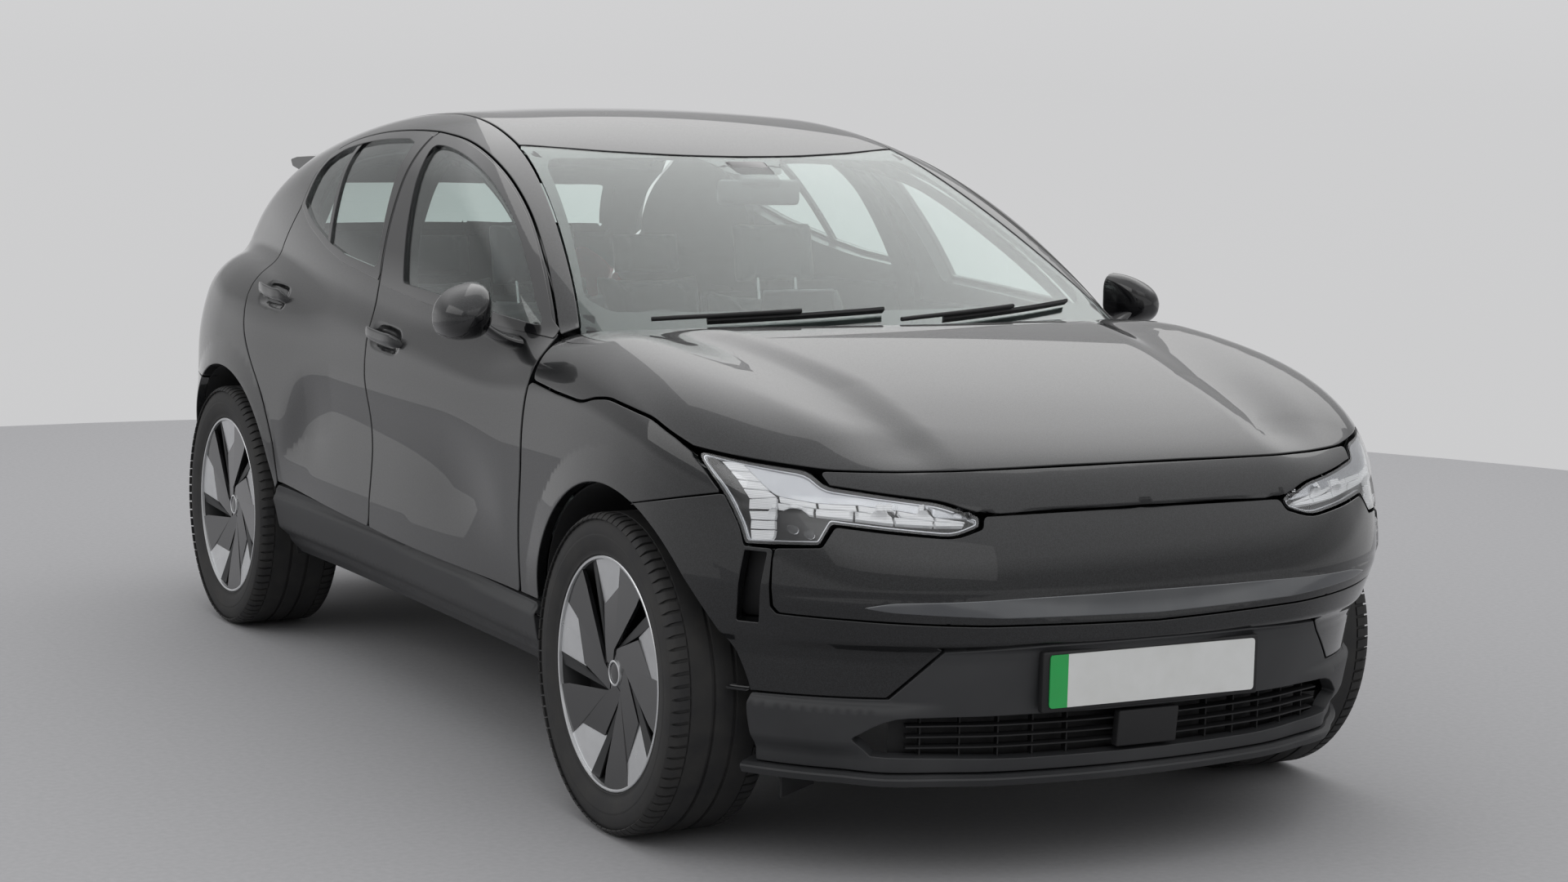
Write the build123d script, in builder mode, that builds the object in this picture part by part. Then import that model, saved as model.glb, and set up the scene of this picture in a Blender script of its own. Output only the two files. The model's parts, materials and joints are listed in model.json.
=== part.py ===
from build123d import *
from math import cos, exp, pi, radians, sin, tan
import os

os.makedirs("parts", exist_ok=True)

# Driving dimensions, millimetres. +Z is up, the car faces -Y and its left side is +X.
LENGTH = 4233
WIDTH = 1838
HEIGHT = 1549
WHEELBASE = 2650
FRONT_AXLE = -1351
REAR_AXLE = FRONT_AXLE + WHEELBASE
HUB_Z = 352
TRACK = 1596
TYRE_RADIUS = 352
TYRE_WIDTH = 240
RIM_RADIUS = 258
ARCH_RADIUS = 418
GAP = 6
DOOR_DEPTH = 90
FRAME_DEPTH = 42
SEAL_STEP = 10
SKIN = 22
BELT_Z = 1075
SILL_Z = 455
NOSE_Y = -LENGTH / 2
TAIL_Y = LENGTH / 2


# ---------------------------------------------------------------- outer skin
# The body is one smooth shape: side, nose, tail and deck surfaces blended by
# large radii, with the cabin standing on it. Every panel is cut from it.
def over(value):
    return max(value, 0)


def hump(value, centre, spread):
    return exp(-(((value - centre) / spread) ** 2))


def ramp(value, start, end):
    t = min(max((value - start) / (end - start), 0), 1)
    return t * t * (3 - 2 * t)


def blend(a, b, radius):
    """the larger of a and b, rounded where they meet"""
    h = over(radius - abs(a - b)) / radius
    return max(a, b) + radius * h * h / 4


def side_x(y, z):
    x = 893 + 24 * hump(y, FRONT_AXLE, 450) + 27 * hump(y, REAR_AXLE, 500)
    x -= 0.00017 * over(-y - 1350) ** 2 + 0.00027 * over(y - 1360) ** 2
    return x - 0.0003 * over(680 - z) ** 2 - 0.00083 * over(z - 780) ** 2


def nose_panel(x, z):
    """the closed panel between the lamps lies back from the bar below it"""
    facet = min(max((z - 556) / 51, 0), 1)
    return 8 * facet * ramp(-z, -774, -770) * ramp(-x, -781, -777)


def nose_y(x, z):
    x = abs(x)
    crown = 0.000125 + 0.00014 * min(over(620 - z) / 150, 1)
    rake = 0.00196 * over(min(z, 773) - 575) ** 2 + 0.45 * over(z - 773)
    rake *= 1 - 0.45 * ramp(x, 620, 840)
    undercut = 18 * ramp(-z, -515, -490) + 0.1 * over(500 - z)
    return NOSE_Y + crown * x * x + rake + undercut + nose_panel(x, z)


def tail_y(x, z):
    rake = 0.0003 * over(z - 660) ** 2 + 0.1 * over(z - 660)
    return TAIL_Y - 0.00011 * x * x - rake - 0.35 * over(450 - z)


def deck_z(x, y):
    run = -y - 1120
    bonnet_top = 1074 - 0.0806 * run - 0.0001924 * over(run) ** 2 - 0.00002 * x * x
    belt = 1022 + 0.045 * (y + 650) + 0.00002 * (y + 650) ** 2
    t = ramp(y, -1150, -550)
    return bonnet_top * (1 - t) + min(belt, 1100) * t


def lower_body(x, y, z):
    x = abs(x)
    shape = blend(x - side_x(y, z), nose_y(x, z) - y, 450)
    shape = blend(shape, y - tail_y(x, z), 420)
    return blend(shape, z - deck_z(x, y), 70 + 70 * ramp(y, -2000, -1800))


def cabin_x(y, z):
    lean = 0.1 * (z - 1000) + 0.0006 * over(z - 1000) ** 2
    return 850 - lean - 0.000055 * over(-y) ** 2 - 0.000065 * over(y - 300) ** 2


def windscreen_y(x, z):
    return -1090 + 2.116 * (z - 1050) + (0.00043 - 0.00000053 * (z - 1060)) * x * x


def roof_z(x, y):
    fall = 0.00015 if y < 500 else 0.00013
    return HEIGHT - fall * (y - 500) ** 2 - 0.000083 * x * x


def rear_screen_y(x, z):
    return 1720 + 1400 - z - 0.00028 * x * x


def cabin(x, y, z):
    x = abs(x)
    shape = blend(x - cabin_x(y, z), (windscreen_y(x, z) - y) / 2.3, 100)
    shape = blend(shape, (y - rear_screen_y(x, z)) / 1.4, 160)
    shape = blend(shape, y - tail_y(x, z), 60)
    return blend(shape, z - roof_z(x, y), 160)


def whole_body(x, y, z):
    return -blend(-lower_body(x, y, z), -cabin(x, y, z), 30)


def reach(surface, origin, direction, limit):
    """distance from origin along direction to the surface"""
    near = 0
    far = limit
    for _ in range(26):
        middle = (near + far) / 2
        point = [origin[i] + direction[i] * middle for i in range(3)]
        if surface(*point) < 0:
            near = middle
        else:
            far = middle
    return near


def skin_x(y, z):
    return reach(whole_body, (0, y, z), (1, 0, 0), 1200)


def spread(start, end, count):
    return [start + (end - start) * i / (count - 1) for i in range(count)]


# ---------------------------------------------------------------- wall makers
def closed_section(plane, outer, inner):
    """a wall's cross-section: outer skin line, inner face line, square edges"""
    with BuildSketch(plane) as section:
        with BuildLine():
            skin = Spline(outer)
            lining = Spline(inner)
            Line(skin @ 0, lining @ 0)
            Line(skin @ 1, lining @ 1)
        make_face()
    return section.sketch


def upright_wall(stations, heights, depth, inset=0):
    """side wall of the body between stations along Y, its sections upright"""
    sections = []
    for y in stations:
        outer = [(skin_x(y, z) - inset, z) for z in heights]
        inner = [(x - depth, z) for x, z in outer]
        sections.append(closed_section(Plane.XZ.offset(-y), outer, inner))
    return sections


def arched_wall(stations, centre_z, angles, depth, surface, inset=0):
    """wall that arches over the car: sections across the car at stations along Y"""
    sections = []
    for y in stations:
        outer = []
        inner = []
        for angle in angles:
            way = (cos(radians(angle)), 0, sin(radians(angle)))
            length = reach(surface, (0, y, centre_z), way, 1500) - inset
            outer.append((length * way[0], centre_z + length * way[2]))
            inner.append(((length - depth) * way[0], centre_z + (length - depth) * way[2]))
        sections.append(closed_section(Plane.XZ.offset(-y), outer, inner))
    return sections


def wrapped_wall(heights, centre_y, angles, depth, surface, inset=0):
    """wall that wraps round an end of the car: level sections at several heights"""
    sections = []
    for z in heights:
        outer = []
        inner = []
        for angle in angles:
            way = (cos(radians(angle)), sin(radians(angle)), 0)
            length = reach(surface, (0, centre_y, z), way, 3000) - inset
            outer.append((length * way[0], centre_y + length * way[1]))
            inner.append(((length - depth) * way[0], centre_y + (length - depth) * way[1]))
        sections.append(closed_section(Plane.XY.offset(z), outer, inner))
    return sections


def side_outline(points, offset_out=0):
    """closed straight-sided outline in the side view, as (y, z)"""
    with BuildSketch(Plane.YZ) as outline:
        with BuildLine():
            Polyline(points, close=True)
        make_face()
        if offset_out:
            offset(amount=offset_out)
    return outline.sketch


def front_outline(points, offset_out=0):
    """closed outline in the front view, as (x, z), on the left side"""
    with BuildSketch(Plane.XZ) as outline:
        with BuildLine():
            Polyline(points, close=True)
        make_face()
        if offset_out:
            offset(amount=offset_out)
    return outline.sketch


def save(part, label):
    part.label = label
    export_step(part, "parts/" + label + ".step")


# ---------------------------------------------------------------- outlines
# Shut lines of the left-hand doors in the side view, (y, z), front edge first.
PILLAR_LINE = [(123, SILL_Z), (140, 640), (178, 790), (232, 950), (226, 1100), (360, 1480)]
FRONT_DOOR = [(-826, SILL_Z - 15), (-858, 764), (-846, 950), (-806, 1040), (-560, 1216)]
FRONT_DOOR += [(-365, 1320), (-89, 1423), (127, 1472)] + PILLAR_LINE[::-1]
REAR_DOOR = PILLAR_LINE + [(763, 1472), (951, 1447), (1085, 1402), (1102, 1340), (1102, 1240)]
REAR_DOOR += [(1180, 1120), (1192, 1000), (1150, 890), (1060, 800), (960, 700), (885, 580)]
REAR_DOOR += [(868, SILL_Z + 20)]
# Upper edges of the doors in plan, (x, y): up the windscreen pillar, then under the cant rail.
FRONT_TOP = [(785, -806), (753.5, -700), (716.5, -560), (681, -400), (657.5, -240), (643, -89)]
FRONT_TOP += [(627, 127), (618, 360)]
REAR_TOP = [(618, 360), (618.5, 560), (619.5, 763), (624, 900), (632, 990), (649, 1078)]
FRONT_GLASS = [(-745, 1052), (-550, 1182), (-345, 1286), (-80, 1386), (127, 1434), (290, 1446)]
FRONT_GLASS += [(60, 1098)]
REAR_GLASS = [(258, 1122), (425, 1448), (763, 1445), (930, 1422), (1055, 1380), (1072, 1345)]
REAR_GLASS += [(1070, 1255), (935, 1212), (707, 1166), (543, 1142)]
# Bonnet's side shut line over the wing, from the door to the lamp, then the nose.
BONNET_SIDE = [(-862, 940), (-1175, 926), (-1301, 949), (-1505, 929), (-1643, 886), (-1860, 860)]
# Headlamp outline in the front view, (x, z), left side.
LAMP = [(864, 884), (694, 856), (677, 824), (466, 796), (384, 770), (391, 748), (453, 728)]
LAMP += [(588, 738), (676, 748), (704, 710), (824, 700), (834, 760)]


def slab(plane, points, amount, grow=0):
    """a cutter: the outline grown by a margin and pushed through the whole car"""
    with BuildPart() as cutter:
        with BuildSketch(plane):
            with BuildLine():
                Polyline(points, close=True)
            make_face()
            if grow:
                offset(amount=grow)
        extrude(amount=amount)
    return cutter.part


def side_slab(points, grow=0):
    return slab(Plane.YZ.offset(-1200), points, 2400, grow)


def front_slab(points, grow=0):
    return slab(Plane.XZ.offset(2400), points, -4800, grow)


def plan_slab(points, grow=0):
    return slab(Plane.XY.offset(100), points, 1600, grow)


def outboard(top_edge, shift, y_from, y_to):
    """everything outboard of a door's upper edge, which is moved by shift towards the side"""
    edge = [(x + shift, y) for x, y in top_edge]
    ends = [(edge[-1][0], y_to), (1200, y_to), (1200, y_from), (edge[0][0], y_from)]
    with BuildPart() as space:
        with BuildSketch(Plane.XY.offset(200)):
            with BuildLine():
                Polyline(edge + ends, close=True)
            make_face()
        extrude(amount=1500)
    return space.part


def both_ways(points):
    """an outline given for the left half, closed by its mirror image"""
    return points + [(-x, other) for x, other in points[::-1] if x]


def mirrored(piece):
    with BuildPart() as other:
        add(piece)
        mirror(about=Plane.YZ, mode=Mode.REPLACE)
    return other.part


def pair(piece):
    """the left-hand piece and its mirror image in one node"""
    with BuildPart() as both_sides:
        add(piece)
        mirror(about=Plane.YZ)
    return both_sides.part


def arch_cutters(radius, x_in=470, x_out=1000):
    """cylinders that open the wheel arches on the left side"""
    with BuildPart() as cutters:
        for axle in (FRONT_AXLE, REAR_AXLE):
            with BuildSketch(Plane.YZ.offset(x_in)):
                with Locations((axle, HUB_Z)):
                    Circle(radius)
            extrude(amount=x_out - x_in)
    return cutters.part


ARCHES = arch_cutters(ARCH_RADIUS)


# ---------------------------------------------------------------- doors
def door(points, glass, belt, top, y_from, y_to, above):
    """left-hand door: a deep lower leaf and a slim window frame that meet at the belt line"""
    stations = spread(y_from, y_to, 8)
    under_belt = belt + [(belt[-1][0], 200), (belt[0][0], 200)]
    over_belt = [(y, z + 0.6) for y, z in belt] + [(belt[-1][0], 1700), (belt[0][0], 1700)]
    with BuildPart() as leaf:
        loft(arched_wall(stations, 900, spread(-32, top, 8), DOOR_DEPTH, whole_body))
        extrude(side_outline(points, -GAP / 2 - SEAL_STEP), amount=1200, mode=Mode.INTERSECT)
        extrude(side_outline(under_belt), amount=1200, mode=Mode.INTERSECT)
    with BuildPart() as flange:
        loft(arched_wall(stations, 900, spread(-32, top, 8), 48, whole_body))
        extrude(side_outline(points, -GAP / 2), amount=1200, mode=Mode.INTERSECT)
        extrude(side_outline(under_belt), amount=1200, mode=Mode.INTERSECT)
    with BuildPart() as lower:
        add(leaf.part)
        add(flange.part)
    with BuildPart() as frame:
        loft(arched_wall(stations, 900, spread(7, 52, 9), FRAME_DEPTH, whole_body))
        extrude(side_outline(points, -GAP / 2), amount=1200, mode=Mode.INTERSECT)
        extrude(side_outline(glass), amount=1200, mode=Mode.SUBTRACT)
        extrude(side_outline(over_belt), amount=1200, mode=Mode.INTERSECT)
        add(above, mode=Mode.INTERSECT)
    with BuildPart() as whole:
        add(lower.part)
        add(frame.part)
    return whole.part


def pane(glass, y_from, y_to):
    """left-hand door glass, set into its frame's opening"""
    with BuildPart() as sheet:
        loft(arched_wall(spread(y_from, y_to, 6), 900, spread(7, 46, 8), 5, whole_body, 12))
        extrude(side_outline(glass, -0.4), amount=1200, mode=Mode.INTERSECT)
    return sheet.part


def both_hands(piece, label):
    save(piece, label + "_left")
    save(mirrored(piece), label + "_right")


# The front door's belt joint meets its rear edge where that edge bends, so neither solid is notched.
FRONT_BELT = [(-900, 1027), (60, 1073), (226, 1100), (450, 1114)]
REAR_BELT = [(50, 1076), (543, 1118), (707, 1145), (949, 1197), (1250, 1262)]
FRONT_ABOVE = outboard(FRONT_TOP, GAP / 2, -1000, 480)
REAR_ABOVE = outboard(REAR_TOP, GAP / 2, 0, 1300)
both_hands(door(FRONT_DOOR, FRONT_GLASS, FRONT_BELT, 14, -880, 380, FRONT_ABOVE), "door_front")
both_hands(door(REAR_DOOR, REAR_GLASS, REAR_BELT, 27, 90, 1210, REAR_ABOVE), "door_rear")
both_hands(pane(FRONT_GLASS, -790, 310), "glass_front")
both_hands(pane(REAR_GLASS, 240, 1090), "glass_rear")


# ---------------------------------------------------------------- door mirrors
with BuildPart() as mirror_left:
    with BuildSketch(Plane.YZ.offset(860)):
        with Locations((-640, 1000)):
            Ellipse(45, 16)
    with BuildSketch(Plane.YZ.offset(900)):
        with Locations((-640, 1010)):
            Ellipse(40, 14)
    loft()
    with BuildSketch(Plane.YZ.offset(892)):
        with Locations((-640, 1075)):
            RectangleRounded(120, 130, 40)
    with BuildSketch(Plane.YZ.offset(960)):
        with Locations((-655, 1078)):
            RectangleRounded(130, 125, 45)
    with BuildSketch(Plane.YZ.offset(1016)):
        with Locations((-640, 1070)):
            RectangleRounded(60, 80, 28)
    loft()
both_hands(mirror_left.part, "mirror")


# ---------------------------------------------------------------- body sides
SCREEN_EDGE = [(748, 900), (748, 1052), (563, 1452), (536, 1475), (536, 1600)]
GATE_EDGE = [(655, 600), (655, 1080), (668, 1140), (590, 1385), (560, 1425), (560, 1600)]
RAIL_EDGE = [(540, -1400), (540, 60), (505, 500), (520, 1100), (560, 1500), (560, 2200)]


def doorway(points, top_edge, y_from, y_to):
    """cutter for a door's opening: its outline in the side view, outboard of its upper edge"""
    with BuildPart() as cutter:
        extrude(side_outline(points, GAP / 2), amount=1200)
        add(outboard(top_edge, -GAP / 2, y_from, y_to), mode=Mode.INTERSECT)
    return cutter.part


DOORWAY_FRONT = doorway(FRONT_DOOR, FRONT_TOP, -1000, 480)
DOORWAY_REAR = doorway(REAR_DOOR, REAR_TOP, 0, 1300)
SCREEN_CUT = slab(Plane.XZ.offset(0), SCREEN_EDGE + [(0, 1600), (0, 900)], 1500)
GATE_CUT = slab(Plane.XZ.offset(-1490), GATE_EDGE + [(0, 1600), (0, 600)], -1000)
ROOF_CUT = slab(Plane.XY.offset(900), RAIL_EDGE + [(0, 2200), (0, -1400)], 900)
LAMP_EDGE = [(1945, 1092), (1868, 742), (2300, 742), (2300, 1092)]
BONNET_REAR = [(1000, -2300), (1000, -805), (780, -805), (700, -872), (520, -1000)]
BONNET_REAR += [(300, -1085), (0, -1112)]
BONNET_SPACE = plan_slab(both_ways(BONNET_REAR), GAP)


def body_side():
    """left-hand side: A pillar, cant rail, quarter panel, sill and centre pillar"""
    with BuildPart() as upper:
        loft(arched_wall(spread(-940, 1980, 17), 900, spread(8, 68, 12), 70, whole_body))
        split(bisect_by=Plane.XY.offset(1040), keep=Keep.TOP)
        add(SCREEN_CUT, mode=Mode.SUBTRACT)
        add(GATE_CUT, mode=Mode.SUBTRACT)
        add(ROOF_CUT, mode=Mode.SUBTRACT)
    with BuildPart() as quarter:
        loft(arched_wall(spread(860, 2060, 9), 900, spread(-31, 14, 8), 60, whole_body))
        quarter_edge = [(880, SILL_Z - 30), (880, 1110), (2080, 1110), (2080, 706), (1500, 706)]
        extrude(side_outline(quarter_edge), amount=1200, mode=Mode.INTERSECT)
        add(ARCHES, mode=Mode.SUBTRACT)
        add(GATE_CUT, mode=Mode.SUBTRACT)
    with BuildPart() as whole:
        add(upper.part)
        add(quarter.part)
        add(DOORWAY_FRONT, mode=Mode.SUBTRACT)
        add(DOORWAY_REAR, mode=Mode.SUBTRACT)
        extrude(side_outline(LAMP_EDGE, 2), amount=1200, mode=Mode.SUBTRACT)
        with BuildSketch(Plane.XZ.offset(930)):
            with BuildLine():
                Polyline((704, 330), (800, 330), (800, 440), (760, 446), (704, 446), close=True)
            make_face()
        extrude(amount=-1830)
        with BuildSketch(Plane.XY.offset(400)):
            with Locations((720, 200)):
                Rectangle(52, 140)
        with BuildSketch(Plane.XY.offset(1060)):
            with Locations((700, 235)):
                Rectangle(46, 120)
        with BuildSketch(Plane.XY.offset(1440)):
            with Locations((575, 340)):
                Rectangle(40, 120)
        loft(ruled=True)
        with BuildSketch(Plane.XY.offset(400)):
            with Locations((735, -840)):
                Rectangle(50, 60)
        with BuildSketch(Plane.XY.offset(990)):
            with Locations((690, -830)):
                Rectangle(36, 50)
        loft(ruled=True)
        add(ARCHES, mode=Mode.SUBTRACT)
        add(BONNET_SPACE, mode=Mode.SUBTRACT)
    return whole.part


CHARGE_FLAP = [(1448, 834), (1608, 834), (1608, 974), (1448, 974)]
BODY_SIDE = body_side()
save(mirrored(BODY_SIDE), "body_side_right")

with BuildPart() as body_side_left:
    add(BODY_SIDE)
    with BuildSketch(Plane.YZ.offset(842)):
        with BuildLine():
            Polyline(CHARGE_FLAP, close=True)
        make_face()
    extrude(amount=100, mode=Mode.SUBTRACT)
    with BuildSketch(Plane.YZ.offset(836)):
        with Locations((1528, 904)):
            Circle(34)
            Circle(26, mode=Mode.SUBTRACT)
    extrude(amount=22)
save(body_side_left.part, "body_side_left")

with BuildPart() as charge_flap:
    loft(arched_wall(spread(1420, 1640, 4), 900, spread(-8, 8, 5), 7, whole_body))
    extrude(side_outline(CHARGE_FLAP, -5), amount=1200, mode=Mode.INTERSECT)
save(charge_flap.part, "charge_flap")


# ---------------------------------------------------------------- roof and screens
with BuildPart() as roof_panel:
    loft(arched_wall(spread(-260, 1515, 12), 900, spread(38, 142, 15), SKIN, cabin))
    add(plan_slab(both_ways([(x - 3, y) for x, y in RAIL_EDGE])), mode=Mode.INTERSECT)
    header = [(-300, 1468), (300, 1468), (900, 1300), (1512, 1300), (1512, 1600), (-300, 1600)]
    add(side_slab(header), mode=Mode.INTERSECT)
save(roof_panel.part, "roof_panel")

with BuildPart() as windscreen:
    loft(wrapped_wall(spread(1040, 1470, 7), 300, spread(-140, -40, 11), 6, cabin))
    glass_edge = both_ways([(741, 1054), (555, 1450), (528, 1463)])
    add(front_slab(glass_edge), mode=Mode.INTERSECT)
save(windscreen.part, "windscreen")


# ---------------------------------------------------------------- bonnet and cowl
with BuildPart() as bonnet:
    loft(arched_wall(spread(-2090, -780, 14), 500, spread(24, 156, 19), SKIN, lower_body))
    lid_edge = [(y, z + GAP / 2) for y, z in BONNET_SIDE]
    lid_edge += [(-2150, 860), (-2150, 1300), (-812, 1300), (-812, 1044), (-854, 950)]
    add(side_slab(lid_edge), mode=Mode.INTERSECT)
    add(plan_slab(both_ways(BONNET_REAR)), mode=Mode.INTERSECT)
save(bonnet.part, "bonnet")

with BuildPart() as cowl_panel:
    loft(arched_wall(spread(-1180, -850, 5), 500, spread(32, 148, 15), 25, lower_body, SKIN + 12))
    cowl_edge = [(0, -1180), (400, -1180), (660, -960), (700, -880), (520, -975), (300, -1040)]
    cowl_edge += [(0, -1070)]
    add(plan_slab(both_ways(cowl_edge)), mode=Mode.INTERSECT)
save(cowl_panel.part, "cowl_panel")


# ---------------------------------------------------------------- front wings
LAMP_HOLE = slab(Plane.XZ.offset(1500), LAMP, 1000, 3)

with BuildPart() as wing:
    loft(arched_wall(spread(-1800, -820, 9), 600, spread(-28, 46, 10), 7, lower_body))
    wing_edge = [(-832, SILL_Z - 12), (-864, 764), (-852, 946)]
    wing_edge += [(y, z - GAP / 2) for y, z in BONNET_SIDE[:5]]
    wing_edge += [(-1700, 842), (-1746, 803), (-1480, 745), (-1480, SILL_Z - 12)]
    add(side_slab(wing_edge, -1), mode=Mode.INTERSECT)
    add(LAMP_HOLE, mode=Mode.SUBTRACT)
    add(ARCHES, mode=Mode.SUBTRACT)
save(pair(wing.part), "front_wings")


# ---------------------------------------------------------------- nose
PLATE_SPACE = [(-268, 365), (268, 365), (268, 496), (-268, 496)]
# The tall slot below each lamp that leads air round the wheel.
CURTAIN = [(787, 538), (820, 538), (820, 692), (787, 692)]
RIGHT_ARCHES = mirrored(ARCHES)

with BuildPart() as headlamp:
    loft(wrapped_wall(spread(680, 905, 6), -1250, spread(-80, 10, 15), 70, lower_body))
    add(front_slab(LAMP, -1), mode=Mode.INTERSECT)
save(pair(headlamp.part), "headlamps")

with BuildPart() as front_bumper:
    levels = [385, 440, 490, 518, 556, 607, 650, 700, 740, 768, 776, 815, 860, 900]
    loft(wrapped_wall(levels, -1250, spread(-200, 20, 25), 30, lower_body), ruled=True)
    bumper_edge = [(-1480, 738), (-1746, 796), (-1660, 872), (-1860, 852), (-2200, 852)]
    bumper_edge += [(-2200, 395), (-1480, 395)]
    add(side_slab(bumper_edge, -1.5), mode=Mode.INTERSECT)
    add(LAMP_HOLE, mode=Mode.SUBTRACT)
    add(mirrored(LAMP_HOLE), mode=Mode.SUBTRACT)
    add(ARCHES, mode=Mode.SUBTRACT)
    add(RIGHT_ARCHES, mode=Mode.SUBTRACT)
    add(slab(Plane.XZ.offset(2094.4), PLATE_SPACE, 200), mode=Mode.SUBTRACT)
    add(slab(Plane.XZ.offset(1700), CURTAIN, 300), mode=Mode.SUBTRACT)
    add(slab(Plane.XZ.offset(1700), [(-x, z) for x, z in CURTAIN], 300), mode=Mode.SUBTRACT)
save(front_bumper.part, "front_bumper")

with BuildPart() as front_valance:
    loft(wrapped_wall(spread(205, 389, 6), -1250, spread(-200, 20, 25), 34, lower_body))
    mouth = both_ways([(560, 262), (625, 310), (560, 356)])
    add(slab(Plane.XZ.offset(1500), mouth, 1000), mode=Mode.SUBTRACT)
    valance_edge = [(-1680, 389), (-1650, 205), (-2300, 205), (-2300, 389)]
    add(side_slab(valance_edge), mode=Mode.INTERSECT)
    add(ARCHES, mode=Mode.SUBTRACT)
    add(RIGHT_ARCHES, mode=Mode.SUBTRACT)
save(front_valance.part, "front_valance")

with BuildPart() as lower_grille:
    for level in (270, 292, 314, 336):
        with BuildSketch(Plane.XY.offset(level)):
            with Locations((0, -2030)):
                Rectangle(900, 20)
        extrude(amount=7)
    with BuildSketch(Plane.XZ.offset(2022)):
        with Locations((0, 308)):
            Rectangle(190, 84)
    extrude(amount=46)
    for x in (-400, 400):
        with BuildSketch(Plane.XZ.offset(2022)):
            with Locations((x, 306)):
                Rectangle(12, 80)
        extrude(amount=14)
save(lower_grille.part, "lower_grille")

with BuildPart() as number_plates:
    with BuildSketch(Plane.XZ.offset(-NOSE_Y - 13)):
        with Locations((0, 429)):
            RectangleRounded(520, 111, 8)
    extrude(amount=3)
    with BuildSketch(Plane.XZ.offset(-NOSE_Y - 22)):
        with Locations((0, 440)):
            RectangleRounded(300, 60, 8)
    extrude(amount=9)
    with BuildSketch(Plane.XZ.offset(-TAIL_Y + 17)):
        with Locations((0, 560)):
            RectangleRounded(520, 111, 8)
    extrude(amount=-3)
save(number_plates.part, "number_plates")


# ---------------------------------------------------------------- tailgate
with BuildPart() as rear_spoiler:
    for x, drop, back in ((-552, 34, 60), (-300, 8, 10), (0, 0, 0), (300, 8, 10), (552, 34, 60)):
        with BuildSketch(Plane.YZ.offset(x)):
            with BuildLine():
                Polyline(
                    (1522, 1409 - drop), (1815 - back, 1392 - drop), (1800 - back, 1372 - drop),
                    (1700 - back, 1356 - drop), (1522, 1392 - drop), close=True,
                )
            make_face()
    loft(ruled=True)
save(rear_spoiler.part, "rear_spoiler")

with BuildPart() as spoiler_space:
    add(rear_spoiler.part)
    with Locations((0, 0, 2)):
        add(rear_spoiler.part)
    with Locations((0, 0, -2)):
        add(rear_spoiler.part)

with BuildPart() as tailgate:
    loft(wrapped_wall(spread(716, 1395, 10), 300, spread(50, 130, 15), 45, whole_body))
    gate_edge = [(556, 1380), (582, 1380), (661, 1140), (650, 1080), (650, 722)]
    add(front_slab(both_ways(gate_edge), -4), mode=Mode.INTERSECT)
    add(side_slab([(1522, 1500), (1522, 700), (2300, 700), (2300, 1500)]), mode=Mode.INTERSECT)
    screen_hole = [(480, 1330), (512, 1320), (592, 1150), (585, 1132)]
    add(front_slab(both_ways(screen_hole)), mode=Mode.SUBTRACT)
    add(spoiler_space.part, mode=Mode.SUBTRACT)
save(tailgate.part, "tailgate")

with BuildPart() as rear_screen:
    loft(wrapped_wall(spread(1100, 1380, 6), 300, spread(55, 125, 13), 5, whole_body, 6))
    add(front_slab(both_ways(screen_hole), -0.4), mode=Mode.INTERSECT)
save(rear_screen.part, "rear_screen")


# ---------------------------------------------------------------- tail lamps and rear bumper
with BuildPart() as tail_lamp:
    loft(wrapped_wall(spread(735, 1095, 7), 1250, spread(20, 80, 13), 60, whole_body))
    add(side_slab(LAMP_EDGE, -2), mode=Mode.INTERSECT)
    add(GATE_CUT, mode=Mode.SUBTRACT)
save(pair(tail_lamp.part), "tail_lamps")

with BuildPart() as rear_bumper:
    loft(wrapped_wall(spread(425, 712, 7), 1250, spread(-20, 200, 25), 28, lower_body))
    add(side_slab([(1500, 700), (1690, 425), (2200, 425), (2200, 700)]), mode=Mode.INTERSECT)
    add(ARCHES, mode=Mode.SUBTRACT)
    add(RIGHT_ARCHES, mode=Mode.SUBTRACT)
    plate_recess = [(-268, 498), (268, 498), (268, 622), (-268, 622)]
    add(slab(Plane.XZ.offset(-TAIL_Y + 17.5), plate_recess, -200), mode=Mode.SUBTRACT)
save(rear_bumper.part, "rear_bumper")

with BuildPart() as rear_valance:
    loft(wrapped_wall(spread(225, 422, 6), 1250, spread(-20, 200, 25), 28, lower_body, 12))
    add(side_slab([(1600, 422), (1660, 225), (2200, 225), (2200, 422)]), mode=Mode.INTERSECT)
    add(ARCHES, mode=Mode.SUBTRACT)
    add(RIGHT_ARCHES, mode=Mode.SUBTRACT)
save(rear_valance.part, "rear_valance")


# ---------------------------------------------------------------- sill trims
with BuildPart() as sill_trim:
    loft(arched_wall(spread(-960, 905, 7), 900, [-41, -38, -35, -32, -28.5], 24, lower_body, -4))
    sill_edge = [(-955, 400), (-960, 372), (-900, 262), (850, 262), (905, 400), (880, 414)]
    sill_edge += [(864, 424), (852, 438), (-830, 424)]
    add(side_slab(sill_edge), mode=Mode.INTERSECT)
    add(ARCHES, mode=Mode.SUBTRACT)
save(pair(sill_trim.part), "sill_trims")


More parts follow.
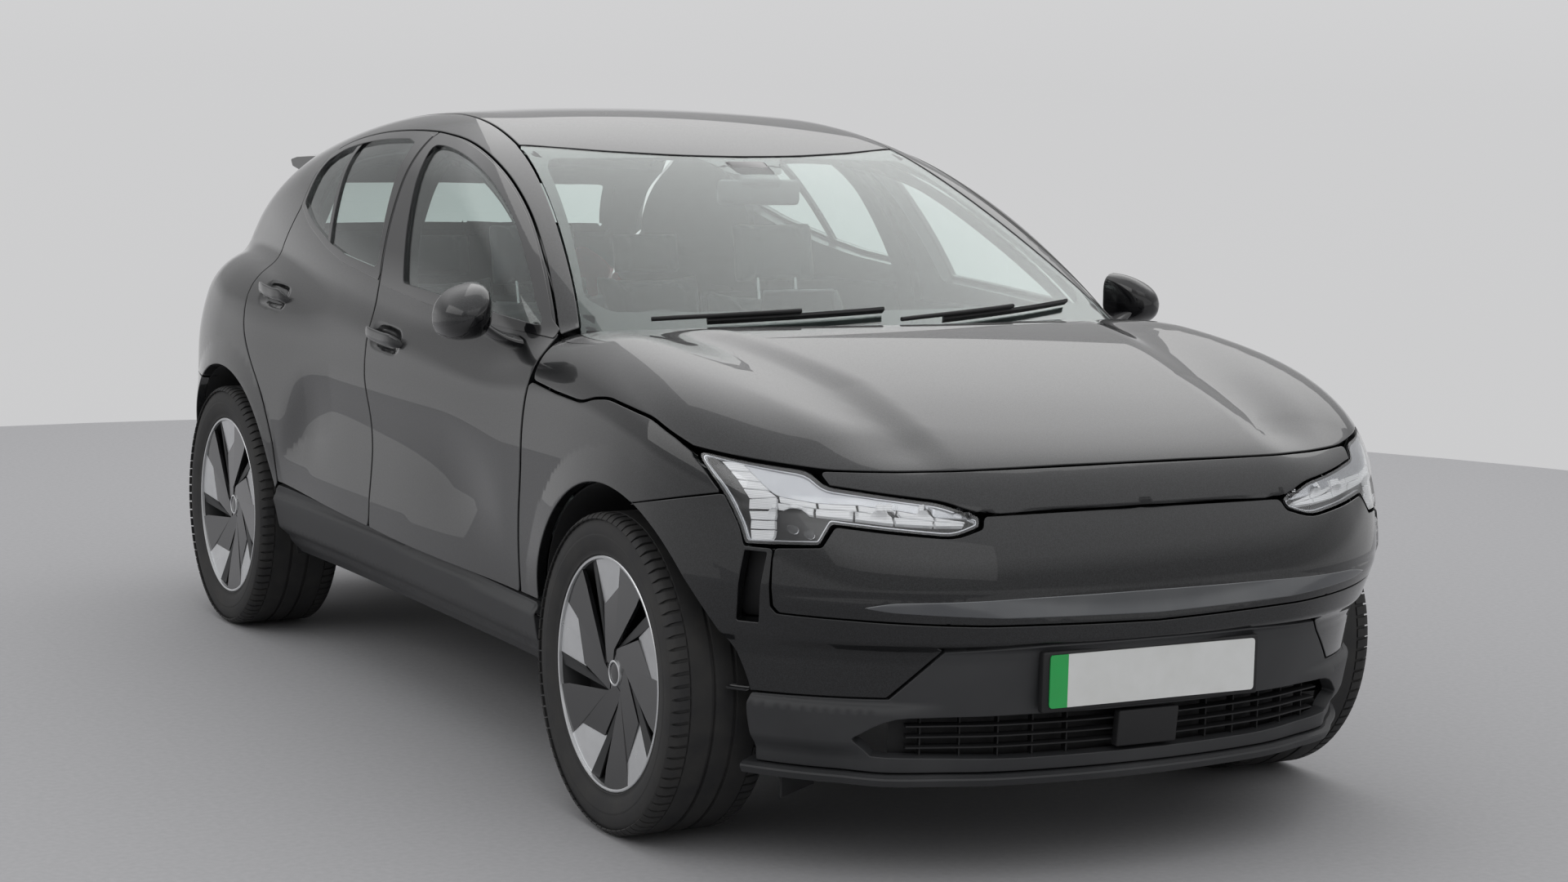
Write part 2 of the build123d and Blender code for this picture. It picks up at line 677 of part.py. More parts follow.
# ---------------------------------------------------------------- floor and wheelhouses
LINER_RADIUS = ARCH_RADIUS - 13
with BuildPart() as wheelhouse:
    for axle, x_in in ((FRONT_AXLE, 480), (REAR_AXLE, 560)):
        with BuildSketch(Plane.YZ.offset(x_in)):
            with Locations((axle, HUB_Z)):
                Circle(LINER_RADIUS + 5)
        extrude(amount=845 - x_in)
        with BuildSketch(Plane.YZ.offset(x_in + 6)):
            with Locations((axle, HUB_Z)):
                Circle(LINER_RADIUS)
        extrude(amount=845 - x_in, mode=Mode.SUBTRACT)
        with BuildSketch(Plane.YZ.offset(x_in)):
            with Locations((axle, HUB_Z)):
                Circle(130)
        extrude(amount=20, mode=Mode.SUBTRACT)
    split(bisect_by=Plane.XY.offset(250), keep=Keep.TOP)

with BuildPart() as wheelhouses:
    add(wheelhouse.part)
    mirror(wheelhouse.part, about=Plane.YZ)
save(wheelhouses.part, "wheelhouses")

with BuildPart() as floor_pan:
    with BuildSketch(Plane.XY.offset(300)):
        with Locations((0, -12)):
            Rectangle(1396, 1780)
    extrude(amount=28)
    with BuildSketch(Plane.YZ.offset(-540)):
        with BuildLine():
            Polyline((870, 300), (915, 300), (1030, 560), (2020, 560), (2020, 585), (1010, 585), close=True)
        make_face()
    extrude(amount=1080)
    with BuildSketch(Plane.XY.offset(300)):
        with Locations((-655, -620), (655, -620), (-655, 600), (655, 600)):
            RectangleRounded(60, 80, 8)
    extrude(amount=-12)
save(floor_pan.part, "floor_pan")

with BuildPart() as front_bay:
    with BuildSketch(Plane.YZ.offset(-690)):
        with BuildLine():
            Polyline((-903, 300), (-903, 540), (-905, 560), (-905, 960), (-925, 960), (-925, 300), close=True)
        make_face()
    extrude(amount=1380)
    for x in (-430, 430):
        with BuildSketch(Plane.XZ.offset(924)):
            with Locations((x, 470)):
                Rectangle(80, 120)
        extrude(amount=986)
    with BuildSketch(Plane.XZ.offset(1895)):
        with Locations((0, 480)):
            Rectangle(1000, 90)
    extrude(amount=45)
    with BuildSketch(Plane.XY.offset(522)):
        with Locations((0, -1330)):
            Rectangle(940, 160)
    extrude(amount=14)
    with BuildSketch(Plane.XY.offset(529)):
        with Locations((0, -1330)):
            RectangleRounded(700, 640, 60)
    extrude(amount=270)
    with BuildSketch(Plane.XY.offset(540)):
        with Locations((0, -1330)):
            RectangleRounded(680, 620, 50)
    extrude(amount=260, mode=Mode.SUBTRACT)
save(front_bay.part, "front_bay")

with BuildPart() as battery_pack:
    with BuildSketch(Plane.XY.offset(180)):
        with Locations((0, 60)):
            RectangleRounded(1180, 1500, 40)
    extrude(amount=118)
save(battery_pack.part, "battery_pack")

with BuildPart() as drive_motor:
    with BuildSketch(Plane.YZ.offset(-190)):
        with Locations((REAR_AXLE, HUB_Z)):
            Circle(105)
    extrude(amount=380)
save(drive_motor.part, "drive_motor")


# ---------------------------------------------------------------- suspension
with BuildPart() as front_suspension:
    with BuildSketch(Plane.XY.offset(205)):
        with Locations((0, FRONT_AXLE + 60)):
            RectangleRounded(700, 260, 40)
    extrude(amount=60)
    for side in (-1, 1):
        with BuildSketch(Plane.XY.offset(205)):
            with BuildLine():
                Polyline(
                    (side * 330, FRONT_AXLE - 30), (side * 700, FRONT_AXLE - 26),
                    (side * 700, FRONT_AXLE + 26), (side * 330, FRONT_AXLE + 170), close=True,
                )
            make_face()
        extrude(amount=26)
        with BuildSketch(Plane.XY.offset(225)):
            with Locations((side * 545, FRONT_AXLE)):
                Circle(30)
        extrude(amount=520)
save(front_suspension.part, "front_suspension")

with BuildPart() as rear_suspension:
    with BuildSketch(Plane.XY.offset(215)):
        with Locations((0, REAR_AXLE)):
            RectangleRounded(760, 420, 50)
            RectangleRounded(480, 260, 40, mode=Mode.SUBTRACT)
    extrude(amount=60)
    for side in (-1, 1):
        with BuildSketch(Plane.XY.offset(215)):
            with BuildLine():
                Polyline(
                    (side * 350, REAR_AXLE - 90), (side * 690, REAR_AXLE - 40),
                    (side * 690, REAR_AXLE + 40), (side * 350, REAR_AXLE + 90), close=True,
                )
            make_face()
        extrude(amount=26)
        with BuildSketch(Plane.YZ.offset(side * 660)):
            with Locations((REAR_AXLE, HUB_Z)):
                Rectangle(90, 280)
        extrude(amount=side * 62)
        with BuildSketch(Plane.YZ.offset(side * 192)):
            with Locations((REAR_AXLE, HUB_Z)):
                Circle(16)
        extrude(amount=side * 480)
        with BuildSketch(Plane.YZ.offset(side * 700)):
            with Locations((REAR_AXLE + 130, HUB_Z + 40)):
                RectangleRounded(60, 110, 12)
            with Locations((REAR_AXLE + 65, HUB_Z + 40)):
                Rectangle(80, 40)
        extrude(amount=side * 22)
        with BuildSketch(Plane.XY.offset(235)):
            with Locations((side * 610, REAR_AXLE + 60)):
                Circle(26)
        extrude(amount=460)
save(rear_suspension.part, "rear_suspension")

STEER_X = 752
with BuildPart() as knuckle:
    with BuildSketch(Plane.YZ.offset(690)):
        with Locations((FRONT_AXLE, HUB_Z)):
            Circle(62)
    extrude(amount=54)
    with BuildSketch(Plane.YZ.offset(716)):
        with Locations((FRONT_AXLE, HUB_Z - 20)):
            Rectangle(70, 220)
    extrude(amount=28)
    with BuildSketch(Plane.YZ.offset(716)):
        with Locations((FRONT_AXLE + 130, HUB_Z + 30)):
            RectangleRounded(60, 120, 12)
        with Locations((FRONT_AXLE + 60, HUB_Z + 30)):
            Rectangle(90, 40)
    extrude(amount=20)
both_hands(knuckle.part, "knuckle")


# ---------------------------------------------------------------- wheels
def wheel_tyre(x_mid):
    half = TYRE_WIDTH / 2
    with BuildPart() as tyre:
        with BuildSketch(Plane.XZ):
            with BuildLine():
                crown = half - 22
                Polyline(
                    (x_mid - crown, TYRE_RADIUS), (x_mid + crown, TYRE_RADIUS),
                    (x_mid + half - 8, TYRE_RADIUS - 12), (x_mid + half, TYRE_RADIUS - 45),
                    (x_mid + half - 8, RIM_RADIUS + 2), (x_mid + half - 22, RIM_RADIUS - 6),
                    (x_mid - half + 22, RIM_RADIUS - 6), (x_mid - half + 8, RIM_RADIUS + 2),
                    (x_mid - half, TYRE_RADIUS - 45), (x_mid - half + 8, TYRE_RADIUS - 12), close=True,
                )
            make_face()
        revolve(axis=Axis.X)
    return tyre.part


def wheel_rim(x_mid):
    """left-hand rim with its brake disc: barrel, dished face with five wedge slots"""
    half = TYRE_WIDTH / 2
    with BuildPart() as rim:
        with BuildSketch(Plane.XZ):
            with BuildLine():
                Polyline(
                    (x_mid - half + 18, RIM_RADIUS - 7), (x_mid + half - 18, RIM_RADIUS - 7),
                    (x_mid + half - 6, RIM_RADIUS + 1), (x_mid + half - 10, RIM_RADIUS - 14),
                    (x_mid + 84, 60), (x_mid + 84, 0), (x_mid + 60, 0), (x_mid + 60, 60),
                    (x_mid + half - 34, RIM_RADIUS - 26), (x_mid - half + 18, RIM_RADIUS - 17), close=True,
                )
            make_face()
        revolve(axis=Axis.X)
        with BuildSketch(Plane.YZ.offset(x_mid + 30)):
            with PolarLocations(0, 5, start_angle=90):
                with BuildLine():
                    Polyline((75, -4), (225, -34), (232, 10), (75, 8), close=True)
                make_face()
        extrude(amount=100, mode=Mode.SUBTRACT)
        with BuildSketch(Plane.XZ):
            with BuildLine():
                Polyline(
                    (x_mid - 50, 0), (x_mid + 65, 0), (x_mid + 65, 72), (x_mid - 28, 72),
                    (x_mid - 28, 165), (x_mid - 50, 165), close=True,
                )
            make_face()
        revolve(axis=Axis.X)
    return rim.part


TYRE_SHAPE = wheel_tyre(TRACK / 2)
RIM_SHAPE = wheel_rim(TRACK / 2)
for end, axle in (("front", FRONT_AXLE), ("rear", REAR_AXLE)):
    for side, turn in (("left", 0), ("right", 180)):
        for label, shape in (("tyre", TYRE_SHAPE), ("rim", RIM_SHAPE)):
            with BuildPart() as placed:
                with Locations(Location((0, axle, HUB_Z), (0, 0, turn))):
                    add(shape)
            save(placed.part, label + "_" + end + "_" + side)


# ---------------------------------------------------------------- cabin
with BuildPart() as dashboard:
    with BuildSketch(Plane.YZ.offset(-640)):
        with BuildLine():
            Polyline((-860, 900), (-560, 960), (-520, 930), (-520, 860), (-600, 780), (-640, 560), (-860, 560), close=True)
        make_face()
    extrude(amount=1280)
    with BuildSketch(Plane.XZ.offset(515)):
        with Locations((0, 960)):
            RectangleRounded(200, 270, 12)
    extrude(amount=14)
    with BuildSketch(Plane.XY.offset(330)):
        with Locations((0, -380)):
            RectangleRounded(220, 420, 30)
    extrude(amount=230)
save(dashboard.part, "dashboard")

with BuildPart() as front_seats:
    for x in (-370, 370):
        with BuildSketch(Plane.XY.offset(400)):
            with Locations((x, -130)):
                RectangleRounded(490, 500, 60)
        extrude(amount=140)
        with BuildSketch(Plane.YZ.offset(x - 240)):
            with BuildLine():
                Polyline((60, 470), (170, 470), (330, 1020), (270, 1090), (200, 1040), close=True)
            make_face()
        extrude(amount=480)
        with BuildSketch(Plane.YZ.offset(x - 130)):
            with BuildLine():
                Polyline((262, 1070), (300, 1050), (350, 1230), (300, 1250), (262, 1225), close=True)
            make_face()
        extrude(amount=260)
save(front_seats.part, "front_seats")

with BuildPart() as rear_bench:
    with BuildSketch(Plane.XY.offset(400)):
        with Locations((0, 680)):
            RectangleRounded(1090, 460, 60)
    extrude(amount=150)
    with BuildSketch(Plane.YZ.offset(-550)):
        with BuildLine():
            Polyline((870, 600), (985, 600), (1150, 1030), (1060, 1060), close=True)
        make_face()
    extrude(amount=1100)
save(rear_bench.part, "rear_bench")

with BuildPart() as steering_wheel:
    column = Plane(origin=(-370, -430, 900), x_dir=(1, 0, 0), z_dir=(0, 1, 0.42))
    with BuildSketch(Plane(origin=column.origin, x_dir=column.x_dir, z_dir=column.y_dir)):
        with Locations((170, 0)):
            Circle(15)
    revolve(axis=Axis(column.origin, column.z_dir))
    with BuildSketch(column.offset(-30)):
        RectangleRounded(200, 130, 40)
    extrude(amount=30)
    with BuildSketch(column.offset(-10)):
        Rectangle(330, 26)
    extrude(amount=12)
    with BuildSketch(column.offset(-85)):
        Circle(30)
    extrude(amount=60)
save(steering_wheel.part, "steering_wheel")
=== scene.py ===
import json
import math

import bmesh
import bpy
import numpy as np
from mathutils import Matrix, Vector
from mathutils.geometry import delaunay_2d_cdt

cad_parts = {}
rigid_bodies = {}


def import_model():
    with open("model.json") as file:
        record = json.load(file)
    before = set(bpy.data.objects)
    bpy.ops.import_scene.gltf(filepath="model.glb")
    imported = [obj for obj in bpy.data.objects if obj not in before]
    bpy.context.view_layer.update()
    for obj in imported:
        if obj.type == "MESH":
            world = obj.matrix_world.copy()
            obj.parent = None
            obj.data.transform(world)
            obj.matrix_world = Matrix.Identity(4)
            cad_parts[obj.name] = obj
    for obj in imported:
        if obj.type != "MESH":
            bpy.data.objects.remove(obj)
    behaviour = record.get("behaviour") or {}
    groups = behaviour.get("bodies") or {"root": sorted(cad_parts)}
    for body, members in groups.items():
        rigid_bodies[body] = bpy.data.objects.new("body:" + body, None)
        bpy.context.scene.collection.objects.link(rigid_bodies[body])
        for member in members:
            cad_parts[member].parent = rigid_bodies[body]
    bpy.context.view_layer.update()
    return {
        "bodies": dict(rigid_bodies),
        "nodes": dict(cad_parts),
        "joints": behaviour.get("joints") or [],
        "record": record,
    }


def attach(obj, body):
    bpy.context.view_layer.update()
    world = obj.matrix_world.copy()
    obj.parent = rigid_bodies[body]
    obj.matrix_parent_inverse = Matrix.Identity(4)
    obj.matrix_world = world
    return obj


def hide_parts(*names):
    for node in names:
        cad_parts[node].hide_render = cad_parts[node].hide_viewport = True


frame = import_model()
nodes = frame["nodes"]


# ---- Studio ---------------------------------------------------------------
# Not part of the car: a round pale floor, a soft sky of plain grey light and
# three large softboxes that draw the long highlights on the dark paint.
def finish(name):
    """A new material with nothing in it but its output."""
    made = bpy.data.materials.new(name)
    made.use_nodes = True
    made.node_tree.nodes.clear()
    out = made.node_tree.nodes.new("ShaderNodeOutputMaterial")
    out.name = "out"
    return made


def add_node(tree, kind, **settings):
    """A node of that kind; plain settings are attributes, in_ settings are sockets."""
    node = tree.nodes.new(kind)
    for key, value in settings.items():
        if key.startswith("in_"):
            node.inputs[key[3:].replace("_", " ")].default_value = value
        else:
            setattr(node, key, value)
    return node


def wire(tree, *pairs):
    for source, target in pairs:
        tree.links.new(source, target)


floor_finish = finish("studio_floor")
tree = floor_finish.node_tree
place = add_node(tree, "ShaderNodeTexCoord")
speck = add_node(tree, "ShaderNodeTexNoise", in_Scale=60.0, in_Detail=6.0)
tone = add_node(tree, "ShaderNodeValToRGB")
tone.color_ramp.elements[0].color = (0.33, 0.33, 0.34, 1)
tone.color_ramp.elements[1].color = (0.42, 0.42, 0.43, 1)
matt = add_node(tree, "ShaderNodeBsdfPrincipled", in_Roughness=0.75)
wire(
    tree,
    (place.outputs["Object"], speck.inputs["Vector"]),
    (speck.outputs["Fac"], tone.inputs["Fac"]),
    (tone.outputs["Color"], matt.inputs["Base Color"]),
    (matt.outputs[0], tree.nodes["out"].inputs["Surface"]),
)
FLOOR_RADIUS = 6.2
ring = [
    (FLOOR_RADIUS * math.cos(a * math.pi / 48), FLOOR_RADIUS * math.sin(a * math.pi / 48), 0.0)
    for a in range(96)
]
floor_mesh = bpy.data.meshes.new("studio_floor")
floor_mesh.from_pydata(ring, [], [list(range(96))])
floor_mesh.materials.append(floor_finish)
floor = bpy.data.objects.new("studio_floor", floor_mesh)
bpy.context.scene.collection.objects.link(floor)

sky = bpy.data.worlds.new("studio_sky")
bpy.context.scene.world = sky
sky.use_nodes = True
tree = sky.node_tree
tree.nodes.clear()
way = add_node(tree, "ShaderNodeTexCoord")
parts = add_node(tree, "ShaderNodeSeparateXYZ")
height = add_node(tree, "ShaderNodeMapRange")
height.inputs["From Min"].default_value = -1.0
bands = add_node(tree, "ShaderNodeValToRGB")
stops = [(0.0, 0.50), (0.5, 0.62), (0.53, 0.66), (0.575, 0.40), (0.66, 0.42), (0.76, 0.85), (1.0, 0.95)]
bands.color_ramp.elements[0].position = 0.0
bands.color_ramp.elements[1].position = 1.0
for at, level in stops[1:-1]:
    bands.color_ramp.elements.new(at)
for element, (at, level) in zip(bands.color_ramp.elements, stops):
    element.position = at
    element.color = (level, level, level * 1.01, 1)
light = add_node(tree, "ShaderNodeBackground", in_Strength=1.0)
world_out = add_node(tree, "ShaderNodeOutputWorld")
wire(
    tree,
    (way.outputs["Generated"], parts.inputs[0]),
    (parts.outputs["Z"], height.inputs["Value"]),
    (height.outputs["Result"], bands.inputs["Fac"]),
    (bands.outputs["Color"], light.inputs["Color"]),
    (light.outputs[0], world_out.inputs["Surface"]),
)


def softbox(name, where, aim, size, watts):
    lamp = bpy.data.lights.new(name, "AREA")
    lamp.shape = "RECTANGLE"
    lamp.size, lamp.size_y = size
    lamp.energy = watts
    lamp.color = (1.0, 0.995, 0.985)
    holder = bpy.data.objects.new(name, lamp)
    facing = (Vector(aim) - Vector(where)).to_track_quat("-Z", "Y")
    holder.matrix_world = Matrix.Translation(where) @ facing.to_matrix().to_4x4()
    bpy.context.scene.collection.objects.link(holder)


softbox("softbox_over", (3.4, 3.0, 6.6), (0, -0.5, 1.0), (9.0, 8.0), 150)
softbox("softbox_side", (-6.4, 0.8, 3.9), (-0.6, 0.2, 0.9), (8.0, 2.6), 62)
softbox("softbox_front", (-1.5, -7.4, 4.4), (0, -1.6, 0.7), (8.0, 3.4), 26)

# the camera stands off the right front corner, at about roof height, and looks a little down
CAMERA_AT = (-3.5522, -6.980, 1.6419)
heading, down, roll = math.radians(28.62), math.radians(7.089), math.radians(1.334)
ahead = Vector((math.sin(heading) * math.cos(down), math.cos(heading) * math.cos(down), -math.sin(down)))
across = ahead.cross(Vector((0, 0, 1))).normalized()
upward = across.cross(ahead)
turned = math.cos(roll) * across + math.sin(roll) * upward
upward = -math.sin(roll) * across + math.cos(roll) * upward
camera = bpy.data.objects.new("camera", bpy.data.cameras.new("camera"))
camera.data.sensor_width = 36
camera.data.lens = 66.91
camera.matrix_world = Matrix(
    (
        (turned.x, upward.x, -ahead.x, CAMERA_AT[0]),
        (turned.y, upward.y, -ahead.y, CAMERA_AT[1]),
        (turned.z, upward.z, -ahead.z, CAMERA_AT[2]),
        (0, 0, 0, 1),
    )
)
bpy.context.scene.collection.objects.link(camera)
bpy.context.scene.camera = camera
bpy.context.scene.view_settings.view_transform = "Standard"


# ---- Body sides -----------------------------------------------------------
# Pressed and welded steel: windscreen pillar, cant rail, quarter panel and sill
# in one outer pressing a side, painted gloss black with a fine metal flake.
# The whole outer skin of the car is one smooth shape; every panel is cut from it.
NOSE, TAIL, HIGH = -2116.5, 2116.5, 1549.0
FRONT_HUB, REAR_HUB, HUB_Z = -1351.0, 1299.0, 352.0
# the axles again in metres, which every piece below uses
FRONT_AXLE, REAR_AXLE, AXLE_Z = -1.351, 1.299, 0.352
HANDS = (("left", False), ("right", True))


def over(value):
    return np.maximum(value, 0.0)


def hump(value, centre, spread):
    return np.exp(-(((value - centre) / spread) ** 2))


def ramp(value, start, end):
    t = np.clip((value - start) / (end - start), 0, 1)
    return t * t * (3 - 2 * t)


def soft_max(a, b, radius):
    h = over(radius - np.abs(a - b)) / radius
    return np.maximum(a, b) + radius * h * h / 4


def door_hollow(y, z):
    """how far the doors' lower facet is pressed in, in millimetres"""
    crease = np.interp(y, [-900, -534, -271, 470, 660, 837], [600, 618, 632, 657, 628, 555])
    foot = np.interp(y, [-900, -654, 222, 837], [488, 502, 530, 551])
    deep = 30 * ramp(y, -760, -330) * (1 - ramp(y, 560, 850))
    facet = np.clip((z - foot) / np.maximum(crease - foot, 4), 0, 1)
    return deep * facet * (1 - ramp(z, crease - 6, crease + 210))


def arch_flare(y, z):
    """the wheel arches' lips stand out from the side, in millimetres"""
    out = 0
    for hub, width in ((FRONT_HUB, 78.0), (REAR_HUB, 70.0)):
        reach = np.hypot(y - hub, z - HUB_Z) - 418
        out = out + 9 * over(1 - over(reach) / width) * ramp(z, 380, 560)
    return out


def handle_scoop(y, z):
    """the finger recess behind each door handle, in millimetres"""
    scoop = 0
    for middle_y, middle_z in ((95, 952), (985, 995)):
        far = (
            np.abs((y - middle_y) / 112) ** 4 + np.abs((z - middle_z - 0.05 * (y - middle_y)) / 37) ** 4
        ) ** 0.25
        scoop = scoop + 14 * (1 - ramp(far, 0.55, 1.0))
    return scoop


def side_x(y, z):
    x = 893 + 24 * hump(y, FRONT_HUB, 450) + 27 * hump(y, REAR_HUB, 500)
    x = x - 0.00017 * over(-y - 1350) ** 2 - 0.00027 * over(y - 1360) ** 2
    x = x - 0.0003 * over(680 - z) ** 2 - 0.00083 * over(z - 780) ** 2
    return x + arch_flare(y, z) - door_hollow(y, z) - handle_scoop(y, z)


def nose_panel(x, z):
    """the closed panel between the lamps lies back from the bar below it"""
    facet = np.clip((z - 556) / 51, 0, 1) * (1 - ramp(x, 500, 690) * (1 - ramp(z, 590, 612)))
    return 8 * facet * ramp(-z, -774, -771) * ramp(-x, -781, -778)


def nose_y(x, z):
    crown = 0.000125 + 0.00014 * np.minimum(over(620 - z) / 150, 1)
    rake = 0.00196 * over(np.minimum(z, 773) - 575) ** 2 + 0.45 * over(z - 773)
    rake = rake * (1 - 0.45 * ramp(x, 620, 840))
    undercut = 18 * ramp(-z, -515, -490) + 0.1 * over(500 - z)
    return NOSE + crown * x * x + rake + undercut + nose_panel(x, z)


def tail_y(x, z):
    rake = 0.0003 * over(z - 660) ** 2 + 0.1 * over(z - 660)
    return TAIL - 0.00011 * x * x - rake - 0.35 * over(450 - z)


def bonnet_relief(x, y):
    """a raised middle, a long hollow each side of it and a ridge beyond that"""
    inner = np.interp(y, [-1950, -1572, -1257, -900], [410, 425, 492, 560])
    ridge = np.interp(y, [-1783, -1426, -827], [645, 700, 768])
    t = (x - inner) / (ridge - inner)
    hollow = ramp(t, -0.12, 0.3) * (1 - ramp(t, 0.35, 1.05))
    return 15 * hollow * ramp(y, -2020, -1850) * (1 - ramp(y, -1180, -880))


def deck_z(x, y):
    run = -y - 1120
    bonnet_top = 1074 - 0.0806 * run - 0.0001924 * over(run) ** 2 - 0.00002 * x * x
    belt = 1022 + 0.045 * (y + 650) + 0.00002 * (y + 650) ** 2
    t = ramp(y, -1150, -550)
    return (bonnet_top - bonnet_relief(x, y)) * (1 - t) + np.minimum(belt, 1100) * t


def lower_body(x, y, z):
    x = np.abs(x)
    shape = soft_max(x - side_x(y, z), nose_y(x, z) - y, 450)
    shape = soft_max(shape, y - tail_y(x, z), 420)
    return soft_max(shape, z - deck_z(x, y), 70 + 70 * ramp(y, -2000, -1800))


def cabin_x(y, z):
    lean = 0.1 * (z - 1000) + 0.0006 * over(z - 1000) ** 2
    return 850 - lean - 0.000055 * over(-y) ** 2 - 0.000065 * over(y - 300) ** 2


def cabin(x, y, z):
    x = np.abs(x)
    windscreen_y = -1090 + 2.116 * (z - 1050) + (0.00043 - 0.00000053 * (z - 1060)) * x * x
    roof_z = HIGH - np.where(y < 500, 0.00015, 0.00013) * (y - 500) ** 2 - 0.000083 * x * x
    shape = soft_max(x - cabin_x(y, z), (windscreen_y - y) / 2.3, 100)
    shape = soft_max(shape, (y - (1720 + 1400 - z - 0.00028 * x * x)) / 1.4, 160)
    shape = soft_max(shape, y - tail_y(x, z), 60)
    return soft_max(shape, z - roof_z, 160)


def whole_body(x, y, z):
    return -soft_max(-lower_body(x, y, z), -cabin(x, y, z), 30)


def skin_at(skin, start, way, limit=3.0):
    """points where rays from start along way leave the skin, in metres"""
    start, way = np.broadcast_arrays(np.asarray(start, float), np.asarray(way, float))
    near = np.zeros(len(start))
    far = np.full(len(start), limit)
    for _ in range(24):
        middle = (near + far) / 2
        p = (start + way * middle[:, None]) * 1000
        inside = skin(p[:, 0], p[:, 1], p[:, 2]) < 0
        near = np.where(inside, middle, near)
        far = np.where(inside, far, middle)
    return start + way * near[:, None]


def skin_normals(skin, points):
    p = points * 1000
    slope = np.zeros_like(p)
    for axis in range(3):
        for sign in (-1.2, 1.2):
            q = p.copy()
            q[:, axis] += sign
            slope[:, axis] += sign * skin(q[:, 0], q[:, 1], q[:, 2])
    return slope / np.linalg.norm(slope, axis=1)[:, None]


class View:
    """A way of looking at the skin: a flat map (u, v) to points on it and back."""

    def __init__(self, skin):
        self.skin = skin

    def lift(self, uv):
        uv = np.asarray(uv, float)
        start, way = self.rays(uv)
        return skin_at(self.skin, start, way)


class SideView(View):
    def rays(self, uv):
        n = len(uv)
        return np.stack([np.zeros(n), uv[:, 0], uv[:, 1]], 1), np.array([[1.0, 0, 0]])

    def flat(self, p):
        return p[:, [1, 2]]


class FrontView(View):
    """u is x, v is z; way is -1 for the nose and 1 for the tail"""

    def __init__(self, skin, way, start_y):
        self.skin, self.way, self.start_y = skin, way, start_y

    def rays(self, uv):
        n = len(uv)
        return np.stack([uv[:, 0], np.full(n, self.start_y), uv[:, 1]], 1), np.array([[0, self.way, 0]])

    def flat(self, p):
        return p[:, [0, 2]]


class PlanView(View):
    def __init__(self, skin, start_z):
        self.skin, self.start_z = skin, start_z

    def rays(self, uv):
        return np.column_stack([uv, np.full(len(uv), self.start_z)]), np.array([[0, 0, 1.0]])

    def flat(self, p):
        return p[:, :2]


class ArchView(View):
    """u is y; v is the distance round a line along the car at height centre_z"""

    def __init__(self, skin, centre_z):
        self.skin, self.centre_z = skin, centre_z

    def rays(self, uv):
        n = len(uv)
        start = np.stack([np.zeros(n), uv[:, 0], np.full(n, self.centre_z)], 1)
        return start, np.stack([np.cos(uv[:, 1]), np.zeros(n), np.sin(uv[:, 1])], 1)

    def flat(self, p):
        return np.stack([p[:, 1], np.arctan2(p[:, 2] - self.centre_z, p[:, 0])], 1)


class WrapView(View):
    """u is the angle round an upright line at centre_y, from the left side; v is z"""

    def __init__(self, skin, centre_y):
        self.skin, self.centre_y = skin, centre_y

    def rays(self, uv):
        n = len(uv)
        start = np.stack([np.zeros(n), np.full(n, self.centre_y), uv[:, 1]], 1)
        return start, np.stack([np.cos(uv[:, 0]), np.sin(uv[:, 0]), np.zeros(n)], 1)

    def flat(self, p):
        return np.stack([np.arctan2(p[:, 1] - self.centre_y, p[:, 0]), p[:, 2]], 1)


def rounded(points, radius=0.0):
    """an outline with every corner cut to a smooth curve; radius a number or one a point"""
    p = np.asarray(points, float)
    n = len(p)
    radii = np.broadcast_to(np.asarray(radius, float), (n,))
    out = []
    for i in range(n):
        here, before, after = p[i], p[i - 1], p[(i + 1) % n]
        a, b = before - here, after - here
        la, lb = np.linalg.norm(a), np.linalg.norm(b)
        turn = math.pi - math.acos(np.clip(np.dot(a, b) / (la * lb), -1, 1))
        cut = min(radii[i] * math.tan(turn / 2), 0.45 * la, 0.45 * lb)
        if cut < 0.0008 or turn < 0.03:
            out.append(here)
            continue
        start, end = here + a / la * cut, here + b / lb * cut
        steps = max(3, int(turn / 0.2))
        for k in range(steps + 1):
            t = k / steps
            out.append((1 - t) ** 2 * start + 2 * t * (1 - t) * here + t * t * end)
    return np.array(out)


def traced(points, step, closed=True):
    """the outline with points no further apart than step"""
    p = np.asarray(points, float)
    ends = np.roll(p, -1, 0) if closed else p[1:]
    out = []
    for a, b in zip(p, ends):
        n = max(1, int(math.ceil(np.linalg.norm(b - a) / step)))
        for k in range(n):
            out.append(a + (b - a) * k / n)
    if not closed:
        out.append(p[-1])
    return np.array(out)


def even_steps(p, step):
    """a closed line of 3-D points, walked again in even steps"""
    q = np.vstack([p, p[:1]])
    gone = np.concatenate([[0], np.cumsum(np.linalg.norm(np.diff(q, axis=0), axis=1))])
    n = max(8, int(round(gone[-1] / step)))
    at = np.linspace(0, gone[-1], n, endpoint=False)
    return np.stack([np.interp(at, gone, q[:, k]) for k in range(p.shape[1])], 1)


def inside(points, loops):
    """True for each point that lies within the loops, holes left out"""
    odd = np.zeros(len(points), bool)
    x, y = points[:, 0], points[:, 1]
    for loop in loops:
        a, b = loop, np.roll(loop, -1, 0)
        for (x0, y0), (x1, y1) in zip(a, b):
            if y0 != y1:
                crosses = (y0 > y) != (y1 > y)
                odd ^= crosses & (x < (x1 - x0) * (y - y0) / (y1 - y0) + x0)
    return odd


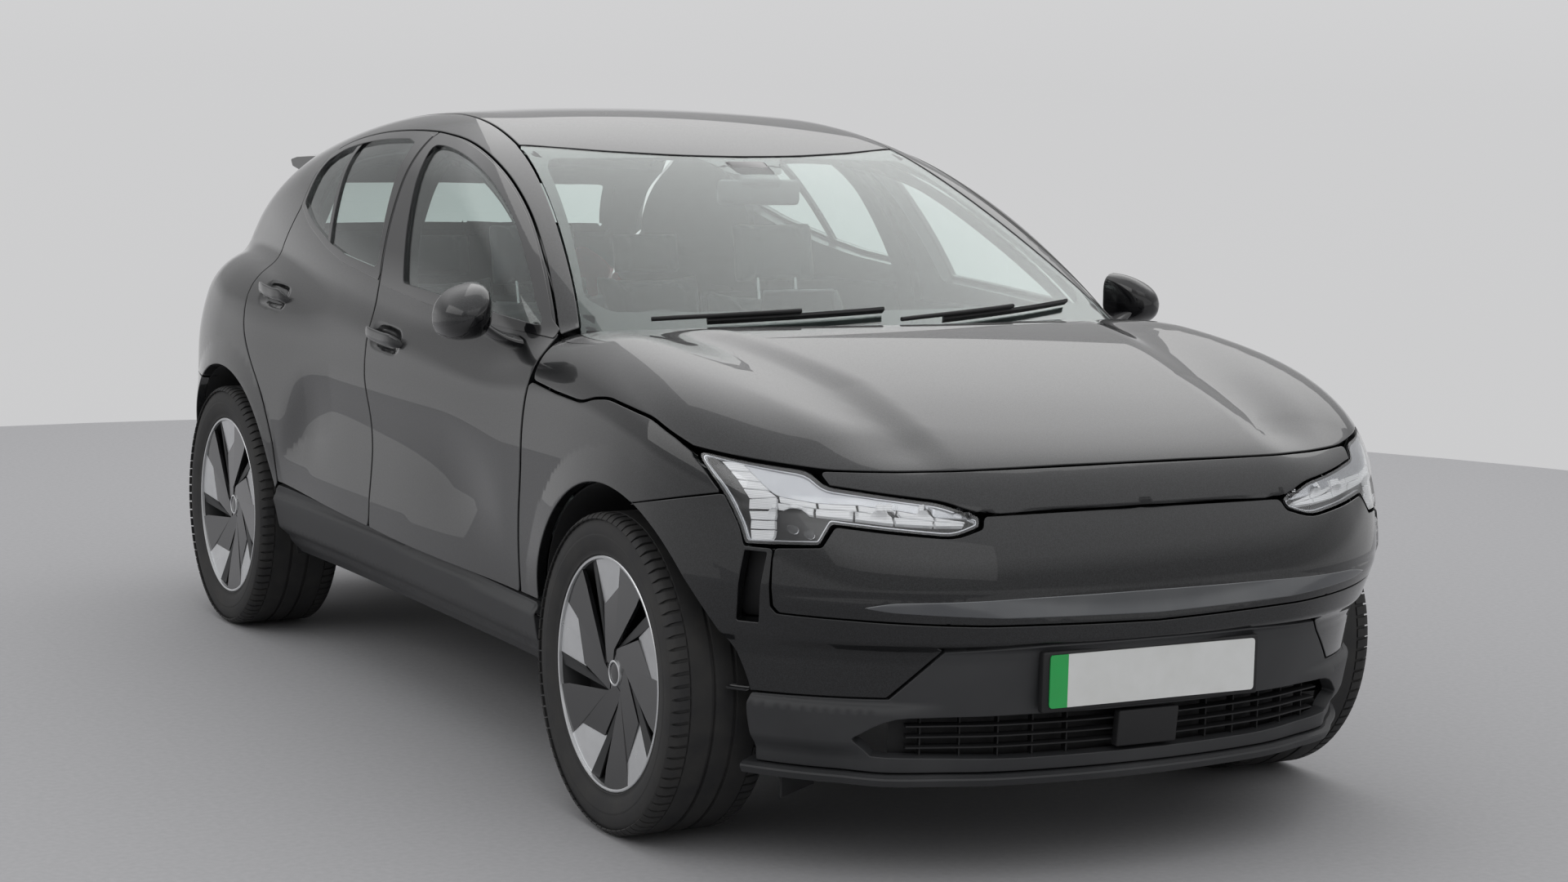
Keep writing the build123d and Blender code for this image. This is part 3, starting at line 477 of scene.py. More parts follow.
def cut_panel(
    view, outline, holes=(), step=0.016, edge=0.0025, depth=0.02, sink=0.0, scale=(1, 1), lines=()
):
    """A closed shell cut from the skin: its face, rounded edges, flanges and back.

    outline and holes are 3-D lines on the skin. Returns points, faces, a normal for
    every face corner and each face's zone: 0 outside, 1 edge and flange, 2 back."""
    scale = np.asarray(scale, float)
    loops3 = [np.asarray(loop) for loop in (outline, *holes)]
    loops2 = [view.flat(loop) * scale for loop in loops3]
    flat = np.vstack(loops2)
    lo, hi = flat.min(0), flat.max(0)
    us = np.arange(lo[0], hi[0], step)
    vs = np.arange(lo[1], hi[1], step * 0.87)
    grid = np.array([(u + (0.5 * step if k % 2 else 0), v) for k, v in enumerate(vs) for u in us])
    grid = grid[inside(grid, loops2)]
    keep = np.ones(len(grid), bool)
    for start in range(0, len(grid), 2000):
        block = grid[start : start + 2000]
        gap = np.min(((block[:, None, :] - flat[None, :, :]) ** 2).sum(2), axis=1)
        keep[start : start + 2000] = gap > (0.62 * step) ** 2
    grid = grid[keep]
    extra = [view.flat(np.asarray(line)) * scale for line in lines]
    if extra:
        crease = np.vstack(extra)
        gap = np.min(((grid[:, None, :] - crease[None, :, :]) ** 2).sum(2), axis=1)
        grid = np.vstack([grid[gap > (0.5 * step) ** 2], crease])
    every = np.vstack([flat, grid])
    edges = []
    base = 0
    for loop in loops2:
        n = len(loop)
        edges += [(base + k, base + (k + 1) % n) for k in range(n)]
        base += n
    made = delaunay_2d_cdt([Vector(p) for p in every], edges, [], 0, 1e-7)
    spots = np.array([tuple(p) for p in made[0]])
    source = [ids[0] if ids else -1 for ids in made[3]]
    source_of = np.array(source)
    tris = np.array([f for f in made[2] if len(f) == 3])
    tris = tris[inside(spots[tris].mean(1), loops2)]
    tris = source_of[tris]
    tris = tris[(tris >= 0).all(1)]
    tris = tris[(tris[:, 0] != tris[:, 1]) & (tris[:, 1] != tris[:, 2]) & (tris[:, 0] != tris[:, 2])]
    # raise the flat points to the skin
    rim = len(flat)
    points = np.vstack([np.vstack(loops3), view.lift(every[rim:] / scale)])
    normals = skin_normals(view.skin, points)
    a, b, c = (points[tris[:, k]] for k in range(3))
    facing = np.einsum("ij,ij->i", np.cross(b - a, c - a), normals[tris[:, 0]])
    if np.sum(facing) < 0:
        tris = tris[:, ::-1]
    # outward direction in the surface at each rim point
    way = np.zeros((rim, 3))
    base = 0
    for k, loop in enumerate(loops3):
        n = len(loop)
        along = np.roll(loop, -1, 0) - np.roll(loop, 1, 0)
        along /= np.linalg.norm(along, axis=1)[:, None] + 1e-12
        out = np.cross(along, normals[base : base + n])
        out /= np.linalg.norm(out, axis=1)[:, None] + 1e-12
        probe = loop + out * 0.003
        within = inside(view.flat(probe) * scale, loops2)
        if within.mean() > 0.5:
            out = -out
        way[base : base + n] = out
        base += n
    depths = depth(points) if callable(depth) else np.full(len(points), float(depth))
    points = points - normals * sink
    turns = [0, 30, 60, 90] if edge > 0.0012 else [0, 90]
    rings, ring_normals = [], []
    for angle in turns:
        s, c = math.sin(math.radians(angle)), math.cos(math.radians(angle))
        n = way * s + normals[:rim] * c
        rings.append(points[:rim] - (way + normals[:rim]) * edge + n * edge)
        ring_normals.append(n)
    foot = points[:rim] - normals[:rim] * depths[:rim, None]
    back = points - normals * depths[:, None]
    face_points = points.copy()
    face_points[:rim] = rings[0]
    cloud = [face_points] + rings[1:] + [back]
    starts = [0]
    for block in cloud[:-1]:
        starts.append(starts[-1] + len(block))
    back_start = starts[-1]
    cloud = np.vstack(cloud)
    faces, corner_normals, zones = [], [], []
    for t in tris:
        faces.append(tuple(t))
        corner_normals += [normals[t[0]], normals[t[1]], normals[t[2]]]
        zones.append(0)
    base = 0
    for loop in loops3:
        n = len(loop)
        # faces must turn the same way as the skin's own triangles
        for k in range(len(rings)):
            upper = starts[k] if k else 0
            lower = starts[k + 1] if k + 1 < len(rings) else back_start
            upper_n = ring_normals[k]
            lower_n = ring_normals[k + 1] if k + 1 < len(rings) else way
            for i in range(n):
                j = (i + 1) % n
                p, q = base + i, base + j
                faces.append((upper + p, lower + p, lower + q, upper + q))
                corner_normals += [upper_n[p], lower_n[p], lower_n[q], upper_n[q]]
                zones.append(1)
        base += n
    for t in tris:
        faces.append((back_start + t[2], back_start + t[1], back_start + t[0]))
        corner_normals += [-normals[t[2]], -normals[t[1]], -normals[t[0]]]
        zones.append(2)
    corner_normals = np.array(corner_normals)
    # turn any edge quad whose own normal is against the one it should have
    at = 0
    fixed = []
    order = np.arange(len(corner_normals))
    for f, zone in zip(faces, zones):
        n = len(f)
        if zone == 1:
            a, b, c = cloud[f[0]], cloud[f[1]], cloud[f[2]]
            own = np.cross(b - a, c - a)
            if np.dot(own, corner_normals[at : at + n].sum(0)) < 0:
                f = f[::-1]
                order[at : at + n] = order[at : at + n][::-1]
        fixed.append(f)
        at += n
    return cloud, fixed, corner_normals[order], zones


def stand(name, data):
    """an object with that data, in the scene"""
    made = bpy.data.objects.new(name, data)
    bpy.context.scene.collection.objects.link(made)
    return made


def placed(name, mesh, body, stands_for=()):
    """a piece of the car that rides one body and may stand for nodes of the solids"""
    piece = stand(name, mesh)
    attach(piece, body)
    if stands_for:
        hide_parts(*stands_for)
    return piece


def build(name, shells, finishes, body, stands_for=(), mirrored=False, zone_finish=(0, 0, 0)):
    """One Blender piece from one or more shells, on the left side or mirrored to the right."""
    points, faces, normals, material = [], [], [], []
    start = 0
    for shell in shells:
        cloud, shell_faces, corner_normals, zones = shell[:4]
        own = shell[4] if len(shell) > 4 else zone_finish
        cloud = np.array(cloud, float)
        corner_normals = np.array(corner_normals, float)
        if mirrored:
            cloud[:, 0] *= -1
            corner_normals[:, 0] *= -1
        at = 0
        flipped = []
        order = np.arange(len(corner_normals))
        for f in shell_faces:
            n = len(f)
            if mirrored:
                f = f[::-1]
                order[at : at + n] = order[at : at + n][::-1]
            flipped.append(tuple(int(i) + start for i in f))
            at += n
        points.append(cloud)
        faces += flipped
        normals.append(corner_normals[order])
        material += [own[z] for z in zones]
        start += len(cloud)
    mesh = bpy.data.meshes.new(name)
    mesh.from_pydata(np.vstack(points).tolist(), [], faces)
    for item in finishes:
        mesh.materials.append(item)
    mesh.polygons.foreach_set("material_index", material)
    mesh.polygons.foreach_set("use_smooth", [True] * len(faces))
    if len(mesh.loops) == sum(len(n) for n in normals):
        mesh.normals_split_custom_set([tuple(n) for n in np.vstack(normals)])
    mesh.update()
    return placed(name, mesh, body, stands_for)




def flake_group():
    """fine metal flake under clear coat: a colour mask and a roughness that vary grain by grain"""
    group = bpy.data.node_groups.new("metal_flake", "ShaderNodeTree")
    group.interface.new_socket("Scale", in_out="INPUT", socket_type="NodeSocketFloat").default_value = 320.0
    group.interface.new_socket("Dark", in_out="INPUT", socket_type="NodeSocketColor")
    group.interface.new_socket("Bright", in_out="INPUT", socket_type="NodeSocketColor")
    group.interface.new_socket("Color", in_out="OUTPUT", socket_type="NodeSocketColor")
    group.interface.new_socket("Roughness", in_out="OUTPUT", socket_type="NodeSocketFloat")
    given = group.nodes.new("NodeGroupInput")
    result = group.nodes.new("NodeGroupOutput")
    place = add_node(group, "ShaderNodeTexCoord")
    grain = add_node(group, "ShaderNodeTexNoise", in_Detail=2.0, in_Roughness=0.7)
    cells = add_node(group, "ShaderNodeTexVoronoi")
    finer = add_node(group, "ShaderNodeMath", operation="MULTIPLY")
    finer.inputs[1].default_value = 2.6
    both = add_node(group, "ShaderNodeMath", operation="MULTIPLY")
    levels = add_node(group, "ShaderNodeMapRange")
    levels.inputs["From Min"].default_value = 0.10
    levels.inputs["From Max"].default_value = 0.42
    mix = add_node(group, "ShaderNodeMix", data_type="RGBA")
    rough = add_node(group, "ShaderNodeMapRange")
    rough.inputs["To Min"].default_value = 0.34
    rough.inputs["To Max"].default_value = 0.50
    spread = add_node(group, "ShaderNodeSeparateColor")
    wire(
        group,
        (place.outputs["Object"], grain.inputs["Vector"]),
        (place.outputs["Object"], cells.inputs["Vector"]),
        (given.outputs["Scale"], grain.inputs["Scale"]),
        (given.outputs["Scale"], finer.inputs[0]),
        (finer.outputs[0], cells.inputs["Scale"]),
        (cells.outputs["Color"], spread.inputs[0]),
        (grain.outputs["Fac"], both.inputs[0]),
        (spread.outputs[0], both.inputs[1]),
        (both.outputs[0], levels.inputs["Value"]),
        (levels.outputs["Result"], mix.inputs["Factor"]),
        (given.outputs["Dark"], mix.inputs["A"]),
        (given.outputs["Bright"], mix.inputs["B"]),
        (mix.outputs["Result"], result.inputs["Color"]),
        (grain.outputs["Fac"], rough.inputs["Value"]),
        (rough.outputs["Result"], result.inputs["Roughness"]),
    )
    return group


flake = flake_group()
paint = finish("gloss_black_paint")
tree = paint.node_tree
coat = add_node(
    tree, "ShaderNodeBsdfPrincipled", in_Metallic=0.7, in_Coat_Weight=1.0, in_Coat_Roughness=0.015
)
grain = add_node(tree, "ShaderNodeGroup", node_tree=flake)
grain.inputs["Scale"].default_value = 300.0
grain.inputs["Dark"].default_value = (0.0025, 0.0028, 0.0032, 1)
grain.inputs["Bright"].default_value = (0.017, 0.018, 0.020, 1)
wire(
    tree,
    (grain.outputs["Color"], coat.inputs["Base Color"]),
    (grain.outputs["Roughness"], coat.inputs["Roughness"]),
    (coat.outputs[0], tree.nodes["out"].inputs["Surface"]),
)


def grain_group():
    """moulded grain, dust and rubbed patches shared by the plastics, rubbers and bare metals"""
    group = bpy.data.node_groups.new("moulded_grain", "ShaderNodeTree")
    for name, kind, value in (
        ("Scale", "NodeSocketFloat", 700.0),
        ("Patch Scale", "NodeSocketFloat", 5.0),
        ("Color", "NodeSocketColor", (0.03, 0.03, 0.03, 1)),
        ("Worn Color", "NodeSocketColor", (0.05, 0.05, 0.05, 1)),
        ("Rough From", "NodeSocketFloat", 0.5),
        ("Rough To", "NodeSocketFloat", 0.7),
    ):
        group.interface.new_socket(name, in_out="INPUT", socket_type=kind).default_value = value
    group.interface.new_socket("Color", in_out="OUTPUT", socket_type="NodeSocketColor")
    group.interface.new_socket("Roughness", in_out="OUTPUT", socket_type="NodeSocketFloat")
    group.interface.new_socket("Height", in_out="OUTPUT", socket_type="NodeSocketFloat")
    given = group.nodes.new("NodeGroupInput")
    result = group.nodes.new("NodeGroupOutput")
    place = add_node(group, "ShaderNodeTexCoord")
    fine = add_node(group, "ShaderNodeTexVoronoi")
    patch = add_node(group, "ShaderNodeTexNoise", in_Detail=5.0)
    worn = add_node(group, "ShaderNodeMapRange")
    worn.inputs["From Min"].default_value = 0.35
    worn.inputs["From Max"].default_value = 0.75
    mix = add_node(group, "ShaderNodeMix", data_type="RGBA")
    rough = add_node(group, "ShaderNodeMapRange")
    wire(
        group,
        (place.outputs["Object"], fine.inputs["Vector"]),
        (place.outputs["Object"], patch.inputs["Vector"]),
        (given.outputs["Scale"], fine.inputs["Scale"]),
        (given.outputs["Patch Scale"], patch.inputs["Scale"]),
        (patch.outputs["Fac"], worn.inputs["Value"]),
        (worn.outputs["Result"], mix.inputs["Factor"]),
        (given.outputs["Color"], mix.inputs["A"]),
        (given.outputs["Worn Color"], mix.inputs["B"]),
        (patch.outputs["Fac"], rough.inputs["Value"]),
        (given.outputs["Rough From"], rough.inputs["To Min"]),
        (given.outputs["Rough To"], rough.inputs["To Max"]),
        (mix.outputs["Result"], result.inputs["Color"]),
        (rough.outputs["Result"], result.inputs["Roughness"]),
        (fine.outputs["Distance"], result.inputs["Height"]),
    )
    return group


moulded = grain_group()


def moulded_finish(name, colour, worn, rough, scale=700.0, patch=5.0, bump=0.12, **shader):
    """a solid-coloured material with the shared grain; shader settings go on the shader itself"""
    made = finish(name)
    tree = made.node_tree
    body = add_node(tree, "ShaderNodeBsdfPrincipled", **shader)
    grain = add_node(tree, "ShaderNodeGroup", node_tree=moulded)
    grain.inputs["Scale"].default_value = scale
    grain.inputs["Patch Scale"].default_value = patch
    grain.inputs["Color"].default_value = (*colour, 1)
    grain.inputs["Worn Color"].default_value = (*worn, 1)
    grain.inputs["Rough From"].default_value, grain.inputs["Rough To"].default_value = rough
    wire(
        tree,
        (grain.outputs["Color"], body.inputs["Base Color"]),
        (grain.outputs["Roughness"], body.inputs["Roughness"]),
        (body.outputs[0], tree.nodes["out"].inputs["Surface"]),
    )
    if bump:
        relief = add_node(tree, "ShaderNodeBump", in_Strength=bump, in_Distance=0.0004)
        wire(
            tree, (grain.outputs["Height"], relief.inputs["Height"]),
            (relief.outputs[0], body.inputs["Normal"]),
        )
    return made


seam_black = moulded_finish("seam_black", (0.006, 0.006, 0.007), (0.012, 0.012, 0.013), (0.55, 0.8), bump=0)

side = SideView(whole_body)
side_low = SideView(lower_body)
tail_view = FrontView(whole_body, 1, 0.3)
nose_view = FrontView(lower_body, -1, -1.2)
plan = PlanView(whole_body, 0.9)
nose_wrap = WrapView(lower_body, -1.25)
tail_wrap = WrapView(whole_body, 1.25)


def outline_on(view, points, corner=0.02, soft=1.2, step=0.012, closed=True):
    """a 3-D line on the skin; sharp turns get the corner radius and slight ones the soft one"""
    p = np.asarray(points, float)
    if closed:
        before, after = np.roll(p, 1, 0) - p, np.roll(p, -1, 0) - p
    else:
        before, after = np.vstack([p[0] * 2 - p[1], p[:-1]]) - p, np.vstack([p[1:], p[-1] * 2 - p[-2]]) - p
    cosine = (before * after).sum(1) / (np.linalg.norm(before, axis=1) * np.linalg.norm(after, axis=1))
    turn = math.pi - np.arccos(np.clip(cosine, -1, 1))
    radii = np.where(turn > 0.55, corner, soft)
    if not closed:
        radii[0] = radii[-1] = 0
    smooth = rounded(p, radii)
    return view.lift(traced(smooth, step, closed))


def arc(hub_y, radius, start, end, count=48):
    """points round a wheel arch in the side view, angles in degrees from the rear, upwards"""
    angles = np.radians(np.linspace(start, end, count))
    return [(hub_y + radius * math.cos(a), AXLE_Z + radius * math.sin(a)) for a in angles]


def on_arch(hub_y, radius, heights, way):
    """points round a wheel arch at those heights, ahead of the axle for way -1 and behind it for 1"""
    return [(hub_y + way * math.sqrt(radius**2 - (AXLE_Z - z) ** 2), z) for z in heights]


PILLAR = [(0.123, 0.455), (0.140, 0.64), (0.178, 0.79), (0.232, 0.95), (0.226, 1.10), (0.360, 1.48)]
REAR_DOOR = PILLAR + [(0.763, 1.472), (0.951, 1.447), (1.085, 1.402), (1.102, 1.34), (1.102, 1.24)]
REAR_DOOR += [(1.180, 1.12), (1.192, 1.0), (1.150, 0.89), (1.060, 0.80), (0.960, 0.70)]
REAR_DOOR += [(0.885, 0.58), (0.868, 0.475)]


def grown(points, amount):
    """an outline in a flat view moved outwards by amount, corner by corner"""
    p = np.asarray(points, float)
    area = np.sum(p[:, 0] * np.roll(p[:, 1], -1) - np.roll(p[:, 0], -1) * p[:, 1])
    before, after = p - np.roll(p, 1, 0), np.roll(p, -1, 0) - p
    before /= np.linalg.norm(before, axis=1)[:, None]
    after /= np.linalg.norm(after, axis=1)[:, None]
    sign = 1 if area > 0 else -1
    n1 = np.stack([before[:, 1], -before[:, 0]], 1) * sign
    n2 = np.stack([after[:, 1], -after[:, 0]], 1) * sign
    both = n1 + n2
    return p + both * (amount / np.maximum((both * n1).sum(1), 0.35))[:, None]


class RollView(ArchView):
    """the view round the car's length in near-true metres, for lines that run over the shoulders"""

    def rays(self, uv):
        return super().rays(np.asarray(uv) / [1, 0.72])

    def flat(self, p):
        return super().flat(p) * [1, 0.72]


roll = RollView(whole_body, 0.9)


def eased(points, count=8):
    """a smooth curve through the points"""
    p = np.asarray(points, float)
    q = np.vstack([2 * p[0] - p[1], p, 2 * p[-1] - p[-2]])
    out = []
    for k in range(1, len(q) - 2):
        for t in np.arange(count) / count:
            a, b, c, d = q[k - 1 : k + 3]
            out.append(b + 0.5 * t * (c - a + t * (2 * a - 5 * b + 4 * c - d + t * (3 * (b - c) + d - a))))
    return np.vstack([out, p[-1:]])


def settle(points, skin=whole_body):
    """moves points by the shortest way onto the skin"""
    p = np.array(points, float)
    for _ in range(3):
        q = p * 1000
        value = skin(q[:, 0], q[:, 1], q[:, 2])
        slope = np.zeros_like(q)
        for axis in range(3):
            for sign in (-1.2, 1.2):
                r = q.copy()
                r[:, axis] += sign
                slope[:, axis] += sign * skin(r[:, 0], r[:, 1], r[:, 2]) / 2.88
        p -= slope * (value / np.maximum((slope**2).sum(1), 1e-9))[:, None] / 1000
    return p


def hem(line, amount, about, closed=True):
    """the line moved sideways in the skin, away from a point when the amount is positive"""
    p = np.asarray(line, float)
    along = np.roll(p, -1, 0) - np.roll(p, 1, 0) if closed else np.gradient(p, axis=0)
    out = np.cross(along, skin_normals(whole_body, p))
    out /= np.linalg.norm(out, axis=1)[:, None] + 1e-12
    if ((p - about) * out).sum() < 0:
        out = -out
    return settle(p + out * amount)


# the doors' upper edges in plan, (x, y): up the windscreen pillar, then under the cant rail
FRONT_TOP = [(0.785, -0.806), (0.7535, -0.70), (0.7165, -0.56), (0.681, -0.40), (0.6575, -0.24)]
FRONT_TOP += [(0.643, -0.089), (0.627, 0.127), (0.618, 0.36)]
REAR_TOP = [(0.618, 0.36), (0.6185, 0.56), (0.6195, 0.763), (0.624, 0.90), (0.632, 0.99), (0.649, 1.078)]
front_top, rear_top = plan.lift(eased(FRONT_TOP)), plan.lift(eased(REAR_TOP))
DOOR_CENTRES = {"front": np.array([0.8, -0.30, 0.85]), "rear": np.array([0.8, 0.62, 0.95])}


def part_of(line, y_from, y_to):
    return line[(line[:, 1] >= y_from) & (line[:, 1] <= y_to)]


def ring_on_roll(*pieces, corner=0.016, soft=1.0, step=0.012):
    """a closed line through stretches of 3-D line and (y, z) points, its corners rounded"""
    flat = [roll.flat(p if np.asarray(p).shape[1] == 3 else side.lift(p)) for p in pieces]
    return outline_on(roll, np.vstack(flat), corner=corner, soft=soft, step=step)


door_rings = {
    "front": ring_on_roll(front_top, PILLAR[::-1][1:] + [(-0.826, 0.44), (-0.858, 0.764), (-0.846, 0.95)]),
    "rear": ring_on_roll(rear_top, REAR_DOOR[9:], PILLAR[:-1]),
}

rear_edge = outline_on(side, REAR_DOOR[9:][::-1], closed=False)
rim = [
    outline_on(FrontView(cabin, -1, 0.3), [(0.7425, 1.058), (0.562, 1.452)], closed=False),
    outline_on(
        plan, [(0.559, -0.021), (0.535, 0.206), (0.508, 0.495), (0.512, 1.0), (0.553, 1.49)], closed=False
    ),
    outline_on(
        tail_view, [(0.566, 1.422), (0.594, 1.385), (0.672, 1.14), (0.660, 1.096), (0.660, 1.014)],
        closed=False,
    ),
    outline_on(side, [(1.917, 0.990), (1.866, 0.742), (1.858, 0.716)], closed=False),
    outline_on(side, [(1.84, 0.716)] + arc(REAR_AXLE, 0.418, 60.5, 165.5), closed=False, corner=0.004),
    hem(rear_edge, 0.003, DOOR_CENTRES["rear"], False),
    hem(rear_top[::-1][1:], 0.003, DOOR_CENTRES["rear"], False),
    hem(front_top[::-1][1:], 0.003, DOOR_CENTRES["front"], False),
]
side_rim = even_steps(np.vstack(rim), 0.011)
# the charge flap sits in the left rear quarter behind the door, its hinge towards the door
FLAP = [(1.453, 0.839), (1.453, 0.969), (1.603, 0.969), (1.603, 0.839)]
flap_hole = outline_on(side, grown(FLAP, 0.0045), corner=0.028, step=0.008)


def side_depth(points):
    """the side's folded depth, less up at the windows than down at the sill"""
    return 0.030 + 0.012 * ramp(points[:, 2], 1.1, 0.9)


side_shells = {
    hand: cut_panel(roll, side_rim, holes, step=0.016, depth=side_depth) for hand,
    holes in (("left", [flap_hole]), ("right", ()))
}
# behind the doors a second pressing carries the seals: hinge post, middle post and sill
front_post = outline_on(
    side, [(-0.835, 0.425), (-0.868, 0.60), (-0.872, 0.764), (-0.860, 0.95), (-0.822, 1.035)], closed=False
)
inner_rim = np.vstack([
    hem(part_of(front_top, -0.78, 0.35), 0.020, DOOR_CENTRES["front"], False),
    hem(part_of(rear_top, 0.37, 1.07), 0.020, DOOR_CENTRES["rear"], False),
    hem(rear_edge[::-1], 0.020, DOOR_CENTRES["rear"], False),
    outline_on(side, [(0.862, 0.425), (0.2, 0.405), (-0.80, 0.405)], closed=False),
    front_post,
])
openings = [hem(door_rings[row], -0.046, DOOR_CENTRES[row])[::2] for row in ("front", "rear")]
inner_shell = cut_panel(
    roll, even_steps(inner_rim, 0.02), [even_steps(o, 0.016) for o in openings], step=0.03, depth=0.026,
    sink=0.050,
)
flap_shell = cut_panel(side, outline_on(side, FLAP, corner=0.024, step=0.008), step=0.012, depth=0.014)
well_shell = cut_panel(
    side, outline_on(side, grown(FLAP, 0.012), corner=0.03, step=0.010), step=0.02, depth=0.004, sink=0.044
)
build(
    "charge_flap_skin", [flap_shell], [paint, seam_black], "charge_flap", ("charge_flap",),
    zone_finish=(0, 0, 1),
)
build("charge_well", [well_shell], [seam_black, seam_black], "body")
for hand, flip in HANDS:
    build(
        "body_side_outer_" + hand, [side_shells[hand], inner_shell], [paint, seam_black], "body",
        ("body_side_" + hand,), mirrored=flip, zone_finish=(0, 0, 1),
    )


# ---- Doors ----------------------------------------------------------------
# Each door is a painted outer pressing folded over an inner one, a gloss black
# frame round the window, a pane of tinted glass and a pull handle over a recess.
def clear_finish(name, tint, rough=0.0, shade=None):
    """clear glass or lens; lamps shine through it, a little dimmed, so what it closes in stays lit"""
    made = finish(name)
    tree = made.node_tree
    place = add_node(tree, "ShaderNodeTexCoord")
    waves = add_node(tree, "ShaderNodeTexNoise", in_Scale=3.0, in_Detail=2.0)
    mix = add_node(tree, "ShaderNodeMix", data_type="RGBA")
    mix.inputs["A"].default_value = (*tint, 1)
    mix.inputs["B"].default_value = (*[0.97 * c for c in tint], 1)
    pane = add_node(
        tree, "ShaderNodeBsdfPrincipled", in_Transmission_Weight=1.0, in_IOR=1.5, in_Roughness=rough
    )
    through = add_node(tree, "ShaderNodeBsdfTransparent")
    through.inputs["Color"].default_value = (*(shade or tint), 1)
    ray = add_node(tree, "ShaderNodeLightPath")
    choose = add_node(tree, "ShaderNodeMixShader")
    wire(
        tree,
        (place.outputs["Object"], waves.inputs["Vector"]),
        (waves.outputs["Fac"], mix.inputs["Factor"]),
        (mix.outputs["Result"], pane.inputs["Base Color"]),
        (ray.outputs["Is Shadow Ray"], choose.inputs[0]),
        (pane.outputs[0], choose.inputs[1]),
        (through.outputs[0], choose.inputs[2]),
        (choose.outputs[0], tree.nodes["out"].inputs["Surface"]),
    )
    return made


window_glass = clear_finish("window_glass", (0.80, 0.885, 0.86))
trim_black = moulded_finish(
    "trim_gloss_black", (0.006, 0.006, 0.007), (0.010, 0.010, 0.011), (0.05, 0.09), patch=9.0, bump=0,
    in_Coat_Weight=0.6, in_Coat_Roughness=0.03,
)
lining_dark = moulded_finish(
    "cabin_lining_dark", (0.030, 0.032, 0.036), (0.045, 0.047, 0.050), (0.65, 0.85), scale=900.0
)

BELT_FRONT = [
    (0.219, 1.100), (0.208, 1.082), (-0.118, 1.058), (-0.5, 1.039), (-0.806, 1.030), (-0.792, 1.050)
]
BELT_REAR = [
    (1.094, 1.338), (1.094, 1.246), (0.949, 1.199), (0.707, 1.147), (0.543, 1.120), (0.240, 1.092),
    (0.236, 1.104),
]


def under_edge(line, amount, y_from, y_to, row):
    return hem(part_of(line, y_from, y_to), -amount, DOOR_CENTRES[row], False)


frame_rings = {
    "front": ring_on_roll(
        under_edge(front_top, 0.010, -0.765, 0.325, "front"), [(0.348, 1.470)] + BELT_FRONT, corner=0.010,
        soft=0.9,
    ),
    "rear": ring_on_roll(
        under_edge(rear_top, 0.010, 0.385, 1.045, "rear"), [(1.078, 1.394)] + BELT_REAR + [(0.361, 1.468)],
        corner=0.010, soft=0.9,
    ),
}
glass_rings = {
    "front": ring_on_roll(
        under_edge(front_top, 0.046, -0.685, 0.235, "front"),
        [(0.288, 1.445), (0.060, 1.098), (-0.745, 1.052)],
        corner=0.022, soft=0.9, step=0.010,
    ),
    "rear": ring_on_roll(
        under_edge(rear_top, 0.042, 0.475, 1.0, "rear"),
        [
            (1.053, 1.378), (1.072, 1.345), (1.070, 1.255), (0.935, 1.212), (0.707, 1.166), (0.543, 1.142),
            (0.258, 1.122), (0.425, 1.448),
        ],
        corner=0.022, soft=0.9, step=0.010,
    ),
}


def hose_faces(rings, n, start=0, turned_ends=False):
    """the quads between rings of n points each, then the two ends; turned_ends flips those two over"""
    faces = []
    for k in range(rings - 1):
        faces += [
            (k * n + i, k * n + (i + 1) % n, (k + 1) * n + (i + 1) % n, (k + 1) * n + i) for i in range(n)
        ]
    first, last = tuple(range(n)), tuple(range((rings - 1) * n, rings * n))
    faces += [first, last[::-1]] if turned_ends else [first[::-1], last]
    return [tuple(start + i for i in f) for f in faces]


def handle_shell(middle_y, middle_z):
    """a bowed bar over the recess, its ends let into the door"""
    cloud = []
    stations = np.linspace(-1, 1, 33)
    around = np.linspace(0, 2 * math.pi, 20, endpoint=False)
    line = np.stack([middle_y + 0.122 * stations, middle_z + 0.0062 * stations], 1)
    base = side.lift(np.stack([line[:, 0], line[:, 1] + 0.036], 1))
    low = side.lift(np.stack([line[:, 0], line[:, 1] - 0.036], 1))
    base = (base + low) / 2
    facing = skin_normals(whole_body, side.lift(np.stack([line[:, 0], line[:, 1] + 0.036], 1)))
    for k, t in enumerate(stations):
        end = math.sqrt(max(0.0, 1 - abs(t) ** 9))
        bow = 0.024 * (1 - t**6) - 0.002
        tall, thick = 0.0165 * end * (1 - 0.12 * t * t) + 0.0004, 0.0075 * end + 0.0003
        for a in around:
            c, s = math.cos(a), math.sin(a)
            out = bow + thick * np.sign(c) * abs(c) ** 0.7
            up = tall * np.sign(s) * abs(s) ** 0.8
            cloud.append(base[k] + facing[k] * out + np.array([0, 0, up]))
    return np.array(cloud), hose_faces(len(stations), len(around))


def plain_piece(
    name, cloud, faces, finishes, body, stands_for=(), mirrored=False, materials=None, sharp=0.6
):
    """A Blender piece from bare points and faces, its normals worked out and sharp edges kept."""
    cloud = np.array(cloud, float)
    if mirrored:
        cloud[:, 0] *= -1
    mesh = bpy.data.meshes.new(name)
    mesh.from_pydata(cloud.tolist(), [], [tuple(int(i) for i in f) for f in faces])
    for item in finishes:
        mesh.materials.append(item)
    if materials is not None:
        mesh.polygons.foreach_set("material_index", materials)
    mesh.update()
    work = bmesh.new()
    work.from_mesh(mesh)
    bmesh.ops.recalc_face_normals(work, faces=work.faces)
    work.to_mesh(mesh)
    work.free()
    mesh.polygons.foreach_set("use_smooth", [True] * len(mesh.polygons))
    mesh.set_sharp_from_angle(angle=sharp)
    return placed(name, mesh, body, stands_for)


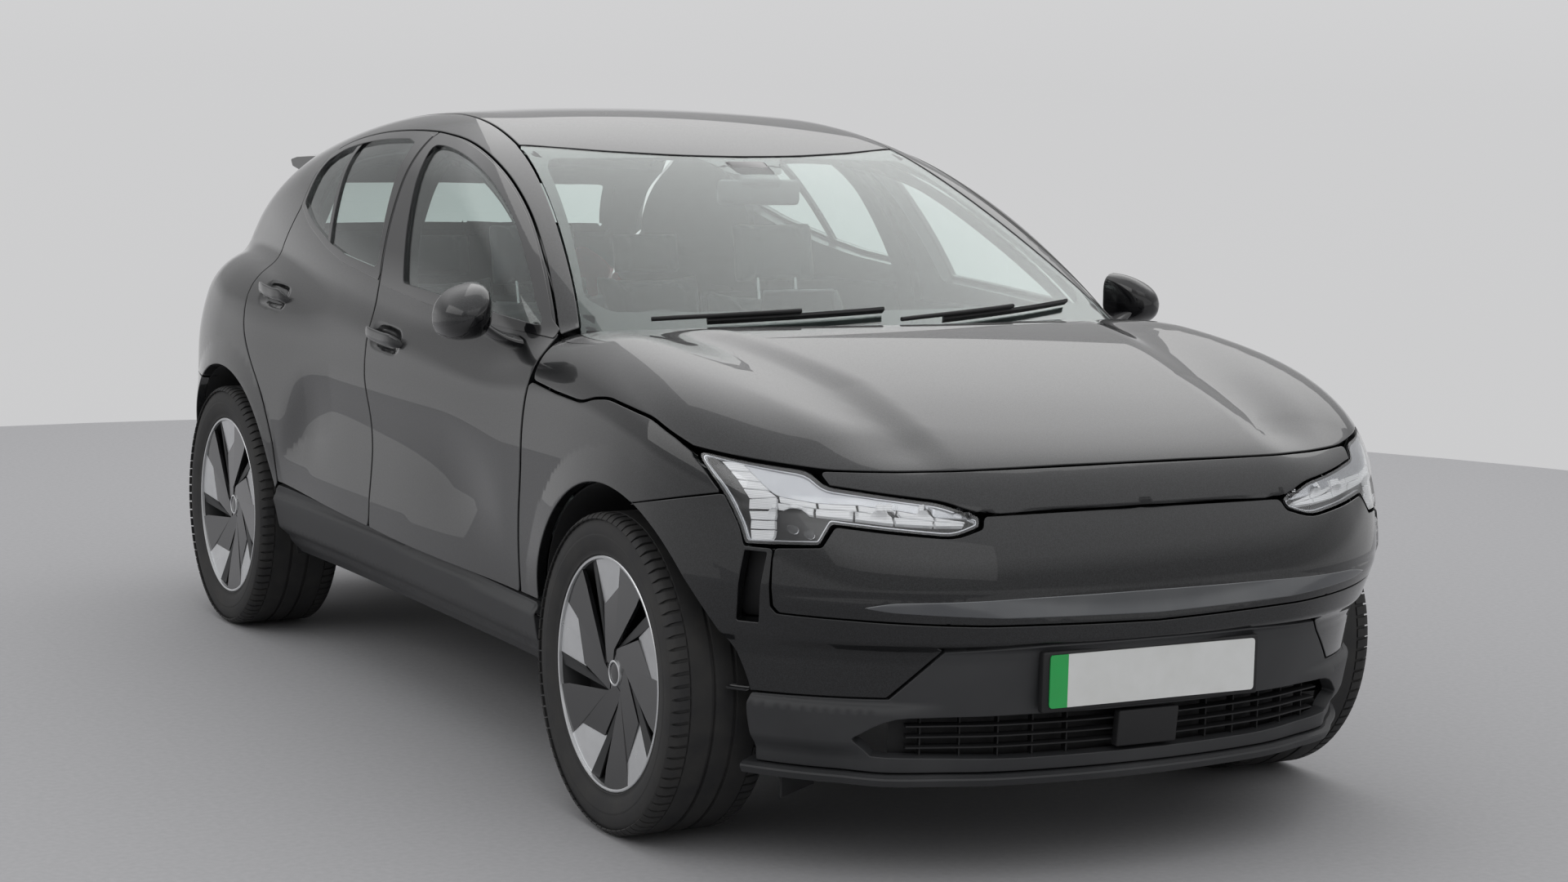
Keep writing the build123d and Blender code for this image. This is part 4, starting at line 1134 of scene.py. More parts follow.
grips = {"front": (0.095, 0.952), "rear": (0.985, 0.995)}
for row, ring in door_rings.items():
    centre = DOOR_CENTRES[row]
    glass = glass_rings[row]
    bends = []
    for size in (0.50, 0.62, 0.74, 0.87, 1.0, 1.08):
        turn = np.linspace(0, 2 * math.pi, 64, endpoint=False)
        c, s = np.cos(turn), np.sin(turn)
        reach = size * (np.abs(c) ** 4 + np.abs(s) ** 4) ** -0.25
        y = grips[row][0] + 0.112 * reach * c
        bends.append(
            side.lift(np.stack([y, grips[row][1] + 0.05 * (y - grips[row][0]) + 0.037 * reach * s], 1))
        )
    leaf_shell = cut_panel(
        roll, hem(ring, -0.003, centre), [even_steps(hem(glass, 0.010, centre), 0.012)], step=0.0125,
        depth=0.046, lines=bends
    )
    low = hem(ring, -0.052, centre)
    low = low[low[:, 2] < (1.035 if row == "front" else 1.07)]
    turn = int(np.argmax(np.linalg.norm(np.roll(low, -1, 0) - low, axis=1)))
    low = np.roll(low, -turn - 1, 0)
    trim_shell = cut_panel(roll, even_steps(low, 0.018), step=0.03, depth=0.036, sink=0.0465)
    frame_shell = cut_panel(
        roll, frame_rings[row], [glass], step=0.012, depth=0.016, sink=-0.0022, edge=0.0018
    )
    pane_shell = cut_panel(
        roll, even_steps(hem(glass, 0.006, centre), 0.012), step=0.03, depth=0.004, sink=0.007, edge=0.0008
    )
    grip_cloud, grip_faces = handle_shell(*grips[row])
    for hand, flip in HANDS:
        body = "door_%s_%s" % (row, hand)
        build(
            "door_skin_%s_%s" % (row, hand), [leaf_shell], [paint, lining_dark], body, (body,),
            flip, (0, 0, 1),
        )
        build(
            "door_trim_%s_%s" % (row, hand), [trim_shell], [lining_dark], body,
            mirrored=flip,
        )
        build(
            "window_frame_%s_%s" % (row, hand), [frame_shell], [trim_black], body,
            mirrored=flip,
        )
        build(
            "window_glass_%s_%s" % (row, hand), [pane_shell], [window_glass], body,
            ("glass_%s_%s" % (row, hand),), flip,
        )
        plain_piece(
            "door_handle_%s_%s" % (row, hand), grip_cloud, grip_faces, [paint], body,
            mirrored=flip
        )
divider = cut_panel(
    side,
    outline_on(
        side, [(0.864, 1.44), (0.892, 1.437), (0.722, 1.163), (0.692, 1.158)], corner=0.001, step=0.01
    ),
    step=0.012, depth=0.014, sink=0.001, edge=0.0018,
)
for hand, flip in HANDS:
    build(
        "window_divider_" + hand, [divider], [trim_black], "door_rear_" + hand,
        mirrored=flip,
    )


# ---- Door mirrors ---------------------------------------------------------
# A moulded housing on a short stalk from the belt of each front door: painted
# cap in front, a gloss black rim and a silvered glass that looks back.
silver = moulded_finish(
    "mirror_silver", (0.86, 0.87, 0.88), (0.82, 0.83, 0.84), (0.015, 0.03), patch=4.0, bump=0,
    in_Metallic=1.0,
)


def mirror_rings():
    cloud, materials = [], []
    around = np.linspace(0, 2 * math.pi, 40, endpoint=False)
    rows = []
    for t in np.linspace(0.0, 1.0, 22):
        swell = math.sqrt(max(0.0, 1 - (1 - t) ** 2.6))
        rows.append((-0.722 + 0.128 * t, 0.003 + 0.062 * swell, 0.003 + 0.0615 * swell))
    rows += [
        (-0.590, 0.0635, 0.061), (-0.590, 0.0585, 0.056), (-0.600, 0.0565, 0.054), (-0.600, 0.0005, 0.0005)
    ]
    for y, wide, tall in rows:
        lean = (y + 0.60) * 0.20
        for a in around:
            c, s = math.cos(a), math.sin(a)
            x = 0.9495 + wide * np.sign(c) * abs(c) ** 0.78 - lean * 0.35
            z = 1.078 + tall * np.sign(s) * abs(s) ** 0.72 - (0.34 if s > 0 else 0.05) * (x - 0.95)
            cloud.append((x, y + 0.10 * (x - 0.95), z))
    # painted cap 0, gloss black rim 1, silvered glass 2
    for k in range(len(rows) - 1):
        for a in around:
            low = math.sin(a) < -0.45 or (math.cos(a) < -0.72 and math.sin(a) < 0.62)
            materials.append(2 if k == len(rows) - 2 else 1 if k >= 21 or low else 0)
    return np.array(cloud), hose_faces(len(rows), len(around)), materials + [0, 2]


def stalk_rings():
    cloud = []
    around = np.linspace(0, 2 * math.pi, 28, endpoint=False)
    stations = np.linspace(0, 1, 12)
    for t in stations:
        x = 0.828 + 0.088 * t
        y = -0.640 - 0.012 * t
        z = 1.010 + 0.012 * t
        for a in around:
            cloud.append(
                (
                    x, y + (0.062 - 0.022 * t) * math.cos(a),
                    z + (0.019 - 0.005 * t) * math.sin(a) + 0.03 * t * t,
                )
            )
    return np.array(cloud), hose_faces(len(stations), len(around))


for hand, flip in HANDS:
    cloud, faces, materials = mirror_rings()
    stalk, stalk_faces = stalk_rings()
    plain_piece(
        "door_mirror_" + hand, cloud, faces, [paint, trim_black, silver], "door_front_" + hand,
        ("mirror_" + hand,),
        flip, materials=materials,
    )
    plain_piece(
        "mirror_stalk_" + hand, stalk, stalk_faces, [trim_black], "door_front_" + hand,
        mirrored=flip,
    )


# ---- Roof and windscreen --------------------------------------------------
# The roof skin is brazed to the cant rails along a fine seam. The windscreen is
# laminated glass bonded flush, with a printed black band and a sensor lobe.
ROOF_SIDE = [(0.5535, -0.023), (0.5295, 0.206), (0.5025, 0.495), (0.5065, 1.0), (0.5475, 1.488)]
ROOF_FRONT = [(0.0, -0.186), (0.18, -0.170), (0.36, -0.118), (0.48, -0.062)]
half = ROOF_FRONT + ROOF_SIDE + [(0.30, 1.508)]
both = half + [(0.0, 1.512)] + [(-x, y) for x, y in half[::-1] if x > 0]
roof_shell = cut_panel(
    plan, outline_on(plan, both, corner=0.008, soft=0.8, step=0.014), step=0.03, depth=0.02
)
build(
    "roof_skin", [roof_shell], [paint, lining_dark], "body", ("roof_panel",),
    zone_finish=(0, 0, 1),
)

screen_view = FrontView(cabin, -1, 0.3)
top_line = plan.lift(rounded(np.array([(x, y - 0.006) for x, y in ROOF_FRONT + [(0.5535, -0.023)]]), 0.0))
top = [(p[0], p[2]) for p in top_line]
half = [(0.0, 1.032), (0.755, 1.032), (0.7405, 1.056), (0.5565, 1.450)] + top[::-1]
half = half[:-1]
both = half + [(0.0, top[0][1])] + [(-x, z) for x, z in half[::-1] if x > 0]
screen_rim = outline_on(screen_view, both, corner=0.012, soft=0.8, step=0.014)
screen_shell = cut_panel(screen_view, screen_rim, step=0.03, depth=0.0048, sink=0.001, edge=0.0012)
build("windscreen_glass", [screen_shell], [window_glass], "body", ("windscreen",))

printed = moulded_finish(
    "printed_black_band", (0.012, 0.012, 0.013), (0.016, 0.016, 0.017), (0.30, 0.42), bump=0
)
band_outer = outline_on(screen_view, grown(both, -0.001), corner=0.012, soft=0.8, step=0.014)
clear_half = [
    (0.0, 1.100), (0.40, 1.099), (0.655, 1.094), (0.695, 1.120), (0.545, 1.408), (0.515, 1.428),
    (0.14, 1.437),
]
clear_half += [(0.115, 1.432), (0.075, 1.398), (0.0, 1.392)]
clear_both = clear_half + [(-x, z) for x, z in clear_half[::-1] if x > 0]
band_inner = outline_on(screen_view, clear_both, corner=0.045, soft=0.35, step=0.010)
band_shell = cut_panel(
    screen_view, band_outer, [band_inner], step=0.02, depth=0.0012, sink=0.0062, edge=0.0004
)
build("windscreen_band", [band_shell], [printed], "body")


# ---- Bonnet and wings -----------------------------------------------------
# A clamshell bonnet pressed with a raised middle lies over both shoulders and
# meets the wings low on the side. The wings bolt on behind it, round the arches.
bonnet_view = ArchView(lower_body, 0.5)
FRONT_EDGE = [
    (0.0, -1.981, 0.8565), (0.157, -1.976, 0.8565), (0.35, -1.96, 0.8545), (0.532, -1.933, 0.8530)
]
FRONT_EDGE += [(0.671, -1.880, 0.8550), (0.776, -1.785, 0.8700), (0.858, -1.650, 0.8865)]
SIDE_EDGE = [
    (-1.60, 0.902), (-1.505, 0.931), (-1.40, 0.9425), (-1.301, 0.9515), (-1.235, 0.944), (-1.175, 0.9290)
]
SIDE_EDGE += [(-1.02, 0.934), (-0.868, 0.944), (-0.815, 1.046)]
REAR_EDGE = [(0.775, -0.817), (0.70, -0.872), (0.52, -1.0), (0.30, -1.085), (0.15, -1.105), (0.0, -1.112)]
front_flat = nose_wrap.flat(np.array(FRONT_EDGE))
pieces_of_rim = [
    outline_on(nose_wrap, front_flat, corner=0.01, soft=0.6, closed=False),
    outline_on(side_low, SIDE_EDGE, corner=0.03, soft=0.25, closed=False),
    outline_on(PlanView(lower_body, 0.5), REAR_EDGE, corner=0.03, soft=0.8, closed=False),
]
left_half = np.vstack(pieces_of_rim)
left_half = left_half[(left_half[:, 0] > 0.002)]
bonnet_rim = even_steps(np.vstack([left_half, (left_half * [-1, 1, 1])[::-1]]), 0.012)
bonnet_shell = cut_panel(bonnet_view, bonnet_rim, step=0.0145, depth=0.02, scale=(1, 0.55))
build(
    "bonnet_skin", [bonnet_shell], [paint, seam_black], "bonnet", ("bonnet",),
    zone_finish=(0, 0, 1),
)

WING_TOP = [(y, z - 0.006) for y, z in SIDE_EDGE[:-1]]
wing_line = [
    outline_on(side_low, [(-0.830, 0.444), (-0.864, 0.764), (-0.853, 0.930)], closed=False),
    outline_on(side_low, WING_TOP[::-1] + [(-1.655, 0.874)], soft=0.25, closed=False),
    outline_on(side_low, [(-1.662, 0.866), (-1.700, 0.842), (-1.744, 0.803)], closed=False),
    outline_on(
        side_low, [(-1.744, 0.800)] + arc(FRONT_AXLE, 0.418, 109.2, 13.0), corner=0.003, closed=False
    ),
]
wing_rim = even_steps(np.vstack(wing_line), 0.010)
wing_shell = cut_panel(side_low, wing_rim, step=0.0125, depth=0.022)
wing_pieces = {
    hand: build(
        "front_wing_" + hand, [wing_shell], [paint, seam_black], "body",
        mirrored=flip, zone_finish=(0, 0, 1),
    )
    for hand, flip in HANDS
}
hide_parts("front_wings")


# ---- Front bumper ---------------------------------------------------------
# The bumper skin is one glossy moulding clipped round the nose. A closed panel
# with a raised bar fills the middle and a strip closes the gap to the bonnet.
def on_nose(points):
    """front-view points taken to the wrapped map of the nose"""
    return nose_wrap.flat(nose_view.lift(np.array(points)))


def on_side(points):
    return nose_wrap.flat(side_low.lift(np.array(points)))


def both_halves(line, whole_turn=-math.pi):
    """a half outline in a wrapped map closed with its mirror image; whole_turn is pi at the tail"""
    line = np.asarray(line)
    return np.vstack([line, np.stack([whole_turn - line[:, 0], line[:, 1]], 1)[::-1]])


arch_front = arc(FRONT_AXLE, 0.419, 109.5, 174.8, 30)
bumper_half = np.vstack([
    on_nose([(0.002, 0.5065), (0.25, 0.5055), (0.493, 0.5030), (0.476, 0.497), (0.567, 0.3935)]),
    on_side([(-1.706, 0.3865), (-1.760, 0.3875)] + arch_front[::-1]),
    on_side([(-1.49, 0.746), (-1.744, 0.7975)]),
    on_nose([(0.8375, 0.7975), (0.8225, 0.7385), (0.8190, 0.6985), (0.7800, 0.6990), (0.7800, 0.5775)]),
    on_nose([(0.7690, 0.5635), (0.66, 0.5600), (0.40, 0.5490), (0.002, 0.5415)]),
])
slot_line = outline_on(
    nose_wrap, on_nose([(0.789, 0.540), (0.818, 0.540), (0.818, 0.690), (0.789, 0.690)]), corner=0.004,
    step=0.006,
)
slot_twin = slot_line * [-1, 1, 1]
bumper_rim = outline_on(nose_wrap, both_halves(bumper_half), corner=0.010, soft=0.3)
bumper_shell = cut_panel(nose_wrap, bumper_rim, [slot_line, slot_twin], step=0.0125, depth=0.024)
build(
    "front_bumper_skin", [bumper_shell], [paint, seam_black], "body", ("front_bumper",),
    zone_finish=(0, 0, 1),
)

slot_back = [
    outline_on(
        nose_wrap, on_nose([(0.784, 0.533), (0.824, 0.533), (0.824, 0.696), (0.784, 0.696)]), step=0.012
    )
]
slot_back.append(slot_back[0] * [-1, 1, 1])
slot_shells = [cut_panel(nose_wrap, line, step=0.02, depth=0.003, sink=0.045) for line in slot_back]
panel_half = np.vstack([
    on_nose(
        [
            (0.002, 0.7702), (0.377, 0.7660), (0.386, 0.7430), (0.452, 0.7240), (0.588, 0.7365),
            (0.6735, 0.7465),
        ]
    ),
    on_nose(
        [
            (0.7025, 0.7055), (0.7765, 0.6990), (0.7765, 0.5800), (0.7660, 0.5667), (0.66, 0.5633),
            (0.40, 0.5523), (0.002, 0.5448),
        ]
    ),
])
panel_rim = outline_on(nose_wrap, both_halves(panel_half), corner=0.012, soft=0.3)
panel_lines = [
    nose_view.lift(np.array([(x, z) for x in np.linspace(-0.60, 0.60, 41)])) for z in (0.556, 0.607)
]
panel_shell = cut_panel(nose_wrap, panel_rim, step=0.0135, depth=0.02, lines=panel_lines)
build(
    "front_panel_closed", [panel_shell], [paint, seam_black], "body",
    zone_finish=(0, 0, 1),
)
strip_half = on_nose(
    [
        (0.002, 0.8535), (0.35, 0.8518), (0.53, 0.8500), (0.676, 0.8515), (0.668, 0.8265), (0.462, 0.7985),
        (0.379, 0.7695), (0.002, 0.7738),
    ]
)
strip_rim = outline_on(nose_wrap, both_halves(strip_half), corner=0.006, soft=0.3)
strip_shell = cut_panel(nose_wrap, strip_rim, step=0.0125, depth=0.018)
build(
    "nose_strip", [strip_shell], [paint, seam_black], "body",
    zone_finish=(0, 0, 1),
)

bar_finish = moulded_finish(
    "dark_satin_bar", (0.12, 0.125, 0.132), (0.15, 0.155, 0.16), (0.13, 0.20), patch=8.0, bump=0,
    in_Metallic=0.85, in_Coat_Weight=0.7, in_Coat_Roughness=0.04,
)
bar_half = [
    (0.002, 0.6065), (0.30, 0.6055), (0.590, 0.6010), (0.645, 0.5885), (0.590, 0.5795), (0.36, 0.5650),
    (0.002, 0.5585),
]
bar_rim = outline_on(nose_wrap, both_halves(on_nose(bar_half)), corner=0.003, soft=0.3)
bar_shell = cut_panel(nose_wrap, bar_rim, step=0.014, depth=0.006, sink=-0.0018)
build("front_bar", [bar_shell], [bar_finish], "body")

dark_plastic = moulded_finish(
    "moulded_dark_plastic", (0.026, 0.027, 0.029), (0.040, 0.041, 0.043), (0.42, 0.60), scale=1400.0,
    bump=0.2,
)
deep_black = moulded_finish(
    "deep_black_plastic", (0.008, 0.008, 0.009), (0.014, 0.014, 0.015), (0.5, 0.7), scale=900.0, bump=0.1
)
build("air_curtain_liner", slot_shells, [deep_black], "body")


# ---- Front valance, grille and lip ----------------------------------------
# Unpainted grained plastic below the bumper: a folded face with a low mouth, a
# blade lip under it, slats inside and a flat cover over the radar in the middle.
def valance_skin(x, y, z):
    wide = np.abs(x)
    ledge = 15 * ramp(-z, -386, -364) * ramp(wide, 430, 580) + 6 * (1 - ramp(wide, 300, 580))
    tuck = 14 * ramp(-z, -300, -262) * ramp(wide, 560, 640)
    return lower_body(x, y, z) - ledge + tuck


valance_front = FrontView(valance_skin, -1, -1.2)
valance_side = SideView(valance_skin)
valance_wrap = WrapView(valance_skin, -1.25)


def on_valance(points):
    return valance_wrap.flat(valance_front.lift(np.array(points)))


low_arch = on_arch(FRONT_AXLE, 0.4195, (0.3845, 0.352, 0.31, 0.27, 0.236), -1)
valance_half = np.vstack([
    on_valance([(0.002, 0.5025), (0.25, 0.5015), (0.472, 0.4930), (0.5625, 0.3905)]),
    valance_wrap.flat(valance_side.lift(np.array(low_arch))),
    on_valance([(0.70, 0.236), (0.50, 0.236), (0.30, 0.236), (0.002, 0.236)]),
])
mouth_half = [
    (0.002, 0.3565), (0.30, 0.3565), (0.565, 0.3530), (0.627, 0.3060), (0.590, 0.2700), (0.30, 0.2640),
    (0.002, 0.2640),
]
mouth = outline_on(valance_wrap, both_halves(on_valance(mouth_half)), corner=0.006, soft=0.3, step=0.01)
folds = [
    valance_front.lift(np.array([(x, z) for x in np.linspace(a, b, 12)]))
    for z in (0.386, 0.364)
    for a, b in ((0.60, 0.80), (-0.80, -0.60))
]
valance_rim = outline_on(valance_wrap, both_halves(valance_half), corner=0.008, soft=0.3)
valance_shell = cut_panel(valance_wrap, valance_rim, [mouth], step=0.0125, depth=0.03, lines=folds)
build(
    "front_valance_skin", [valance_shell], [dark_plastic, deep_black], "body", ("front_valance",),
    zone_finish=(0, 0, 1),
)


def swept(path, outward, profile):
    """a profile of (out, up) points carried along a path, its ends closed"""
    cloud, faces = [], []
    n = len(profile)
    for point, way in zip(path, outward):
        for out, up in profile:
            cloud.append(point + way * out + np.array([0, 0, up]))
    for k in range(len(path) - 1):
        for i in range(n):
            j = (i + 1) % n
            faces.append((k * n + i, (k + 1) * n + i, (k + 1) * n + j, k * n + j))
    faces.append(tuple(range(n)))
    faces.append(tuple(range((len(path) - 1) * n, len(path) * n))[::-1])
    return np.array(cloud), faces


def nose_path(reach, z, count=60):
    """points and level outward ways round the nose at height z out to half-angle reach"""
    angles = np.linspace(-math.pi / 2 - reach, -math.pi / 2 + reach, count)
    line = valance_wrap.lift(np.stack([angles, np.full(count, z)], 1))
    way = skin_normals(valance_skin, line)
    way[:, 2] = 0
    return line, way / np.linalg.norm(way, axis=1)[:, None]


reach = math.pi / 2 - math.atan2(0.50, 0.862)
line, way = nose_path(reach - 0.035, 0.24, 90)
lip_profile = [
    (-0.034, -0.004), (0.004, -0.008), (0.014, -0.013), (0.0155, -0.017), (0.008, -0.031), (-0.03, -0.036),
    (-0.06, -0.03), (-0.06, -0.006),
]
lip, lip_faces = swept(line, way, lip_profile)
plain_piece("front_lip", lip, lip_faces, [dark_plastic], "body", sharp=0.35)

slat_cloud, slat_faces = [], []
for z in (0.288, 0.311, 0.334):
    line, way = nose_path(0.62, z, 50)
    part, part_faces = swept(
        line - way * 0.022, way,
        [(0, 0.0035), (0.010, 0.0015), (0.010, -0.0015), (0, -0.0035), (-0.018, -0.003), (-0.018, 0.003)],
    )
    slat_faces += [tuple(i + len(slat_cloud) for i in f) for f in part_faces]
    slat_cloud += part.tolist()
line, way = nose_path(0.66, 0.31, 50)
part, part_faces = swept(
    line - way * 0.060, way, [(0, 0.055), (0.002, 0.055), (0.002, -0.055), (0, -0.055)]
)
slat_faces += [tuple(i + len(slat_cloud) for i in f) for f in part_faces]
slat_cloud += part.tolist()
plain_piece(
    "grille_slats", slat_cloud, slat_faces, [deep_black], "body", ("lower_grille",), sharp=0.4
)


def scatter_tree():
    """Stands a copy of one item on every point, turned by the point's own turn attribute."""
    tree = bpy.data.node_groups.new("stand_items", "GeometryNodeTree")
    face = tree.interface
    face.new_socket(name="Geometry", in_out="INPUT", socket_type="NodeSocketGeometry")
    face.new_socket(name="Item", in_out="INPUT", socket_type="NodeSocketObject")
    face.new_socket(name="Material", in_out="INPUT", socket_type="NodeSocketMaterial")
    face.new_socket(name="Size", in_out="INPUT", socket_type="NodeSocketFloat").default_value = 1.0
    face.new_socket(name="Size Spread", in_out="INPUT", socket_type="NodeSocketFloat").default_value = 0.0
    face.new_socket(name="Geometry", in_out="OUTPUT", socket_type="NodeSocketGeometry")
    start, end = tree.nodes.new("NodeGroupInput"), tree.nodes.new("NodeGroupOutput")
    item = add_node(tree, "GeometryNodeObjectInfo", in_As_Instance=False)
    turn = add_node(tree, "GeometryNodeInputNamedAttribute", data_type="FLOAT_VECTOR", in_Name="turn")
    chance = add_node(tree, "FunctionNodeRandomValue", data_type="FLOAT", in_Seed=7)
    low = add_node(tree, "ShaderNodeMath", operation="SUBTRACT")
    high = add_node(tree, "ShaderNodeMath", operation="ADD")
    copies = add_node(tree, "GeometryNodeInstanceOnPoints")
    real = add_node(tree, "GeometryNodeRealizeInstances")
    look = add_node(tree, "GeometryNodeSetMaterial")
    wire(
        tree,
        (start.outputs["Item"], item.inputs["Object"]),
        (start.outputs["Size"], low.inputs[0]),
        (start.outputs["Size Spread"], low.inputs[1]),
        (start.outputs["Size"], high.inputs[0]),
        (start.outputs["Size Spread"], high.inputs[1]),
        (low.outputs[0], chance.inputs[2]),
        (high.outputs[0], chance.inputs[3]),
        (start.outputs["Geometry"], copies.inputs["Points"]),
        (item.outputs["Geometry"], copies.inputs["Instance"]),
        (turn.outputs["Attribute"], copies.inputs["Rotation"]),
        (chance.outputs[1], copies.inputs["Scale"]),
        (copies.outputs["Instances"], real.inputs["Geometry"]),
        (real.outputs["Geometry"], look.inputs["Geometry"]),
        (start.outputs["Material"], look.inputs["Material"]),
        (look.outputs["Geometry"], end.inputs["Geometry"]),
    )
    return tree


stand_items = scatter_tree()


def stood(
    name, item_points, item_faces, places, turns, material, body, size=1.0, spread=0.0, sharp=0.5
):
    """One piece made of many copies of an item, through the geometry node group."""
    item_mesh = bpy.data.meshes.new(name + "_item")
    item_mesh.from_pydata([tuple(p) for p in item_points], [], item_faces)
    item_mesh.update()
    item = stand(name + "_item", item_mesh)
    spots = bpy.data.meshes.new(name + "_spots")
    spots.from_pydata([tuple(p) for p in places], [], [])
    kept = spots.attributes.new("turn", "FLOAT_VECTOR", "POINT")
    kept.data.foreach_set("vector", np.asarray(turns, float).ravel())
    holder = stand(name + "_spots", spots)
    modifier = holder.modifiers.new("stand", "NODES")
    modifier.node_group = stand_items
    values = {"Item": item, "Material": material, "Size": size, "Size Spread": spread}
    for socket in stand_items.interface.items_tree:
        if socket.in_out == "INPUT" and socket.name in values:
            modifier[socket.identifier] = values[socket.name]
    bpy.context.view_layer.update()
    ready = holder.evaluated_get(bpy.context.evaluated_depsgraph_get())
    mesh = bpy.data.meshes.new_from_object(ready)
    for extra in (holder, item):
        bpy.data.objects.remove(extra)
    mesh.polygons.foreach_set("use_smooth", [True] * len(mesh.polygons))
    mesh.set_sharp_from_angle(angle=sharp)
    return placed(name, mesh, body, ())


def block(sx, sy, sz, trim=0.2):
    """a box with its four upright edges cut back"""
    cut = trim * min(sx, sy)
    ring = [
        (-sx, -sy + cut), (-sx + cut, -sy), (sx - cut, -sy), (sx, -sy + cut), (sx, sy - cut),
        (sx - cut, sy), (-sx + cut, sy), (-sx, sy - cut),
    ]
    points = [(x, y, z) for z in (-sz, sz) for x, y in ring]
    faces = [tuple(range(8))[::-1], tuple(range(8, 16))]
    faces += [(i, (i + 1) % 8, 8 + (i + 1) % 8, 8 + i) for i in range(8)]
    return points, faces


line, way = nose_path(0.60, 0.31, 400)
at = [
    int(np.argmin(abs(line[:, 0] - x)))
    for x in (-0.50, -0.42, -0.34, -0.26, -0.18, 0.18, 0.26, 0.34, 0.42, 0.50)
]
vane, vane_faces = block(0.0016, 0.010, 0.044)
stood(
    "grille_vanes", vane, vane_faces, line[at] - way[at] * 0.034,
    [(0, 0, math.atan2(way[i][1], way[i][0]) + math.pi / 2) for i in at], deep_black, "body",
)


def soft_box(size, corner=0.006, bulge=0.0):
    """a box with rounded edges all round, for covers and plates"""
    mesh = bpy.data.meshes.new("soft_box")
    work = bmesh.new()
    bmesh.ops.create_cube(work, size=1.0, matrix=Matrix.Diagonal((*size, 1)))
    bmesh.ops.bevel(
        work, geom=work.edges[:] + work.verts[:], offset=corner, segments=3, profile=0.5, affect="EDGES"
    )
    points = [tuple(v.co) for v in work.verts]
    faces = [tuple(v.index for v in f.verts) for f in work.faces]
    work.free()
    bpy.data.meshes.remove(mesh)
    return np.array(points), faces


cover, cover_faces = soft_box((0.152, 0.022, 0.078), 0.004)
cover = cover + [0, -2.078, 0.313] + np.outer((cover[:, 2] > 0), [0, -0.007, 0])
plain_piece("radar_cover", cover, cover_faces, [deep_black], "body")
flap, flap_faces = soft_box((0.15, 0.006, 0.07), 0.002)
turned = np.array(Matrix.Rotation(math.radians(-34), 3, "Z"))
flap = flap @ turned.T + [0.640, -1.735, 0.190]
plain_piece("air_deflector_left", flap, flap_faces, [deep_black], "body")
plain_piece("air_deflector_right", flap, flap_faces, [deep_black], "body", mirrored=True)

# ---- Number plates --------------------------------------------------------
# Blank acrylic plates with rounded corners and a coloured end strip, each on a
# dark moulded plinth; the colours are printed behind the clear face.
plate_white = moulded_finish(
    "plate_white", (0.78, 0.79, 0.78), (0.72, 0.73, 0.71), (0.12, 0.2), patch=14.0, bump=0,
    in_Coat_Weight=0.5,
)
plate_green = moulded_finish(
    "plate_green", (0.012, 0.42, 0.085), (0.02, 0.37, 0.08), (0.12, 0.2), patch=14.0, bump=0,
    in_Coat_Weight=0.5,
)


def plate_piece(name, y, facing, z):
    """facing is -1 at the nose and 1 at the tail; the strip is at the viewer's left"""
    edge_u = 0.26 - 0.044
    loop = rounded(np.array([(-0.26, -0.0555), (0.26, -0.0555), (0.26, 0.0555), (-0.26, 0.0555)]), 0.009)
    outer = [tuple(p) for p in traced(loop, 0.02)]
    cloud, faces, materials = [], [], []
    left = [p for p in outer if p[0] <= -edge_u + 1e-6]
    right = [p for p in outer if p[0] > -edge_u + 1e-6]
    left.sort(key=lambda p: math.atan2(p[1], p[0] + edge_u) % (2 * math.pi))
    right.sort(key=lambda p: math.atan2(p[1], p[0] + edge_u))
    for side_index, ring in (
        (1, [(-edge_u, 0.0555)] + left + [(-edge_u, -0.0555)]),
        (0, [(-edge_u, -0.0555)] + right + [(-edge_u, 0.0555)]),
    ):
        n = len(ring)
        first = len(cloud)
        for depth in (0.0, 0.003):
            cloud += [(u * -facing, y - facing * depth, z + v) for u, v in ring]
        faces += [tuple(range(first, first + n)), tuple(range(first + n, first + 2 * n))[::-1]]
        faces += [
            (first + i, first + (i + 1) % n, first + n + (i + 1) % n, first + n + i) for i in range(n)
        ]
        materials += [side_index] * (n + 2)
    return plain_piece(
        name, cloud, faces, [plate_white, plate_green], "body", materials=materials, sharp=0.4
    )


front_plate = plate_piece("front_number_plate", -2.1068, -1, 0.429)
plate_piece("rear_number_plate", 2.1030, 1, 0.560)
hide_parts("number_plates")
plinth, plinth_faces = soft_box((0.548, 0.020, 0.128), 0.005)
plain_piece(
    "front_plate_plinth", plinth + [0, -2.0930, 0.427], plinth_faces, [deep_black], "body"
)
plain_piece(
    "rear_plate_plinth", plinth * [1, 0.4, 1] + [0, 2.0955, 0.558], plinth_faces, [deep_black], "body",
)


# ---- Headlamps ------------------------------------------------------------
# A clear moulded lens over a black frame. Inside are rows of ribbed light blocks
# that run in from the wing and down, a bright upper reflector and a dark well
# with the low-beam units.
lens_clear = clear_finish("lamp_lens_clear", (0.93, 0.94, 0.95), 0.0, (0.985, 0.985, 0.99))
lamp_silver = moulded_finish(
    "lamp_reflector", (0.66, 0.67, 0.69), (0.60, 0.61, 0.63), (0.18, 0.26), patch=20.0, bump=0,
    in_Metallic=0.9,
)
lamp_black = moulded_finish(
    "lamp_black", (0.010, 0.010, 0.011), (0.016, 0.016, 0.017), (0.22, 0.35), bump=0
)


